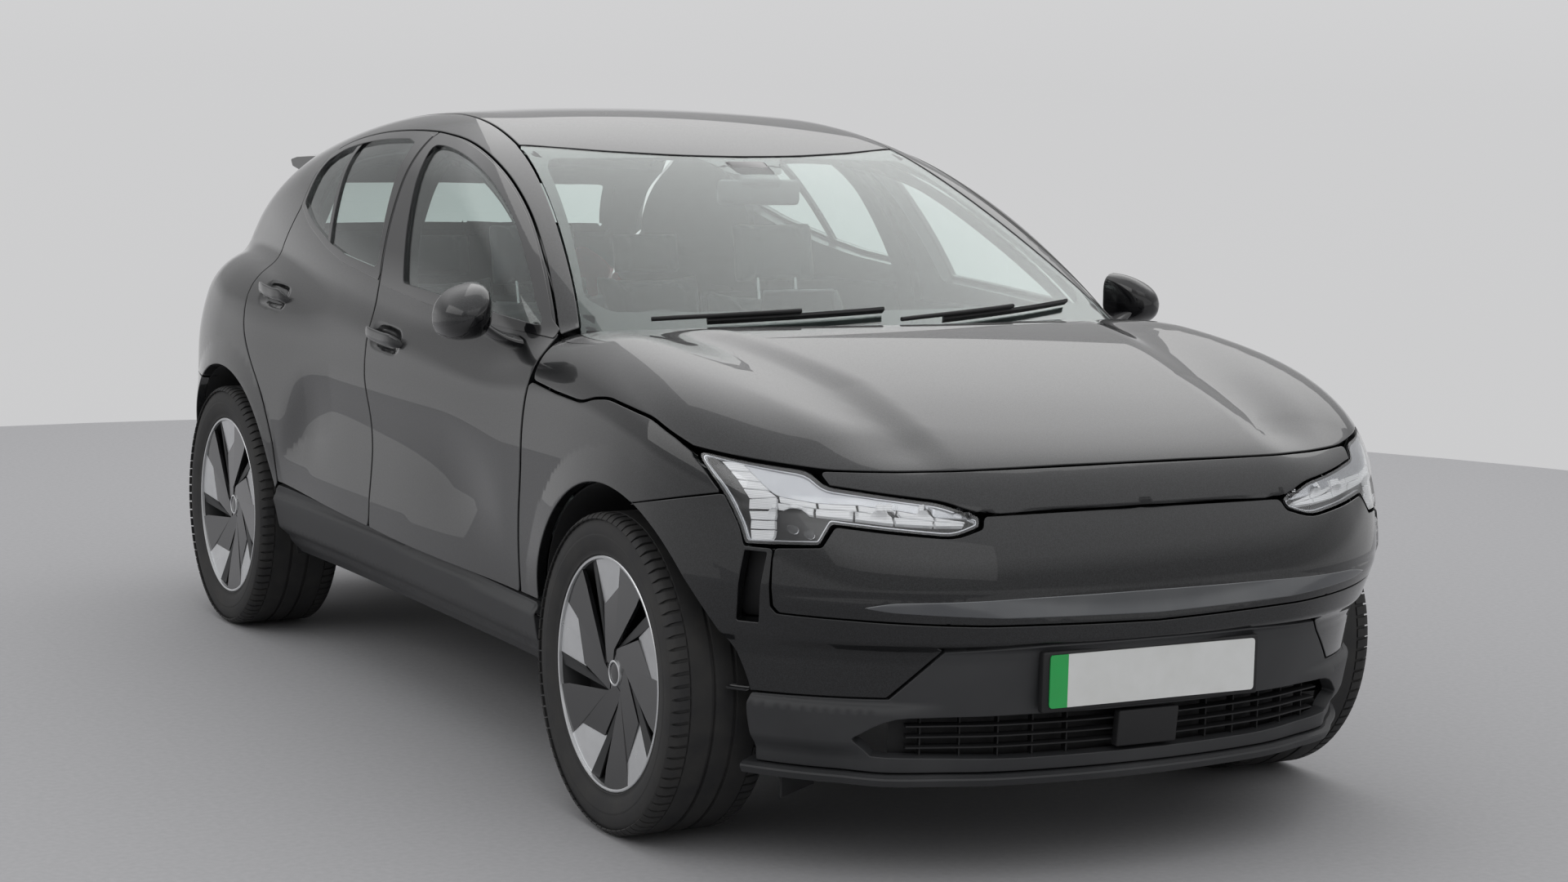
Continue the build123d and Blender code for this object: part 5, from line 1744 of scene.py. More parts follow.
def ribbed_light():
    made = finish("lamp_blocks_lit")
    tree = made.node_tree
    place = add_node(tree, "ShaderNodeTexCoord")
    ribs = add_node(tree, "ShaderNodeTexWave", bands_direction="Z", in_Scale=95.0, in_Distortion=0.2)
    tone = add_node(tree, "ShaderNodeMapRange", in_To_Min=0.55, in_To_Max=0.86)
    body = add_node(
        tree, "ShaderNodeBsdfPrincipled", in_Roughness=0.25, in_Metallic=0.25, in_Emission_Strength=0.16
    )
    body.inputs["Emission Color"].default_value = (0.95, 0.97, 1.0, 1)
    blend = add_node(tree, "ShaderNodeCombineColor")
    wire(
        tree,
        (place.outputs["Object"], ribs.inputs["Vector"]),
        (ribs.outputs["Fac"], tone.inputs["Value"]),
        (tone.outputs[0], blend.inputs[0]),
        (tone.outputs[0], blend.inputs[1]),
        (tone.outputs[0], blend.inputs[2]),
        (blend.outputs[0], body.inputs["Base Color"]),
        (body.outputs[0], tree.nodes["out"].inputs["Surface"]),
    )
    return made


block_light = ribbed_light()
LAMP = [
    (0.856, 0.8785), (0.694, 0.8520), (0.678, 0.8240), (0.470, 0.7945), (0.388, 0.7655), (0.3945, 0.7480)
]
LAMP += [
    (0.455, 0.7295), (0.588, 0.7425), (0.679, 0.7525), (0.7065, 0.7115), (0.8170, 0.7045), (0.8215, 0.739),
    (0.8365, 0.801),
]
lamp_line = outline_on(nose_wrap, on_nose(LAMP), corner=0.010, soft=0.25, step=0.008)
lens_shell = cut_panel(nose_wrap, lamp_line, step=0.012, depth=0.0028, sink=0.0006, edge=0.0008)
inner = outline_on(nose_wrap, grown(on_nose(LAMP), -0.0052), corner=0.008, soft=0.25, step=0.008)
frame_shell = cut_panel(nose_wrap, lamp_line, [inner], step=0.02, depth=0.024, sink=0.0042, edge=0.0008)
thin_outer = outline_on(nose_wrap, grown(on_nose(LAMP), -0.0052), corner=0.008, soft=0.25, step=0.008)
thin_inner = outline_on(nose_wrap, grown(on_nose(LAMP), -0.0072), corner=0.008, soft=0.25, step=0.008)
thin_shell = cut_panel(nose_wrap, thin_outer, [thin_inner], step=0.02, depth=0.012, sink=0.006, edge=0.0004)
well_shell = cut_panel(nose_wrap, lamp_line, step=0.02, depth=0.003, sink=0.030, edge=0.0008)
silver_points = [
    (0.850, 0.8745), (0.695, 0.8470), (0.680, 0.8200), (0.470, 0.7900), (0.404, 0.7640), (0.481, 0.7700),
    (0.556, 0.7820),
]
silver_points += [
    (0.629, 0.7915), (0.700, 0.7935), (0.763, 0.8035), (0.775, 0.8150), (0.794, 0.8480), (0.803, 0.8660),
    (0.836, 0.8660),
]
silver_line = outline_on(nose_wrap, on_nose(silver_points), corner=0.002, soft=0.2, step=0.008)
silver_shell = cut_panel(nose_wrap, silver_line, step=0.014, depth=0.010, sink=0.009, edge=0.001)
rows = [
    (0.831, 0.865, 0.803, 0.866), (0.824, 0.847, 0.794, 0.848), (0.818, 0.831, 0.784, 0.830),
    (0.813, 0.814, 0.775, 0.814),
]
rows += [(0.807, 0.794, 0.766, 0.8015), (0.809, 0.772, 0.769, 0.776)]
down = [
    (0.809, 0.7705, 0.770, 0.7745), (0.808, 0.752, 0.772, 0.755), (0.810, 0.733, 0.774, 0.736),
    (0.810, 0.711, 0.778, 0.714),
]
along = [
    (0.764, 0.803, 0.768, 0.776), (0.700, 0.793, 0.705, 0.769), (0.629, 0.791, 0.636, 0.764),
    (0.556, 0.781, 0.563, 0.757),
]
along += [(0.481, 0.769, 0.486, 0.753), (0.418, 0.7595, 0.422, 0.7520)]
gap = 0.0011
lit = []
for stack in (rows, down):
    for a, b in zip(stack[:-1], stack[1:]):
        lit.append([(a[0], a[1] - gap), (a[2], a[3] - gap), (b[2], b[3] + gap), (b[0], b[1] + gap)])
for a, b in zip(along[:-1], along[1:]):
    middle_a, middle_b = 0.56 * a[1] + 0.44 * a[3], 0.56 * b[1] + 0.44 * b[3]
    lit.append(
        [
            (a[0] - 0.0022, a[1]), (b[0] + 0.0022, b[1]), (b[0] + 0.0022, middle_b + 0.0006),
            (a[0] - 0.0022, middle_a + 0.0006),
        ]
    )
    lit.append(
        [
            (a[2] - 0.0022, middle_a - 0.0006), (b[2] + 0.0022, middle_b - 0.0006), (b[2] + 0.0022, b[3]),
            (a[2] - 0.0022, a[3]),
        ]
    )
lit_shells = [
    cut_panel(
        nose_wrap, outline_on(nose_wrap, on_nose(q), corner=0.001, step=0.008), step=0.012, depth=0.014,
        sink=0.0075, edge=0.0010,
    )
    for q in lit
]
units = []
for x, z in ((0.748, 0.741), (0.722, 0.7335)):
    ring = np.linspace(0, 2 * math.pi, 20, endpoint=False)
    spot = nose_wrap.flat(
        nose_view.lift(np.array([(x + 0.0095 * math.cos(a), z + 0.0095 * math.sin(a)) for a in ring]))
    )
    units.append(
        cut_panel(nose_wrap, nose_wrap.lift(spot), step=0.004, depth=0.012, sink=0.016, edge=0.003)
    )
for hand, flip in HANDS:
    lens = build(
        "headlamp_lens_" + hand, [lens_shell], [lens_clear], "body", mirrored=flip
    )
    build(
        "headlamp_frame_" + hand, [frame_shell, well_shell], [lamp_black], "body",
        mirrored=flip,
    )
    build(
        "headlamp_reflector_" + hand, [silver_shell, thin_shell], [lamp_silver], "body",
        mirrored=flip,
    )
    build("headlamp_blocks_" + hand, lit_shells, [block_light], "body", mirrored=flip)
    build("headlamp_units_" + hand, units, [lens_clear], "body", mirrored=flip)
    if hand == "left":
        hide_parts("headlamps")


# ---- Tailgate, rear screen and spoiler ------------------------------------
# One pressed gate with a bonded screen; a painted spoiler is bolted above it and
# carries the high stop lamp. A printed black band runs round the screen; the gloss black strips that close
# its corners are not built.
lamp_rise = [(np.interp(z, (0.7465, 1.088), (1.868, 1.941)), z) for z in (1.016, 1.040, 1.066, 1.094)]
gate_half = [
    (0.002, 1.3905), (0.30, 1.388), (0.560, 1.3790), (0.5875, 1.3790), (0.6650, 1.1400), (0.6520, 1.0960),
    (0.6520, 1.012),
]
gate_half += [(min(x + 0.005, 0.647), z) for x, y, z in side.lift(np.array(lamp_rise))]
gate_half += [(0.506, 1.0960), (0.494, 0.7405), (0.6485, 0.7405), (0.6485, 0.7255), (0.002, 0.7255)]


def both_sides(line):
    return [tuple(p) for p in line] + [(-x, z) for x, z in line[::-1]]


screen_half = [
    (0.002, 1.330), (0.480, 1.330), (0.512, 1.320), (0.592, 1.150), (0.585, 1.132), (0.002, 1.132)
]
gate_rim = outline_on(tail_view, both_sides(gate_half), corner=0.014, soft=0.4)
gate_hole = outline_on(tail_view, both_sides(screen_half), corner=0.018, soft=0.4)
gate_shell = cut_panel(tail_view, gate_rim, [gate_hole], step=0.0155, depth=0.040)
build(
    "tailgate_skin", [gate_shell], [paint, seam_black, lining_dark], "tailgate", ("tailgate",),
    zone_finish=(0, 1, 2),
)
pane_rim = outline_on(tail_view, grown(both_sides(screen_half), 0.012), corner=0.02, soft=0.4)
pane_shell = cut_panel(tail_view, pane_rim, step=0.03, depth=0.004, sink=0.010, edge=0.0008)
build("rear_screen_glass", [pane_shell], [window_glass], "tailgate", ("rear_screen",))
frit_hole = outline_on(tail_view, grown(both_sides(screen_half), -0.030), corner=0.03, soft=0.4)
frit_shell = cut_panel(tail_view, pane_rim, [frit_hole], step=0.03, depth=0.001, sink=0.0150, edge=0.0003)
build("rear_screen_band", [frit_shell], [printed], "tailgate")

stations = np.linspace(-0.556, 0.556, 61)
spoiler_cloud = []
for x in stations:
    t = abs(x) / 0.552
    drop, back = 0.034 * t**2.6, 0.060 * t**2.6
    section = [
        (1.520, 1.4098 - drop), (1.600, 1.4063 - drop), (1.70, 1.4010 - drop),
        (1.808 - back, 1.3935 - drop), (1.8145 - back, 1.3915 - drop),
    ]
    section += [
        (1.8150 - back, 1.3885 - drop), (1.801 - back, 1.3725 - drop), (1.70 - back, 1.3570 - drop),
        (1.522, 1.3925 - drop),
    ]
    spoiler_cloud += [(x, y, z) for y, z in section]
spoiler_faces = hose_faces(len(stations), len(section), turned_ends=True)
plain_piece(
    "rear_spoiler_skin", spoiler_cloud, spoiler_faces, [paint], "tailgate", ("rear_spoiler",),
    sharp=0.5,
)

lens_red = clear_finish("lamp_lens_red", (0.62, 0.012, 0.016), 0.02, (0.75, 0.05, 0.05))
glow_red = moulded_finish(
    "lamp_guide_red", (0.70, 0.02, 0.02), (0.60, 0.02, 0.02), (0.2, 0.3), patch=30.0, bump=0,
    in_Emission_Strength=0.35
)
glow_red.node_tree.nodes["Principled BSDF"].inputs["Emission Color"].default_value = (1.0, 0.03, 0.02, 1)
red_moulding = moulded_finish(
    "lamp_housing_red", (0.30, 0.010, 0.012), (0.24, 0.010, 0.012), (0.25, 0.4), patch=30.0, bump=0
)
stop, stop_faces = soft_box((0.34, 0.010, 0.010), 0.003)
plain_piece(
    "high_stop_lamp", stop + [0, 1.7935, 1.3645], stop_faces, [lens_red], "tailgate"
)

# ---- Tail lamps -----------------------------------------------------------
# Tall lamps wrapped round the corners, in two units that meet at the gate's shut
# line: red moulded lenses over a lit guide and a clear strip, in a dark housing.
def lamp_unit(name, corners, guide, strip, body):
    """the lens, housing, guide and strip of one unit, both hands, from (angle, z) outlines"""
    line = outline_on(tail_wrap, corners, corner=0.008, soft=0.3, step=0.01)
    inner = outline_on(tail_wrap, grown(corners, -0.005), corner=0.008, soft=0.3, step=0.01)
    lens = cut_panel(tail_wrap, line, step=0.013, depth=0.0035, sink=0.0, edge=0.0015)
    well = cut_panel(tail_wrap, line, step=0.02, depth=0.004, sink=0.034, edge=0.001)
    frame = cut_panel(tail_wrap, line, [inner], step=0.02, depth=0.030, sink=0.0045, edge=0.0006)
    bars = cut_panel(
        tail_wrap, outline_on(tail_wrap, guide, corner=0.006, step=0.01), step=0.014, depth=0.012,
        sink=0.011, edge=0.0015,
    )
    clear = cut_panel(
        tail_wrap, outline_on(tail_wrap, strip, corner=0.003, step=0.01), step=0.014, depth=0.012,
        sink=0.011, edge=0.0012,
    )
    lenses = []
    for hand, flip in HANDS:
        lenses.append(
            build(f"{name}_lens_{hand}", [lens], [lens_red], body, mirrored=flip)
        )
        build(
            f"{name}_housing_{hand}", [frame, well], [red_moulding], body, mirrored=flip
        )
        build(f"{name}_guide_{hand}", [bars], [glow_red], body, mirrored=flip)
        build(f"{name}_strip_{hand}", [clear], [lamp_silver], body, mirrored=flip)
    return lenses[0]


def along(edge_a, edge_b, share, z):
    """the (angle, z) point at a height, some share of the way from one edge line to the other"""
    at = [np.interp(z, e[:, 1], e[:, 0]) for e in (edge_a, edge_b)]
    return at[0] + share * (at[1] - at[0]), z


heights = np.linspace(0.7465, 1.088, 12)
outer_edge = tail_wrap.flat(
    side.lift(np.stack([np.interp(heights, (0.7465, 1.088), (1.868, 1.941)), heights], 1))
)
shut_edge = tail_wrap.flat(tail_view.lift(np.stack([np.full(12, 0.6560), heights], 1)))
gate_edge = tail_wrap.flat(tail_view.lift(np.stack([np.full(12, 0.6485), heights], 1)))
inboard_edge = tail_wrap.flat(
    tail_view.lift(np.stack([np.interp(heights, (0.7465, 1.088), (0.500, 0.512)), heights], 1))
)
body_unit = [along(outer_edge, shut_edge, 0, z) for z in heights[:9]] + [
    along(outer_edge, shut_edge, 1, z) for z in heights[8::-1]
]
meeting = [
    z for z in heights if along(outer_edge, gate_edge, 0, z)[0] < along(outer_edge, gate_edge, 1, z)[0]
]
gate_unit = [along(gate_edge, inboard_edge, 0, z) for z in meeting]
gate_unit += [along(outer_edge, inboard_edge, 0, z) for z in heights if z > meeting[-1]]
gate_unit += [along(gate_edge, inboard_edge, 1, z) for z in heights[::-1]]
bracket = [(0.10, 0.764), (0.10, 0.930), (0.42, 0.930), (0.42, 0.800), (0.94, 0.800), (0.94, 0.764)]
sliver = [(0.60, 0.830), (0.60, 0.900), (0.80, 0.900), (0.80, 0.830)]
outer_lens = lamp_unit(
    "tail_lamp", body_unit, [along(outer_edge, shut_edge, *p) for p in bracket],
    [along(outer_edge, shut_edge, *p) for p in sliver], "body",
)
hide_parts("tail_lamps")
hook = [
    (0.06, 0.764), (0.06, 0.800), (0.74, 0.800), (0.74, 1.034), (0.30, 1.034), (0.30, 1.066), (0.90, 1.066),
    (0.90, 0.764),
]
blade = [(0.30, 0.840), (0.30, 0.985), (0.46, 0.985), (0.46, 0.840)]
lamp_unit(
    "gate_lamp", gate_unit, [along(gate_edge, inboard_edge, *p) for p in hook],
    [along(gate_edge, inboard_edge, *p) for p in blade], "tailgate",
)

# ---- Rear bumper and valance ----------------------------------------------
# A painted bumper skin with the plate set in, over an unpainted lower valance
# with two reflectors.
tail_low = WrapView(lower_body, 1.25)
tail_front = FrontView(lower_body, 1, 1.2)


def on_tail(points):
    return tail_low.flat(tail_front.lift(np.array(points)))


def on_rear_side(points):
    return tail_low.flat(side_low.lift(np.array(points)))


def tail_halves(line):
    return both_halves(line, math.pi)


rear_arch = arc(REAR_AXLE, 0.4185, 59.6, 10.6, 30)
bumper_line = np.vstack([
    on_tail([(0.002, 0.7205), (0.30, 0.7205), (0.6515, 0.7205), (0.6545, 0.7405)]),
    on_rear_side([(1.862, 0.7405), (1.854, 0.7125)] + [(1.512, 0.7125)] + rear_arch),
    on_tail([(0.70, 0.4270), (0.30, 0.4270), (0.002, 0.4270)]),
])
recess = outline_on(
    tail_low, tail_halves(on_tail([(0.002, 0.620), (0.268, 0.620), (0.268, 0.500), (0.002, 0.500)])),
    corner=0.012, soft=0.2, step=0.01,
)
rear_rim = outline_on(tail_low, tail_halves(bumper_line), corner=0.008, soft=0.3)
rear_shell = cut_panel(tail_low, rear_rim, [recess], step=0.0155, depth=0.024)
build(
    "rear_bumper_skin", [rear_shell], [paint, seam_black], "body", ("rear_bumper",),
    zone_finish=(0, 0, 1),
)
recess_back = cut_panel(
    tail_low,
    outline_on(
        tail_low, tail_halves(on_tail([(0.002, 0.628), (0.276, 0.628), (0.276, 0.492), (0.002, 0.492)])),
        corner=0.01,
    ),
    step=0.02, depth=0.003, sink=0.0255,
)
build("plate_recess_back", [recess_back], [deep_black], "body")


def rear_valance_skin(x, y, z):
    fold = 10 * ramp(-z, -418, -396) - 22 * ramp(-z, -330, -225)
    return lower_body(x, y, z) - fold + 10


valance_rear = FrontView(rear_valance_skin, 1, 1.2)
valance_round = WrapView(rear_valance_skin, 1.25)
valance_flank = SideView(rear_valance_skin)
low_rear_arch = on_arch(REAR_AXLE, 0.4185, (0.4205, 0.385, 0.352, 0.31, 0.27, 0.232), 1)
rear_valance_half = np.vstack([
    valance_round.flat(valance_rear.lift(np.array([(0.002, 0.4225), (0.30, 0.4225), (0.70, 0.4225)]))),
    valance_round.flat(valance_flank.lift(np.array(low_rear_arch))),
    valance_round.flat(valance_rear.lift(np.array([(0.70, 0.232), (0.30, 0.232), (0.002, 0.232)]))),
])
rear_valance_rim = outline_on(valance_round, tail_halves(rear_valance_half), corner=0.01, soft=0.3)
rear_folds = [
    valance_rear.lift(np.array([(x, z) for x in np.linspace(-0.62, 0.62, 40)]))
    for z in (0.418, 0.396, 0.330)
]
rear_valance_shell = cut_panel(valance_round, rear_valance_rim, step=0.016, depth=0.026, lines=rear_folds)
build(
    "rear_valance_skin", [rear_valance_shell], [dark_plastic, deep_black], "body", ("rear_valance",),
    zone_finish=(0, 0, 1),
)
glint = outline_on(
    tail_low, on_tail([(0.46, 0.452), (0.66, 0.452), (0.66, 0.466), (0.46, 0.466)]), corner=0.004, step=0.01
)
glint_shell = cut_panel(tail_low, glint, step=0.014, depth=0.006, sink=-0.0018, edge=0.0015)
for hand, flip in HANDS:
    build("bumper_reflector_" + hand, [glint_shell], [red_moulding], "body", mirrored=flip)


# ---- Sill cladding --------------------------------------------------------
# Folded unpainted plastic along the sill, with an upward facet at its top edge
# and a tucked lower face; a gloss black strip fills the gap under the doors.
def sill_skin(x, y, z):
    upper = 432 + 18 * ramp(y, -830, 100)
    fold = 15 * ramp(-z, -upper, -upper + 24) - 26 * ramp(-z, -352, -316) - 30 * ramp(-z, -316, -262)
    return lower_body(x, y, z) - fold - 1


sill_view = SideView(sill_skin)
sill_front = on_arch(FRONT_AXLE, 0.4185, (0.270, 0.31, 0.352, 0.396, 0.424), 1)
sill_rear = on_arch(REAR_AXLE, 0.4185, (0.452, 0.422, 0.385, 0.352, 0.31, 0.270), -1)
sill_line = sill_front + [
    (-0.925, 0.4365), (-0.832, 0.4365), (-0.40, 0.4440), (0.12, 0.4515), (0.55, 0.4610), (0.868, 0.4680)
] + sill_rear
sill_rim = outline_on(sill_view, sill_line, corner=0.006, soft=0.4)
creases = [
    sill_view.lift(np.array([(y, z) for y in np.linspace(-0.915, 0.865, 60)])) for z in (0.352, 0.316)
]
sill_shell = cut_panel(sill_view, sill_rim, step=0.015, depth=0.020, lines=creases)
groove_line = outline_on(
    side_low,
    [(-0.838, 0.418), (0.12, 0.440), (0.875, 0.430), (0.885, 0.500), (0.12, 0.480), (-0.838, 0.462)],
    corner=0.004, soft=0.4,
)
groove_shell = cut_panel(side_low, groove_line, step=0.02, depth=0.004, sink=0.013)
for hand, flip in HANDS:
    sill = build(
        "sill_cladding_" + hand, [sill_shell], [dark_plastic, deep_black], "body",
        mirrored=flip, zone_finish=(0, 0, 1),
    )
    build(
        "sill_strip_" + hand, [groove_shell], [trim_black], "body", mirrored=flip
    )
    if hand == "left":
        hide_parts("sill_trims")


# ---- Tyres ----------------------------------------------------------------
# Low-profile road tyres: a moulded sidewall with a rim ledge, three plain ribs
# and a row of separate shoulder blocks with fine grooves between them.
def lathe(profile, count=96, closed=True):
    """a section of (out, radius) points turned about the wheel's own axis"""
    profile = np.asarray(profile, float)
    angles = np.linspace(0, 2 * math.pi, count, endpoint=False)
    cloud = [(out, r * math.cos(a), r * math.sin(a)) for a in angles for out, r in profile]
    n = len(profile)
    faces = []
    last = n if closed else n - 1
    for k in range(count):
        m = (k + 1) % count
        faces += [(k * n + i, k * n + (i + 1) % n, m * n + (i + 1) % n, m * n + i) for i in range(last)]
    return np.array(cloud), faces


# vulcanised rubber, a little browner and duller where it has weathered
tyre_rubber = moulded_finish(
    "tyre_black_rubber", (0.018, 0.018, 0.019), (0.034, 0.033, 0.031), (0.62, 0.82), scale=520.0,
    patch=16.0, bump=0.25,
)
AXLES = (("front", FRONT_AXLE), ("rear", REAR_AXLE))
WHEEL_X = 0.798
WHEELS = {f"wheel_{end}_{hand}": (WHEEL_X, hub_y, flip) for end, hub_y in AXLES for hand, flip in HANDS}
half_profile = [
    (0.100, 0.2570), (0.1060, 0.2580), (0.1095, 0.2610), (0.1085, 0.2660), (0.1120, 0.2720),
    (0.1165, 0.2850), (0.1192, 0.3000),
    (0.1195, 0.3030), (0.1187, 0.3045), (0.1190, 0.3060), (0.1182, 0.3170), (0.1160, 0.3290),
    (0.1125, 0.3380), (0.1060, 0.3445),
    (0.0985, 0.3470), (0.0790, 0.3475), (0.0770, 0.3515), (0.0300, 0.3520), (0.0280, 0.3455),
    (0.0220, 0.3455), (0.0200, 0.3520),
]
tyre_profile = half_profile + [(-o, r) for o, r in half_profile[::-1]] + [(-0.098, 0.2520), (0.098, 0.2520)]
tyre_cloud, tyre_faces = lathe(tyre_profile, 128)


def shoulder_block():
    """one tread block: curved down over the shoulder, its long edges sloped"""
    rows = [
        (-0.0165, 0.0), (-0.0150, 0.0042), (0.004, 0.0038), (0.0125, 0.0018), (0.0195, -0.0030),
        (0.0245, -0.0085), (0.0225, -0.0105), (0.0, -0.006),
    ]
    points = []
    for half, trim in ((-1, 0.0), (1, 0.0)):
        for out, up in rows:
            lean = 0.0025 * half if up > -0.002 else 0
            points.append((out, half * 0.0108 - lean * 0.6 + 0.10 * out, up))
    n = len(rows)
    faces = [tuple(range(n)), tuple(range(n, 2 * n))[::-1]]
    faces += [(i, n + i, n + (i + 1) % n, (i + 1) % n) for i in range(n)]
    return points, faces


block_points, block_faces = shoulder_block()
TREAD_BLOCKS, TREAD_RADIUS = 84, 0.3475
for name, (centre, hub_y, flip) in WHEELS.items():
    at = np.array([centre, hub_y, AXLE_Z])
    label = name.replace("wheel_", "tyre_")
    plain_piece(
        label + "_carcass", tyre_cloud + at, tyre_faces, [tyre_rubber], name, (label,), flip,
        sharp=0.75,
    )
    angles = np.linspace(0, 2 * math.pi, TREAD_BLOCKS, endpoint=False)
    places, turns = [], []
    for out_sign in (1, -1):
        for a in angles + (0.5 * (angles[1] - angles[0]) if out_sign < 0 else 0):
            away = np.array([0, math.cos(a), math.sin(a)])
            spot = at + away * TREAD_RADIUS + np.array([0.0960 * out_sign, 0, 0])
            spot[0] *= -1 if flip else 1
            places.append(spot)
            outward = out_sign * (-1 if flip else 1)
            x_axis = Vector((outward, 0, 0))
            z_axis = Vector(away)
            y_axis = z_axis.cross(x_axis)
            frame3 = Matrix((x_axis, y_axis, z_axis)).transposed()
            turns.append(tuple(frame3.to_euler()))
    stood(
        label + "_blocks", block_points, block_faces, places, turns, tyre_rubber, name,
        sharp=0.5,
    )


# ---- Wheels ---------------------------------------------------------------
# Cast wheels with five broad gloss black blades, silver faces between them and a
# turned bright edge; wedges run in to a small cap. The wedges and the barrel are
# painted near black as the shade inside the wheel, and a plain black cone behind
# the spokes is painted shade too. Steel brakes sit behind.
machined = moulded_finish(
    "wheel_machined_silver", (0.72, 0.73, 0.74), (0.66, 0.67, 0.68), (0.24, 0.34), patch=26.0, bump=0,
    in_Metallic=0.75,
)
wheel_black = moulded_finish(
    "wheel_gloss_black", (0.010, 0.010, 0.011), (0.016, 0.016, 0.017), (0.10, 0.17), patch=18.0, bump=0,
    in_Coat_Weight=0.8, in_Coat_Roughness=0.05,
)
# painted shade: the barrel and the sunk wedges are coloured near black for the shade that falls inside the
# wheel
wheel_painted_shade = moulded_finish(
    "wheel_dark_casting", (0.020, 0.021, 0.022), (0.032, 0.033, 0.034), (0.4, 0.55), scale=800.0
)
disc_steel = moulded_finish(
    "brake_disc_steel", (0.34, 0.335, 0.33), (0.24, 0.22, 0.20), (0.28, 0.42), patch=30.0, bump=0,
    in_Metallic=1.0,
)
RIM_RADIUS = 0.2535


def at_polar(r, degrees):
    reach, turn = r * RIM_RADIUS, math.radians(degrees)
    return np.array([reach * math.cos(turn), reach * math.sin(turn)])


def facet_slab(points, inset, facets, face_at, thick):
    """a closed plate whose outer facets lie at their own depths; u runs to the car's front"""
    top = [(face_at - d, -p[0], p[1]) for p, d in zip(points, inset)]
    low = [(face_at - d - thick, -p[0], p[1]) for p, d in zip(points, inset)]
    n = len(points)
    faces = [tuple(f) for f in facets] + [tuple(i + n for i in f[::-1]) for f in facets]
    used = {}
    for f in facets:
        for i, j in zip(f, f[1:] + f[:1]):
            used[(i, j)] = used.get((i, j), 0) + 1
    for i, j in used:
        if (j, i) not in used:
            faces.append((j, i, i + n, j + n))
    return top + low, faces


blades, patches, wedges = [[], []], [[], []], [[], []]


def collect(store, made):
    cloud, faces = made
    start = len(store[0])
    store[0] += [tuple(p) for p in cloud]
    store[1] += [tuple(i + start for i in f) for f in faces]


BLADES = 5
for k in range(BLADES):
    phi = 46.5 + 360 // BLADES * k
    arc_angles = np.linspace(phi + 5.5, phi + 32.5, 9)
    points = [at_polar(0.205, phi + 46), at_polar(0.84, phi + 6)] + [at_polar(0.985, a) for a in arc_angles]
    points += [
        at_polar(0.79, phi + 33.5), at_polar(0.60, phi + 64), at_polar(0.205, phi + 118),
        at_polar(0.10, phi + 82),
    ]
    inset = [0.017, 0.004] + list(np.linspace(0.002, 0.0045, 9)) + [0.010, 0.016, 0.0205, 0.021]
    facets = [[0, 1, 2] + list(range(3, 11)), [0, 10, 11, 12], [0, 12, 13, 14]]
    collect(blades, facet_slab(points, inset, facets, 0.1065, 0.010))
    arc_angles = np.linspace(phi + 32.5, phi + 60.5, 9)
    points = [at_polar(0.985, a) for a in arc_angles] + [
        at_polar(0.60, phi + 66.5), at_polar(0.585, phi + 62), at_polar(0.78, phi + 32.5)
    ]
    inset = [0.004] * 9 + [0.020, 0.020, 0.011]
    collect(patches, facet_slab(points, inset, [list(range(12))], 0.1065, 0.006))
    points = [
        at_polar(0.985, phi - 4.5), at_polar(0.22, phi + 44), at_polar(0.20, phi + 47.5),
        at_polar(0.60, phi - 5.0), at_polar(0.985, phi - 11.5),
    ]
    inset = [0.010, 0.026, 0.024, 0.0165, 0.004]
    collect(wedges, facet_slab(points, inset, [[0, 1, 2, 3, 4]], 0.1065, 0.004))
ring = lathe(
    [
        (0.1000, 0.2500), (0.1078, 0.2508), (0.1086, 0.2530), (0.1086, 0.2556), (0.1072, 0.2574),
        (0.0990, 0.2578), (0.0985, 0.2560),
    ],
    128,
)
barrel = lathe(
    [
        (0.1000, 0.2510), (0.0995, 0.2570), (-0.098, 0.2570), (-0.104, 0.2560), (-0.104, 0.2480),
        (-0.02, 0.2340), (0.060, 0.2420),
    ],
    96,
)
# painted shade: the back is a plain black cone that closes the wheel behind the spokes and stands for the
# shade inside it
back = lathe(
    [(0.0500, 0.0), (0.0500, 0.060), (0.0400, 0.2440), (0.0340, 0.2440), (0.0440, 0.060), (0.0440, 0.0)],
    64, closed=False,
)
hub = lathe(
    [(0.0845, 0.0), (0.0850, 0.045), (0.0820, 0.0570), (0.0500, 0.0600), (0.0500, 0.0)], 64, closed=False
)
cap = lathe(
    [(0.0890, 0.0), (0.0892, 0.0150), (0.0882, 0.0215), (0.0840, 0.0225), (0.0840, 0.0)], 64, closed=False
)
cap_ring = lathe(
    [(0.0850, 0.0232), (0.0902, 0.0236), (0.0912, 0.0252), (0.0902, 0.0284), (0.0850, 0.0292)], 64
)
disc = lathe([(0.030, 0.070), (0.030, 0.168), (0.008, 0.168), (0.008, 0.070)], 72)
wheel_pieces = [
    ("blades", blades, wheel_black, 0.12), ("faces", patches, machined, 0.3),
    ("wedges", wedges, wheel_painted_shade, 0.3),
    ("bright_ring", ring, machined, 0.6), ("barrel", barrel, wheel_painted_shade, 0.5),
    ("back", back, deep_black, 0.5),
    ("hub", hub, wheel_black, 0.5), ("cap", cap, wheel_black, 0.5), ("cap_ring", cap_ring, machined, 0.6),
    ("disc", disc, disc_steel, 0.5),
]
for name, (centre, hub_y, flip) in WHEELS.items():
    at = np.array([centre, hub_y, AXLE_Z])
    label = name.replace("wheel_", "rim_")
    for kind, (cloud, faces), look, sharp in wheel_pieces:
        stands_for = (label,) if kind == "barrel" else ()
        plain_piece(
            f"{label}_{kind}", np.array(cloud) + at, faces, [look], name, stands_for, flip,
            sharp=sharp,
        )


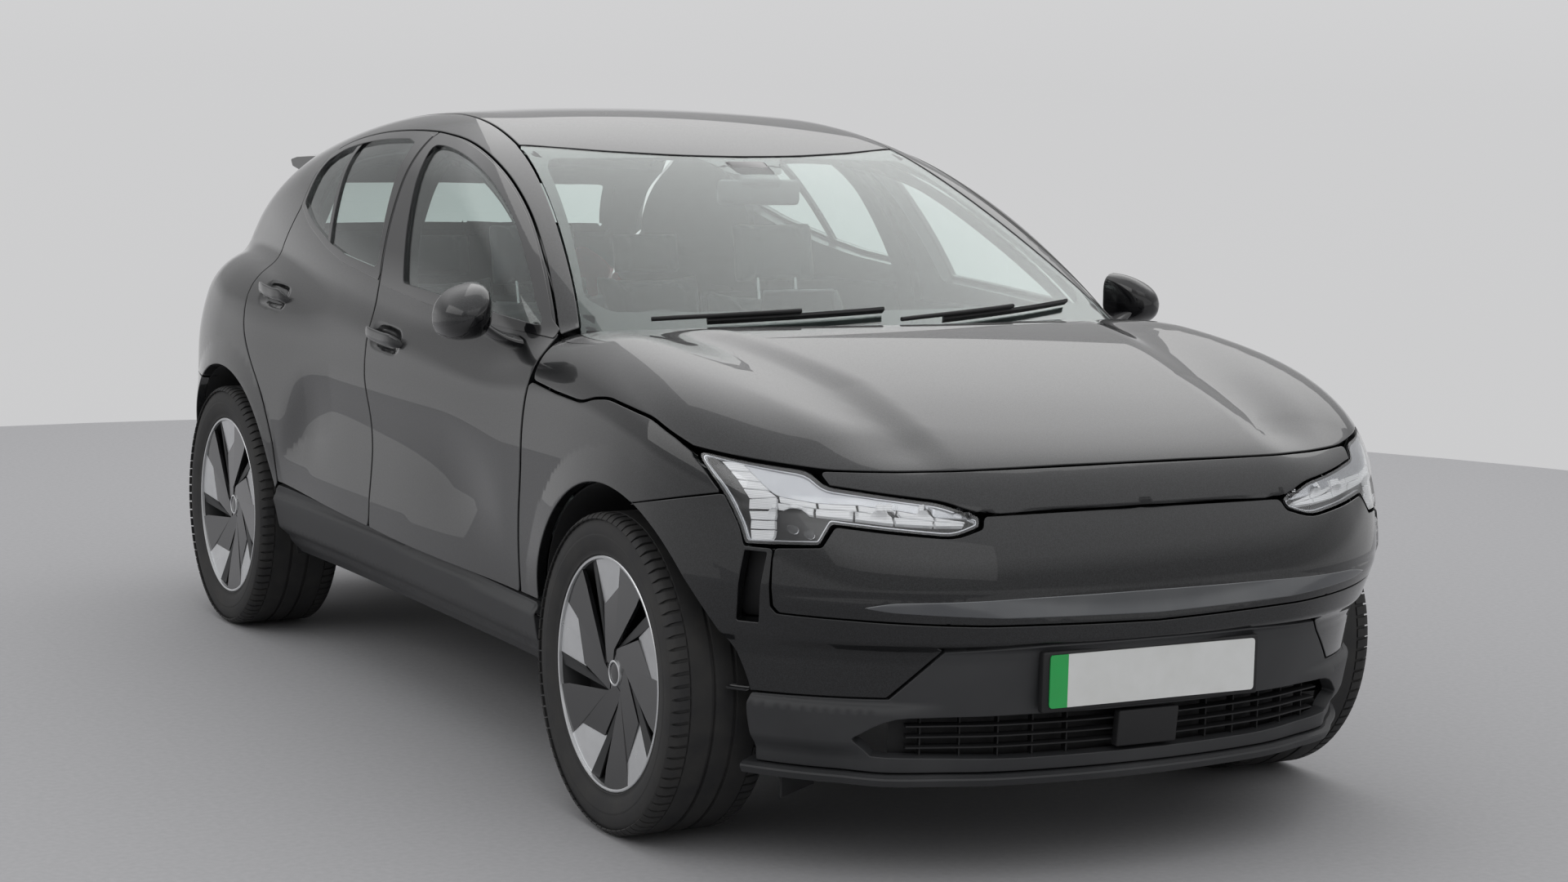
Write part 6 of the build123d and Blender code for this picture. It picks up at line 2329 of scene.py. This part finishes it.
# ---- Seats ----------------------------------------------------------------
# Foam seats under woven cloth: a cushion with raised sides, a backrest with sewn
# channels and a headrest on two steel posts; the rear bench is sewn as three.
def woven_cloth():
    """a fine basket weave of two grey yarns with a soft nap at grazing angles"""
    made = finish("seat_woven_cloth")
    tree = made.node_tree
    place = add_node(tree, "ShaderNodeTexCoord")
    warp = add_node(tree, "ShaderNodeTexWave", bands_direction="X", in_Scale=420.0, in_Distortion=0.6)
    weft = add_node(tree, "ShaderNodeTexWave", bands_direction="Z", in_Scale=420.0, in_Distortion=0.6)
    cloudy = add_node(tree, "ShaderNodeTexNoise", in_Scale=11.0, in_Detail=4.0)
    crossed = add_node(tree, "ShaderNodeMath", operation="MULTIPLY")
    tone = add_node(tree, "ShaderNodeMix", data_type="RGBA")
    tone.inputs["A"].default_value = (0.050, 0.052, 0.056, 1)
    tone.inputs["B"].default_value = (0.120, 0.122, 0.126, 1)
    wear = add_node(tree, "ShaderNodeMix", data_type="RGBA", blend_type="MULTIPLY", in_Factor=0.5)
    relief = add_node(tree, "ShaderNodeBump", in_Strength=0.3, in_Distance=0.0006)
    body = add_node(
        tree, "ShaderNodeBsdfPrincipled", in_Roughness=0.88, in_Sheen_Weight=0.35, in_Sheen_Roughness=0.5
    )
    wire(
        tree,
        (place.outputs["Object"], warp.inputs["Vector"]),
        (place.outputs["Object"], weft.inputs["Vector"]),
        (place.outputs["Object"], cloudy.inputs["Vector"]),
        (warp.outputs["Fac"], crossed.inputs[0]),
        (weft.outputs["Fac"], crossed.inputs[1]),
        (crossed.outputs[0], tone.inputs["Factor"]),
        (tone.outputs["Result"], wear.inputs["A"]),
        (cloudy.outputs["Color"], wear.inputs["B"]),
        (wear.outputs["Result"], body.inputs["Base Color"]),
        (crossed.outputs[0], relief.inputs["Height"]),
        (relief.outputs[0], body.inputs["Normal"]),
        (body.outputs[0], tree.nodes["out"].inputs["Surface"]),
    )
    return made


seat_cloth = woven_cloth()


def pad_form(wide, long, thick, bolster, channels, place):
    """a crowned closed pad; u runs across it, v along it, and place takes (u, v, w) to the car"""
    cloud, faces = [], []
    nu, nv = 34, 34
    for side in (1, -1):
        for j in range(nv + 1):
            for i in range(nu + 1):
                u, v = 2 * i / nu - 1, 2 * j / nv - 1
                edge = (1 - abs(u) ** 5) * (1 - abs(v) ** 5)
                rise = 0.5 * thick * max(edge, 0.0) ** 0.42
                if side > 0:
                    rise += bolster * ramp(abs(u), 0.52, 0.86) * (1 - abs(u) ** 6) * (1 - abs(v) ** 6)
                    seam = math.exp(-(((abs(u) - 0.56) / 0.035) ** 2)) * (1 - abs(v) ** 8)
                    rows = sum(math.exp(-(((v - c) / 0.04) ** 2)) for c in channels) * (
                        1 - ramp(abs(u), 0.44, 0.56)
                    )
                    rise -= 0.011 * (seam + min(rows, 1.0))
                pull = 1 - 0.035 * (1 - abs(v)) * abs(u) ** 3
                cloud.append(
                    place(
                        u * wide / 2 * pull, v * long / 2 * (1 - 0.03 * (1 - abs(u)) * abs(v) ** 3),
                        side * rise,
                    )
                )
    n = nu + 1
    back = n * (nv + 1)
    for j in range(nv):
        for i in range(nu):
            a = j * n + i
            faces.append((a, a + 1, a + n + 1, a + n))
            faces.append((back + a, back + a + n, back + a + n + 1, back + a + 1))
    return cloud, faces


def stuffed(name, form, voxel=0.008, reach=0.022):
    """the pad's mesh, swollen by a short cloth run"""
    cloud, faces = form
    mesh = bpy.data.meshes.new(name)
    mesh.from_pydata([tuple(p) for p in cloud], [], faces)
    work = bmesh.new()
    work.from_mesh(mesh)
    bmesh.ops.remove_doubles(work, verts=work.verts, dist=0.0004)
    bmesh.ops.recalc_face_normals(work, faces=work.faces)
    work.to_mesh(mesh)
    work.free()
    pad = stand(name, mesh)
    before = bpy.context.scene.frame_current
    coarse = pad.modifiers.new("remesh", "REMESH")
    coarse.mode = "VOXEL"
    coarse.voxel_size = voxel
    bpy.context.view_layer.update()
    even = bpy.data.meshes.new_from_object(pad.evaluated_get(bpy.context.evaluated_depsgraph_get()))
    pad.modifiers.clear()
    pad.data = even
    rest = np.array([v.co[:] for v in even.vertices])
    cloth = pad.modifiers.new("cloth", "CLOTH")
    cloth.settings.quality = 4
    cloth.settings.use_pressure = True
    cloth.settings.uniform_pressure_force = 4.0
    cloth.settings.effector_weights.gravity = 0
    cloth.settings.tension_stiffness = 25
    cloth.settings.bending_stiffness = 1.5
    cloth.point_cache.frame_start = 1
    cloth.point_cache.frame_end = 20
    for frame_number in range(1, 21):
        bpy.context.scene.frame_set(frame_number)
    swollen = bpy.data.meshes.new_from_object(pad.evaluated_get(bpy.context.evaluated_depsgraph_get()))
    pad.modifiers.clear()
    pad.data = swollen
    moved = np.array([v.co[:] for v in swollen.vertices]) - rest
    length = np.linalg.norm(moved, axis=1)
    keep = np.minimum(1, reach / np.maximum(length, 1e-9))[:, None] * moved
    swollen.vertices.foreach_set("co", (rest + keep).ravel())
    bpy.context.scene.frame_set(before)
    smooth = pad.modifiers.new("smooth", "SUBSURF")
    smooth.levels = smooth.render_levels = 1
    bpy.context.view_layer.update()
    final = bpy.data.meshes.new_from_object(pad.evaluated_get(bpy.context.evaluated_depsgraph_get()))
    pad.modifiers.clear()
    pad.data = final
    made = pad.data
    bpy.data.objects.remove(pad)
    made.materials.clear()
    made.materials.append(seat_cloth)
    made.polygons.foreach_set("use_smooth", [True] * len(made.polygons))
    return made


def leaned(x, y, z, lean):
    """places a pad that stands up, leaning back by lean degrees, its face forwards"""
    c, s = math.cos(math.radians(lean)), math.sin(math.radians(lean))
    return lambda u, v, w: (x + u, y + v * s - w * c, z + v * c + w * s)


def laid(x, y, z, tilt):
    """places a pad that lies down, its front edge raised by tilt degrees"""
    c, s = math.cos(math.radians(tilt)), math.sin(math.radians(tilt))
    return lambda u, v, w: (x + u, y + v * c + w * s, z - v * s + w * c)


def set_pad(name, mesh, shift=0.0, nodes_stood=()):
    own = mesh.copy()
    own.name = name
    own.transform(Matrix.Translation((shift, 0, 0)))
    piece = placed(name, own, "body", nodes_stood)


front_base = stuffed(
    "front_cushion", pad_form(0.47, 0.50, 0.115, 0.030, (-0.30, 0.05, 0.40), laid(0, -0.125, 0.475, 4))
)
front_back = stuffed(
    "front_backrest",
    pad_form(0.46, 0.58, 0.105, 0.028, (-0.55, -0.20, 0.15, 0.50), leaned(0, 0.205, 0.775, 17)),
)
head_pad = stuffed(
    "front_headrest", pad_form(0.25, 0.165, 0.085, 0.004, (), leaned(0, 0.300, 1.150, 12)), 0.006, 0.012
)
for hand, shift in (("left", 0.37), ("right", -0.37)):
    set_pad("front_cushion_" + hand, front_base, shift, ("front_seats",) if hand == "left" else ())
    set_pad("front_backrest_" + hand, front_back, shift)
    set_pad("front_headrest_" + hand, head_pad, shift)
side_base = stuffed(
    "bench_cushion", pad_form(0.40, 0.47, 0.12, 0.006, (-0.35, 0.15), laid(0, 0.690, 0.470, 4))
)
side_back = stuffed(
    "bench_backrest", pad_form(0.40, 0.50, 0.10, 0.006, (-0.45, 0.0, 0.45), leaned(0, 0.985, 0.810, 20))
)
bench_head = stuffed(
    "bench_headrest", pad_form(0.22, 0.12, 0.07, 0.0, (), leaned(0, 1.075, 1.100, 14)), 0.006, 0.010
)
for label, shift in (("left", 0.345), ("middle", 0.0), ("right", -0.345)):
    scale = 0.82 if label == "middle" else 1.0
    for kind, mesh in (("cushion", side_base), ("backrest", side_back)):
        own = mesh.copy()
        own.transform(Matrix.Diagonal((scale * 0.90, 1, 1, 1)))
        set_pad(
            "bench_%s_%s" % (kind, label), own, shift,
            ("rear_bench",) if label == "left" and kind == "cushion" else (),
        )
    if label != "middle":
        set_pad("bench_headrest_" + label, bench_head, shift)

steel_bright = moulded_finish(
    "steel_bright", (0.55, 0.55, 0.56), (0.45, 0.45, 0.46), (0.18, 0.28), patch=20.0, bump=0,
    in_Metallic=1.0,
)
shell_grey = moulded_finish(
    "seat_shell_plastic", (0.028, 0.029, 0.031), (0.040, 0.041, 0.043), (0.5, 0.68), scale=1200.0
)


def tube(points, radius, count=12):
    """a round bar through a few points"""
    line = np.array(points, float)
    cloud = []
    for k, p in enumerate(line):
        way = line[min(k + 1, len(line) - 1)] - line[max(k - 1, 0)]
        way /= np.linalg.norm(way)
        a = np.cross(way, [0.3, 0.9, 0.1])
        a /= np.linalg.norm(a)
        b = np.cross(way, a)
        cloud += [
            p + radius * (math.cos(t) * a + math.sin(t) * b)
            for t in np.linspace(0, 2 * math.pi, count, endpoint=False)
        ]
    return np.array(cloud), hose_faces(len(line), count)


def joined(parts):
    cloud, faces = [], []
    for part, part_faces in parts:
        faces += [tuple(i + len(cloud) for i in f) for f in part_faces]
        cloud += [tuple(p) for p in part]
    return np.array(cloud), faces


posts = joined(
    [
        tube([(x + s * 0.06, 0.262, 1.02), (x + s * 0.06, 0.285, 1.12)], 0.006)
        for x in (0.37, -0.37)
        for s in (1, -1)
    ]
)
plain_piece("headrest_posts", posts[0], posts[1], [steel_bright], "body", sharp=0.8)
shells = []
for x in (0.37, -0.37):
    cloud, faces = soft_box((0.40, 0.035, 0.56), 0.015)
    turned = np.array(Matrix.Rotation(math.radians(-17), 3, "X"))
    shells.append((cloud @ turned.T + [x, 0.272, 0.770], faces))
    cloud, faces = soft_box((0.44, 0.46, 0.075), 0.02)
    shells.append((cloud + [x, -0.125, 0.385], faces))
back_shells = joined(shells)
plain_piece(
    "seat_shells", back_shells[0], back_shells[1], [shell_grey], "body", sharp=0.6
)


# ---- Dashboard, screen and steering wheel ---------------------------------
# A grained dark dashboard with a full-width lower ledge, an upright glass tablet
# without its short foot, and a two-spoke padded wheel on the right-hand side.
screen_glass = moulded_finish(
    "tablet_glass", (0.008, 0.009, 0.011), (0.012, 0.013, 0.015), (0.04, 0.08), patch=10.0, bump=0,
    in_Coat_Weight=0.8,
)
dash_top = moulded_finish(
    "dash_grained_top", (0.035, 0.037, 0.040), (0.052, 0.054, 0.057), (0.62, 0.8), scale=1500.0, bump=0.3
)
sections = []
for x in np.linspace(-0.665, 0.665, 41):
    t = abs(x) / 0.665
    back = 0.06 * t**3
    sections.append([
        (x, -0.925 + 0.145 * t**2, 0.955), (x, -0.800 + 0.06 * t**2, 0.968), (x, -0.640 + back, 0.982),
        (x, -0.565 + back, 0.974), (x, -0.540 + back, 0.955),
        (x, -0.545 + back, 0.900), (x, -0.585 + back, 0.868), (x, -0.590 + back, 0.812),
        (x, -0.560 + back, 0.800), (x, -0.560 + back, 0.770),
        (x, -0.610 + back, 0.740), (x, -0.660, 0.600), (x, -0.850, 0.600),
    ])
dash_cloud = [p for row in sections for p in row]
dash_faces = hose_faces(len(sections), len(sections[0]), turned_ends=True)
plain_piece(
    "dashboard_moulding", dash_cloud, dash_faces, [dash_top], "body", ("dashboard",), sharp=0.5
)
cloud, faces = soft_box((0.205, 0.014, 0.275), 0.005)
plain_piece(
    "tablet_screen", cloud @ np.array(Matrix.Rotation(math.radians(8), 3, "X")).T + [0, -0.512, 0.975],
    faces, [screen_glass], "body", sharp=0.5,
)
console, console_faces = soft_box((0.20, 0.60, 0.16), 0.03)
plain_piece(
    "centre_console", console + [0, -0.22, 0.46], console_faces, [dash_top], "body",
    sharp=0.7,
)

tilt = np.array(Matrix.Rotation(math.atan2(0.42, 1.0), 3, "X"))
wheel_at = np.array([-0.37, -0.43, 0.90])
around = np.linspace(0, 2 * math.pi, 72, endpoint=False)
loop = []
for a in around:
    r = 0.170 - 0.018 * ramp(-math.sin(a), 0.80, 1.0) - 0.010 * ramp(math.sin(a), 0.85, 1.0)
    loop.append(np.array([r * math.cos(a), 0, r * math.sin(a)]))
rim_cloud, rim_faces = [], []
for k, p in enumerate(loop):
    away = p / np.linalg.norm(p)
    grip = 0.0145 + 0.0015 * math.cos(4 * around[k])
    rim_cloud += [
        p + away * grip * math.cos(t) + np.array([0, grip * 1.15 * math.sin(t), 0])
        for t in np.linspace(0, 2 * math.pi, 16, endpoint=False)
    ]
for k in range(72):
    m = (k + 1) % 72
    rim_faces += [(k * 16 + i, k * 16 + (i + 1) % 16, m * 16 + (i + 1) % 16, m * 16 + i) for i in range(16)]
boss, boss_faces = soft_box((0.19, 0.045, 0.120), 0.020)
spokes, spoke_faces = soft_box((0.315, 0.018, 0.030), 0.006)
stem, stem_faces = tube([(0, -0.13, 0), (0, -0.01, 0)], 0.030, 24)
wheel_all = joined(
    [
        (np.array(rim_cloud), rim_faces), (boss + [0, -0.004, -0.004], boss_faces), (spokes, spoke_faces),
        (stem, stem_faces),
    ]
)
plain_piece(
    "steering_wheel_padded", wheel_all[0] @ tilt.T + wheel_at, wheel_all[1], [shell_grey], "steering_wheel",
    ("steering_wheel",), sharp=0.6,
)

# ---- Windscreen furniture -------------------------------------------------
# An interior mirror under the sensor cover, the cowl moulding at the glass base
# and two wipers parked along it.
mirror_box, mirror_faces = soft_box((0.235, 0.030, 0.066), 0.012)
plain_piece(
    "interior_mirror", mirror_box + [0, -0.300, 1.345], mirror_faces, [trim_black], "body",
    sharp=0.6,
)
cover, cover_faces = soft_box((0.120, 0.120, 0.040), 0.012)
plain_piece(
    "sensor_cover", cover @ np.array(Matrix.Rotation(math.radians(26), 3, "X")).T + [0, -0.262, 1.385],
    cover_faces, [trim_black], "body", sharp=0.6,
)
cowl_rows = []
for x in np.linspace(-0.735, 0.735, 61):
    w = abs(x)
    on_glass = skin_at(cabin, [[x, 0.3, 1.043]], [[0.0, -1.0, 0.0]])[0]
    front_y = -1.104 + 0.33 * (w / 0.775) ** 2.4
    front_y = min(front_y, on_glass[1] - 0.004)
    cowl_rows.append(
        [
            (x, on_glass[1] + 0.012, 1.052), (x, on_glass[1] - 0.006, 1.040), (x, front_y, 1.030),
            (x, front_y, 1.008), (x, on_glass[1] + 0.012, 1.008),
        ]
    )
cowl_cloud = [p for row in cowl_rows for p in row]
cowl_faces = hose_faces(len(cowl_rows), len(cowl_rows[0]), turned_ends=True)
plain_piece(
    "windscreen_cowl", cowl_cloud, cowl_faces, [deep_black], "body", ("cowl_panel",), sharp=0.5
)


def wiper(pivot_x, tip_x, rise):
    """an arm and its blade lying on the glass just above the cowl"""
    xs = np.linspace(pivot_x, tip_x, 24)
    zs = 1.060 + rise * np.linspace(0, 1, 24) ** 0.9
    line = skin_at(cabin, np.stack([xs, np.full(24, 0.3), zs], 1), np.array([[0.0, -1.0, 0.0]]))
    away = skin_normals(cabin, line)
    blade = []
    for p, w in zip(line[5:], away[5:]):
        up = np.array([0, w[2], -w[1]])
        blade += [p + w * 0.002, p + w * 0.016 + up * 0.006, p + w * 0.020, p + w * 0.016 - up * 0.006]
    arm = tube([p + w * 0.026 for p, w in zip(line[:15:2], away[:15:2])], 0.0055, 10)
    return joined([(np.array(blade), hose_faces(len(line) - 5, 4, turned_ends=True)), arm])


wipers = joined([wiper(-0.60, -0.03, 0.030), wiper(-0.02, 0.58, 0.030)])
plain_piece("wipers", wipers[0], wipers[1], [deep_black], "body", sharp=0.5)


# ---- Wheel arch liners ----------------------------------------------------
# Pressed felt and plastic liners close each arch from the lip to the inner wall,
# open at the bottom; a round hole lets the drive shaft and steering through.
felt = moulded_finish(
    "arch_liner_felt", (0.016, 0.016, 0.017), (0.026, 0.026, 0.026), (0.85, 0.97), scale=350.0, bump=0.5
)
liner_cloud, liner_faces = [], []
for hub_y, inner_x in ((FRONT_AXLE, 0.500), (REAR_AXLE, 0.560)):
    angles = np.radians(np.linspace(-12, 192, 53))
    lip = np.stack([np.zeros(53), hub_y + 0.4165 * np.cos(angles), AXLE_Z + 0.4165 * np.sin(angles)], 1)
    low_skin = valance_skin if hub_y < 0 else lower_body
    edge = skin_at(lower_body, lip, [[1.0, 0, 0]])[:, 0]
    lower = skin_at(
        low_skin, np.column_stack([lip[:, 0], lip[:, 1], np.minimum(lip[:, 2], 0.30)]), [[1.0, 0, 0]]
    )[:, 0]
    edge = np.minimum(edge, lower + 1.2 * over(lip[:, 2] - 0.46)) - 0.026
    start = len(liner_cloud)
    for a, out in zip(angles, np.minimum(edge, 0.893)):
        rows = [
            (out, 0.4135), (inner_x + 0.03, 0.4125), (inner_x, 0.385), (inner_x, 0.125),
            (inner_x - 0.004, 0.125), (inner_x - 0.004, 0.389), (inner_x + 0.028, 0.4165), (out, 0.4165),
        ]
        liner_cloud += [(x, hub_y + r * math.cos(a), AXLE_Z + r * math.sin(a)) for x, r in rows]
    liner_faces += hose_faces(len(angles), len(rows), start, turned_ends=True)
for hand, flip in HANDS:
    liner = plain_piece(
        "arch_liner_" + hand, liner_cloud, liner_faces, [felt], "body", mirrored=flip,
        sharp=0.5,
    )
    if hand == "left":
        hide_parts("wheelhouses")


# ---- Parts kept from the solids -------------------------------------------
# The floor, battery case, motor, suspension and hubs show their own solids; they
# only get their real finishes: seam-sealed steel, cast alloy and dark coating.
coated = moulded_finish(
    "underbody_coating", (0.020, 0.020, 0.021), (0.045, 0.043, 0.040), (0.7, 0.9), scale=260.0, patch=3.0,
    bump=0.4,
)
casting = moulded_finish(
    "cast_alloy", (0.30, 0.30, 0.31), (0.20, 0.195, 0.19), (0.45, 0.6), scale=600.0, patch=9.0, bump=0.3,
    in_Metallic=0.8,
)
case_grey = moulded_finish(
    "battery_case_grey", (0.14, 0.145, 0.15), (0.09, 0.09, 0.092), (0.5, 0.65), scale=500.0, patch=4.0,
    in_Metallic=0.4,
)
kept = {
    "floor_pan": coated, "front_bay": coated, "battery_pack": case_grey, "drive_motor": casting,
    "front_suspension": coated, "rear_suspension": coated, "knuckle_left": casting,
    "knuckle_right": casting,
}
for node_name, item in kept.items():
    for place in nodes[node_name].material_slots:
        place.material = item
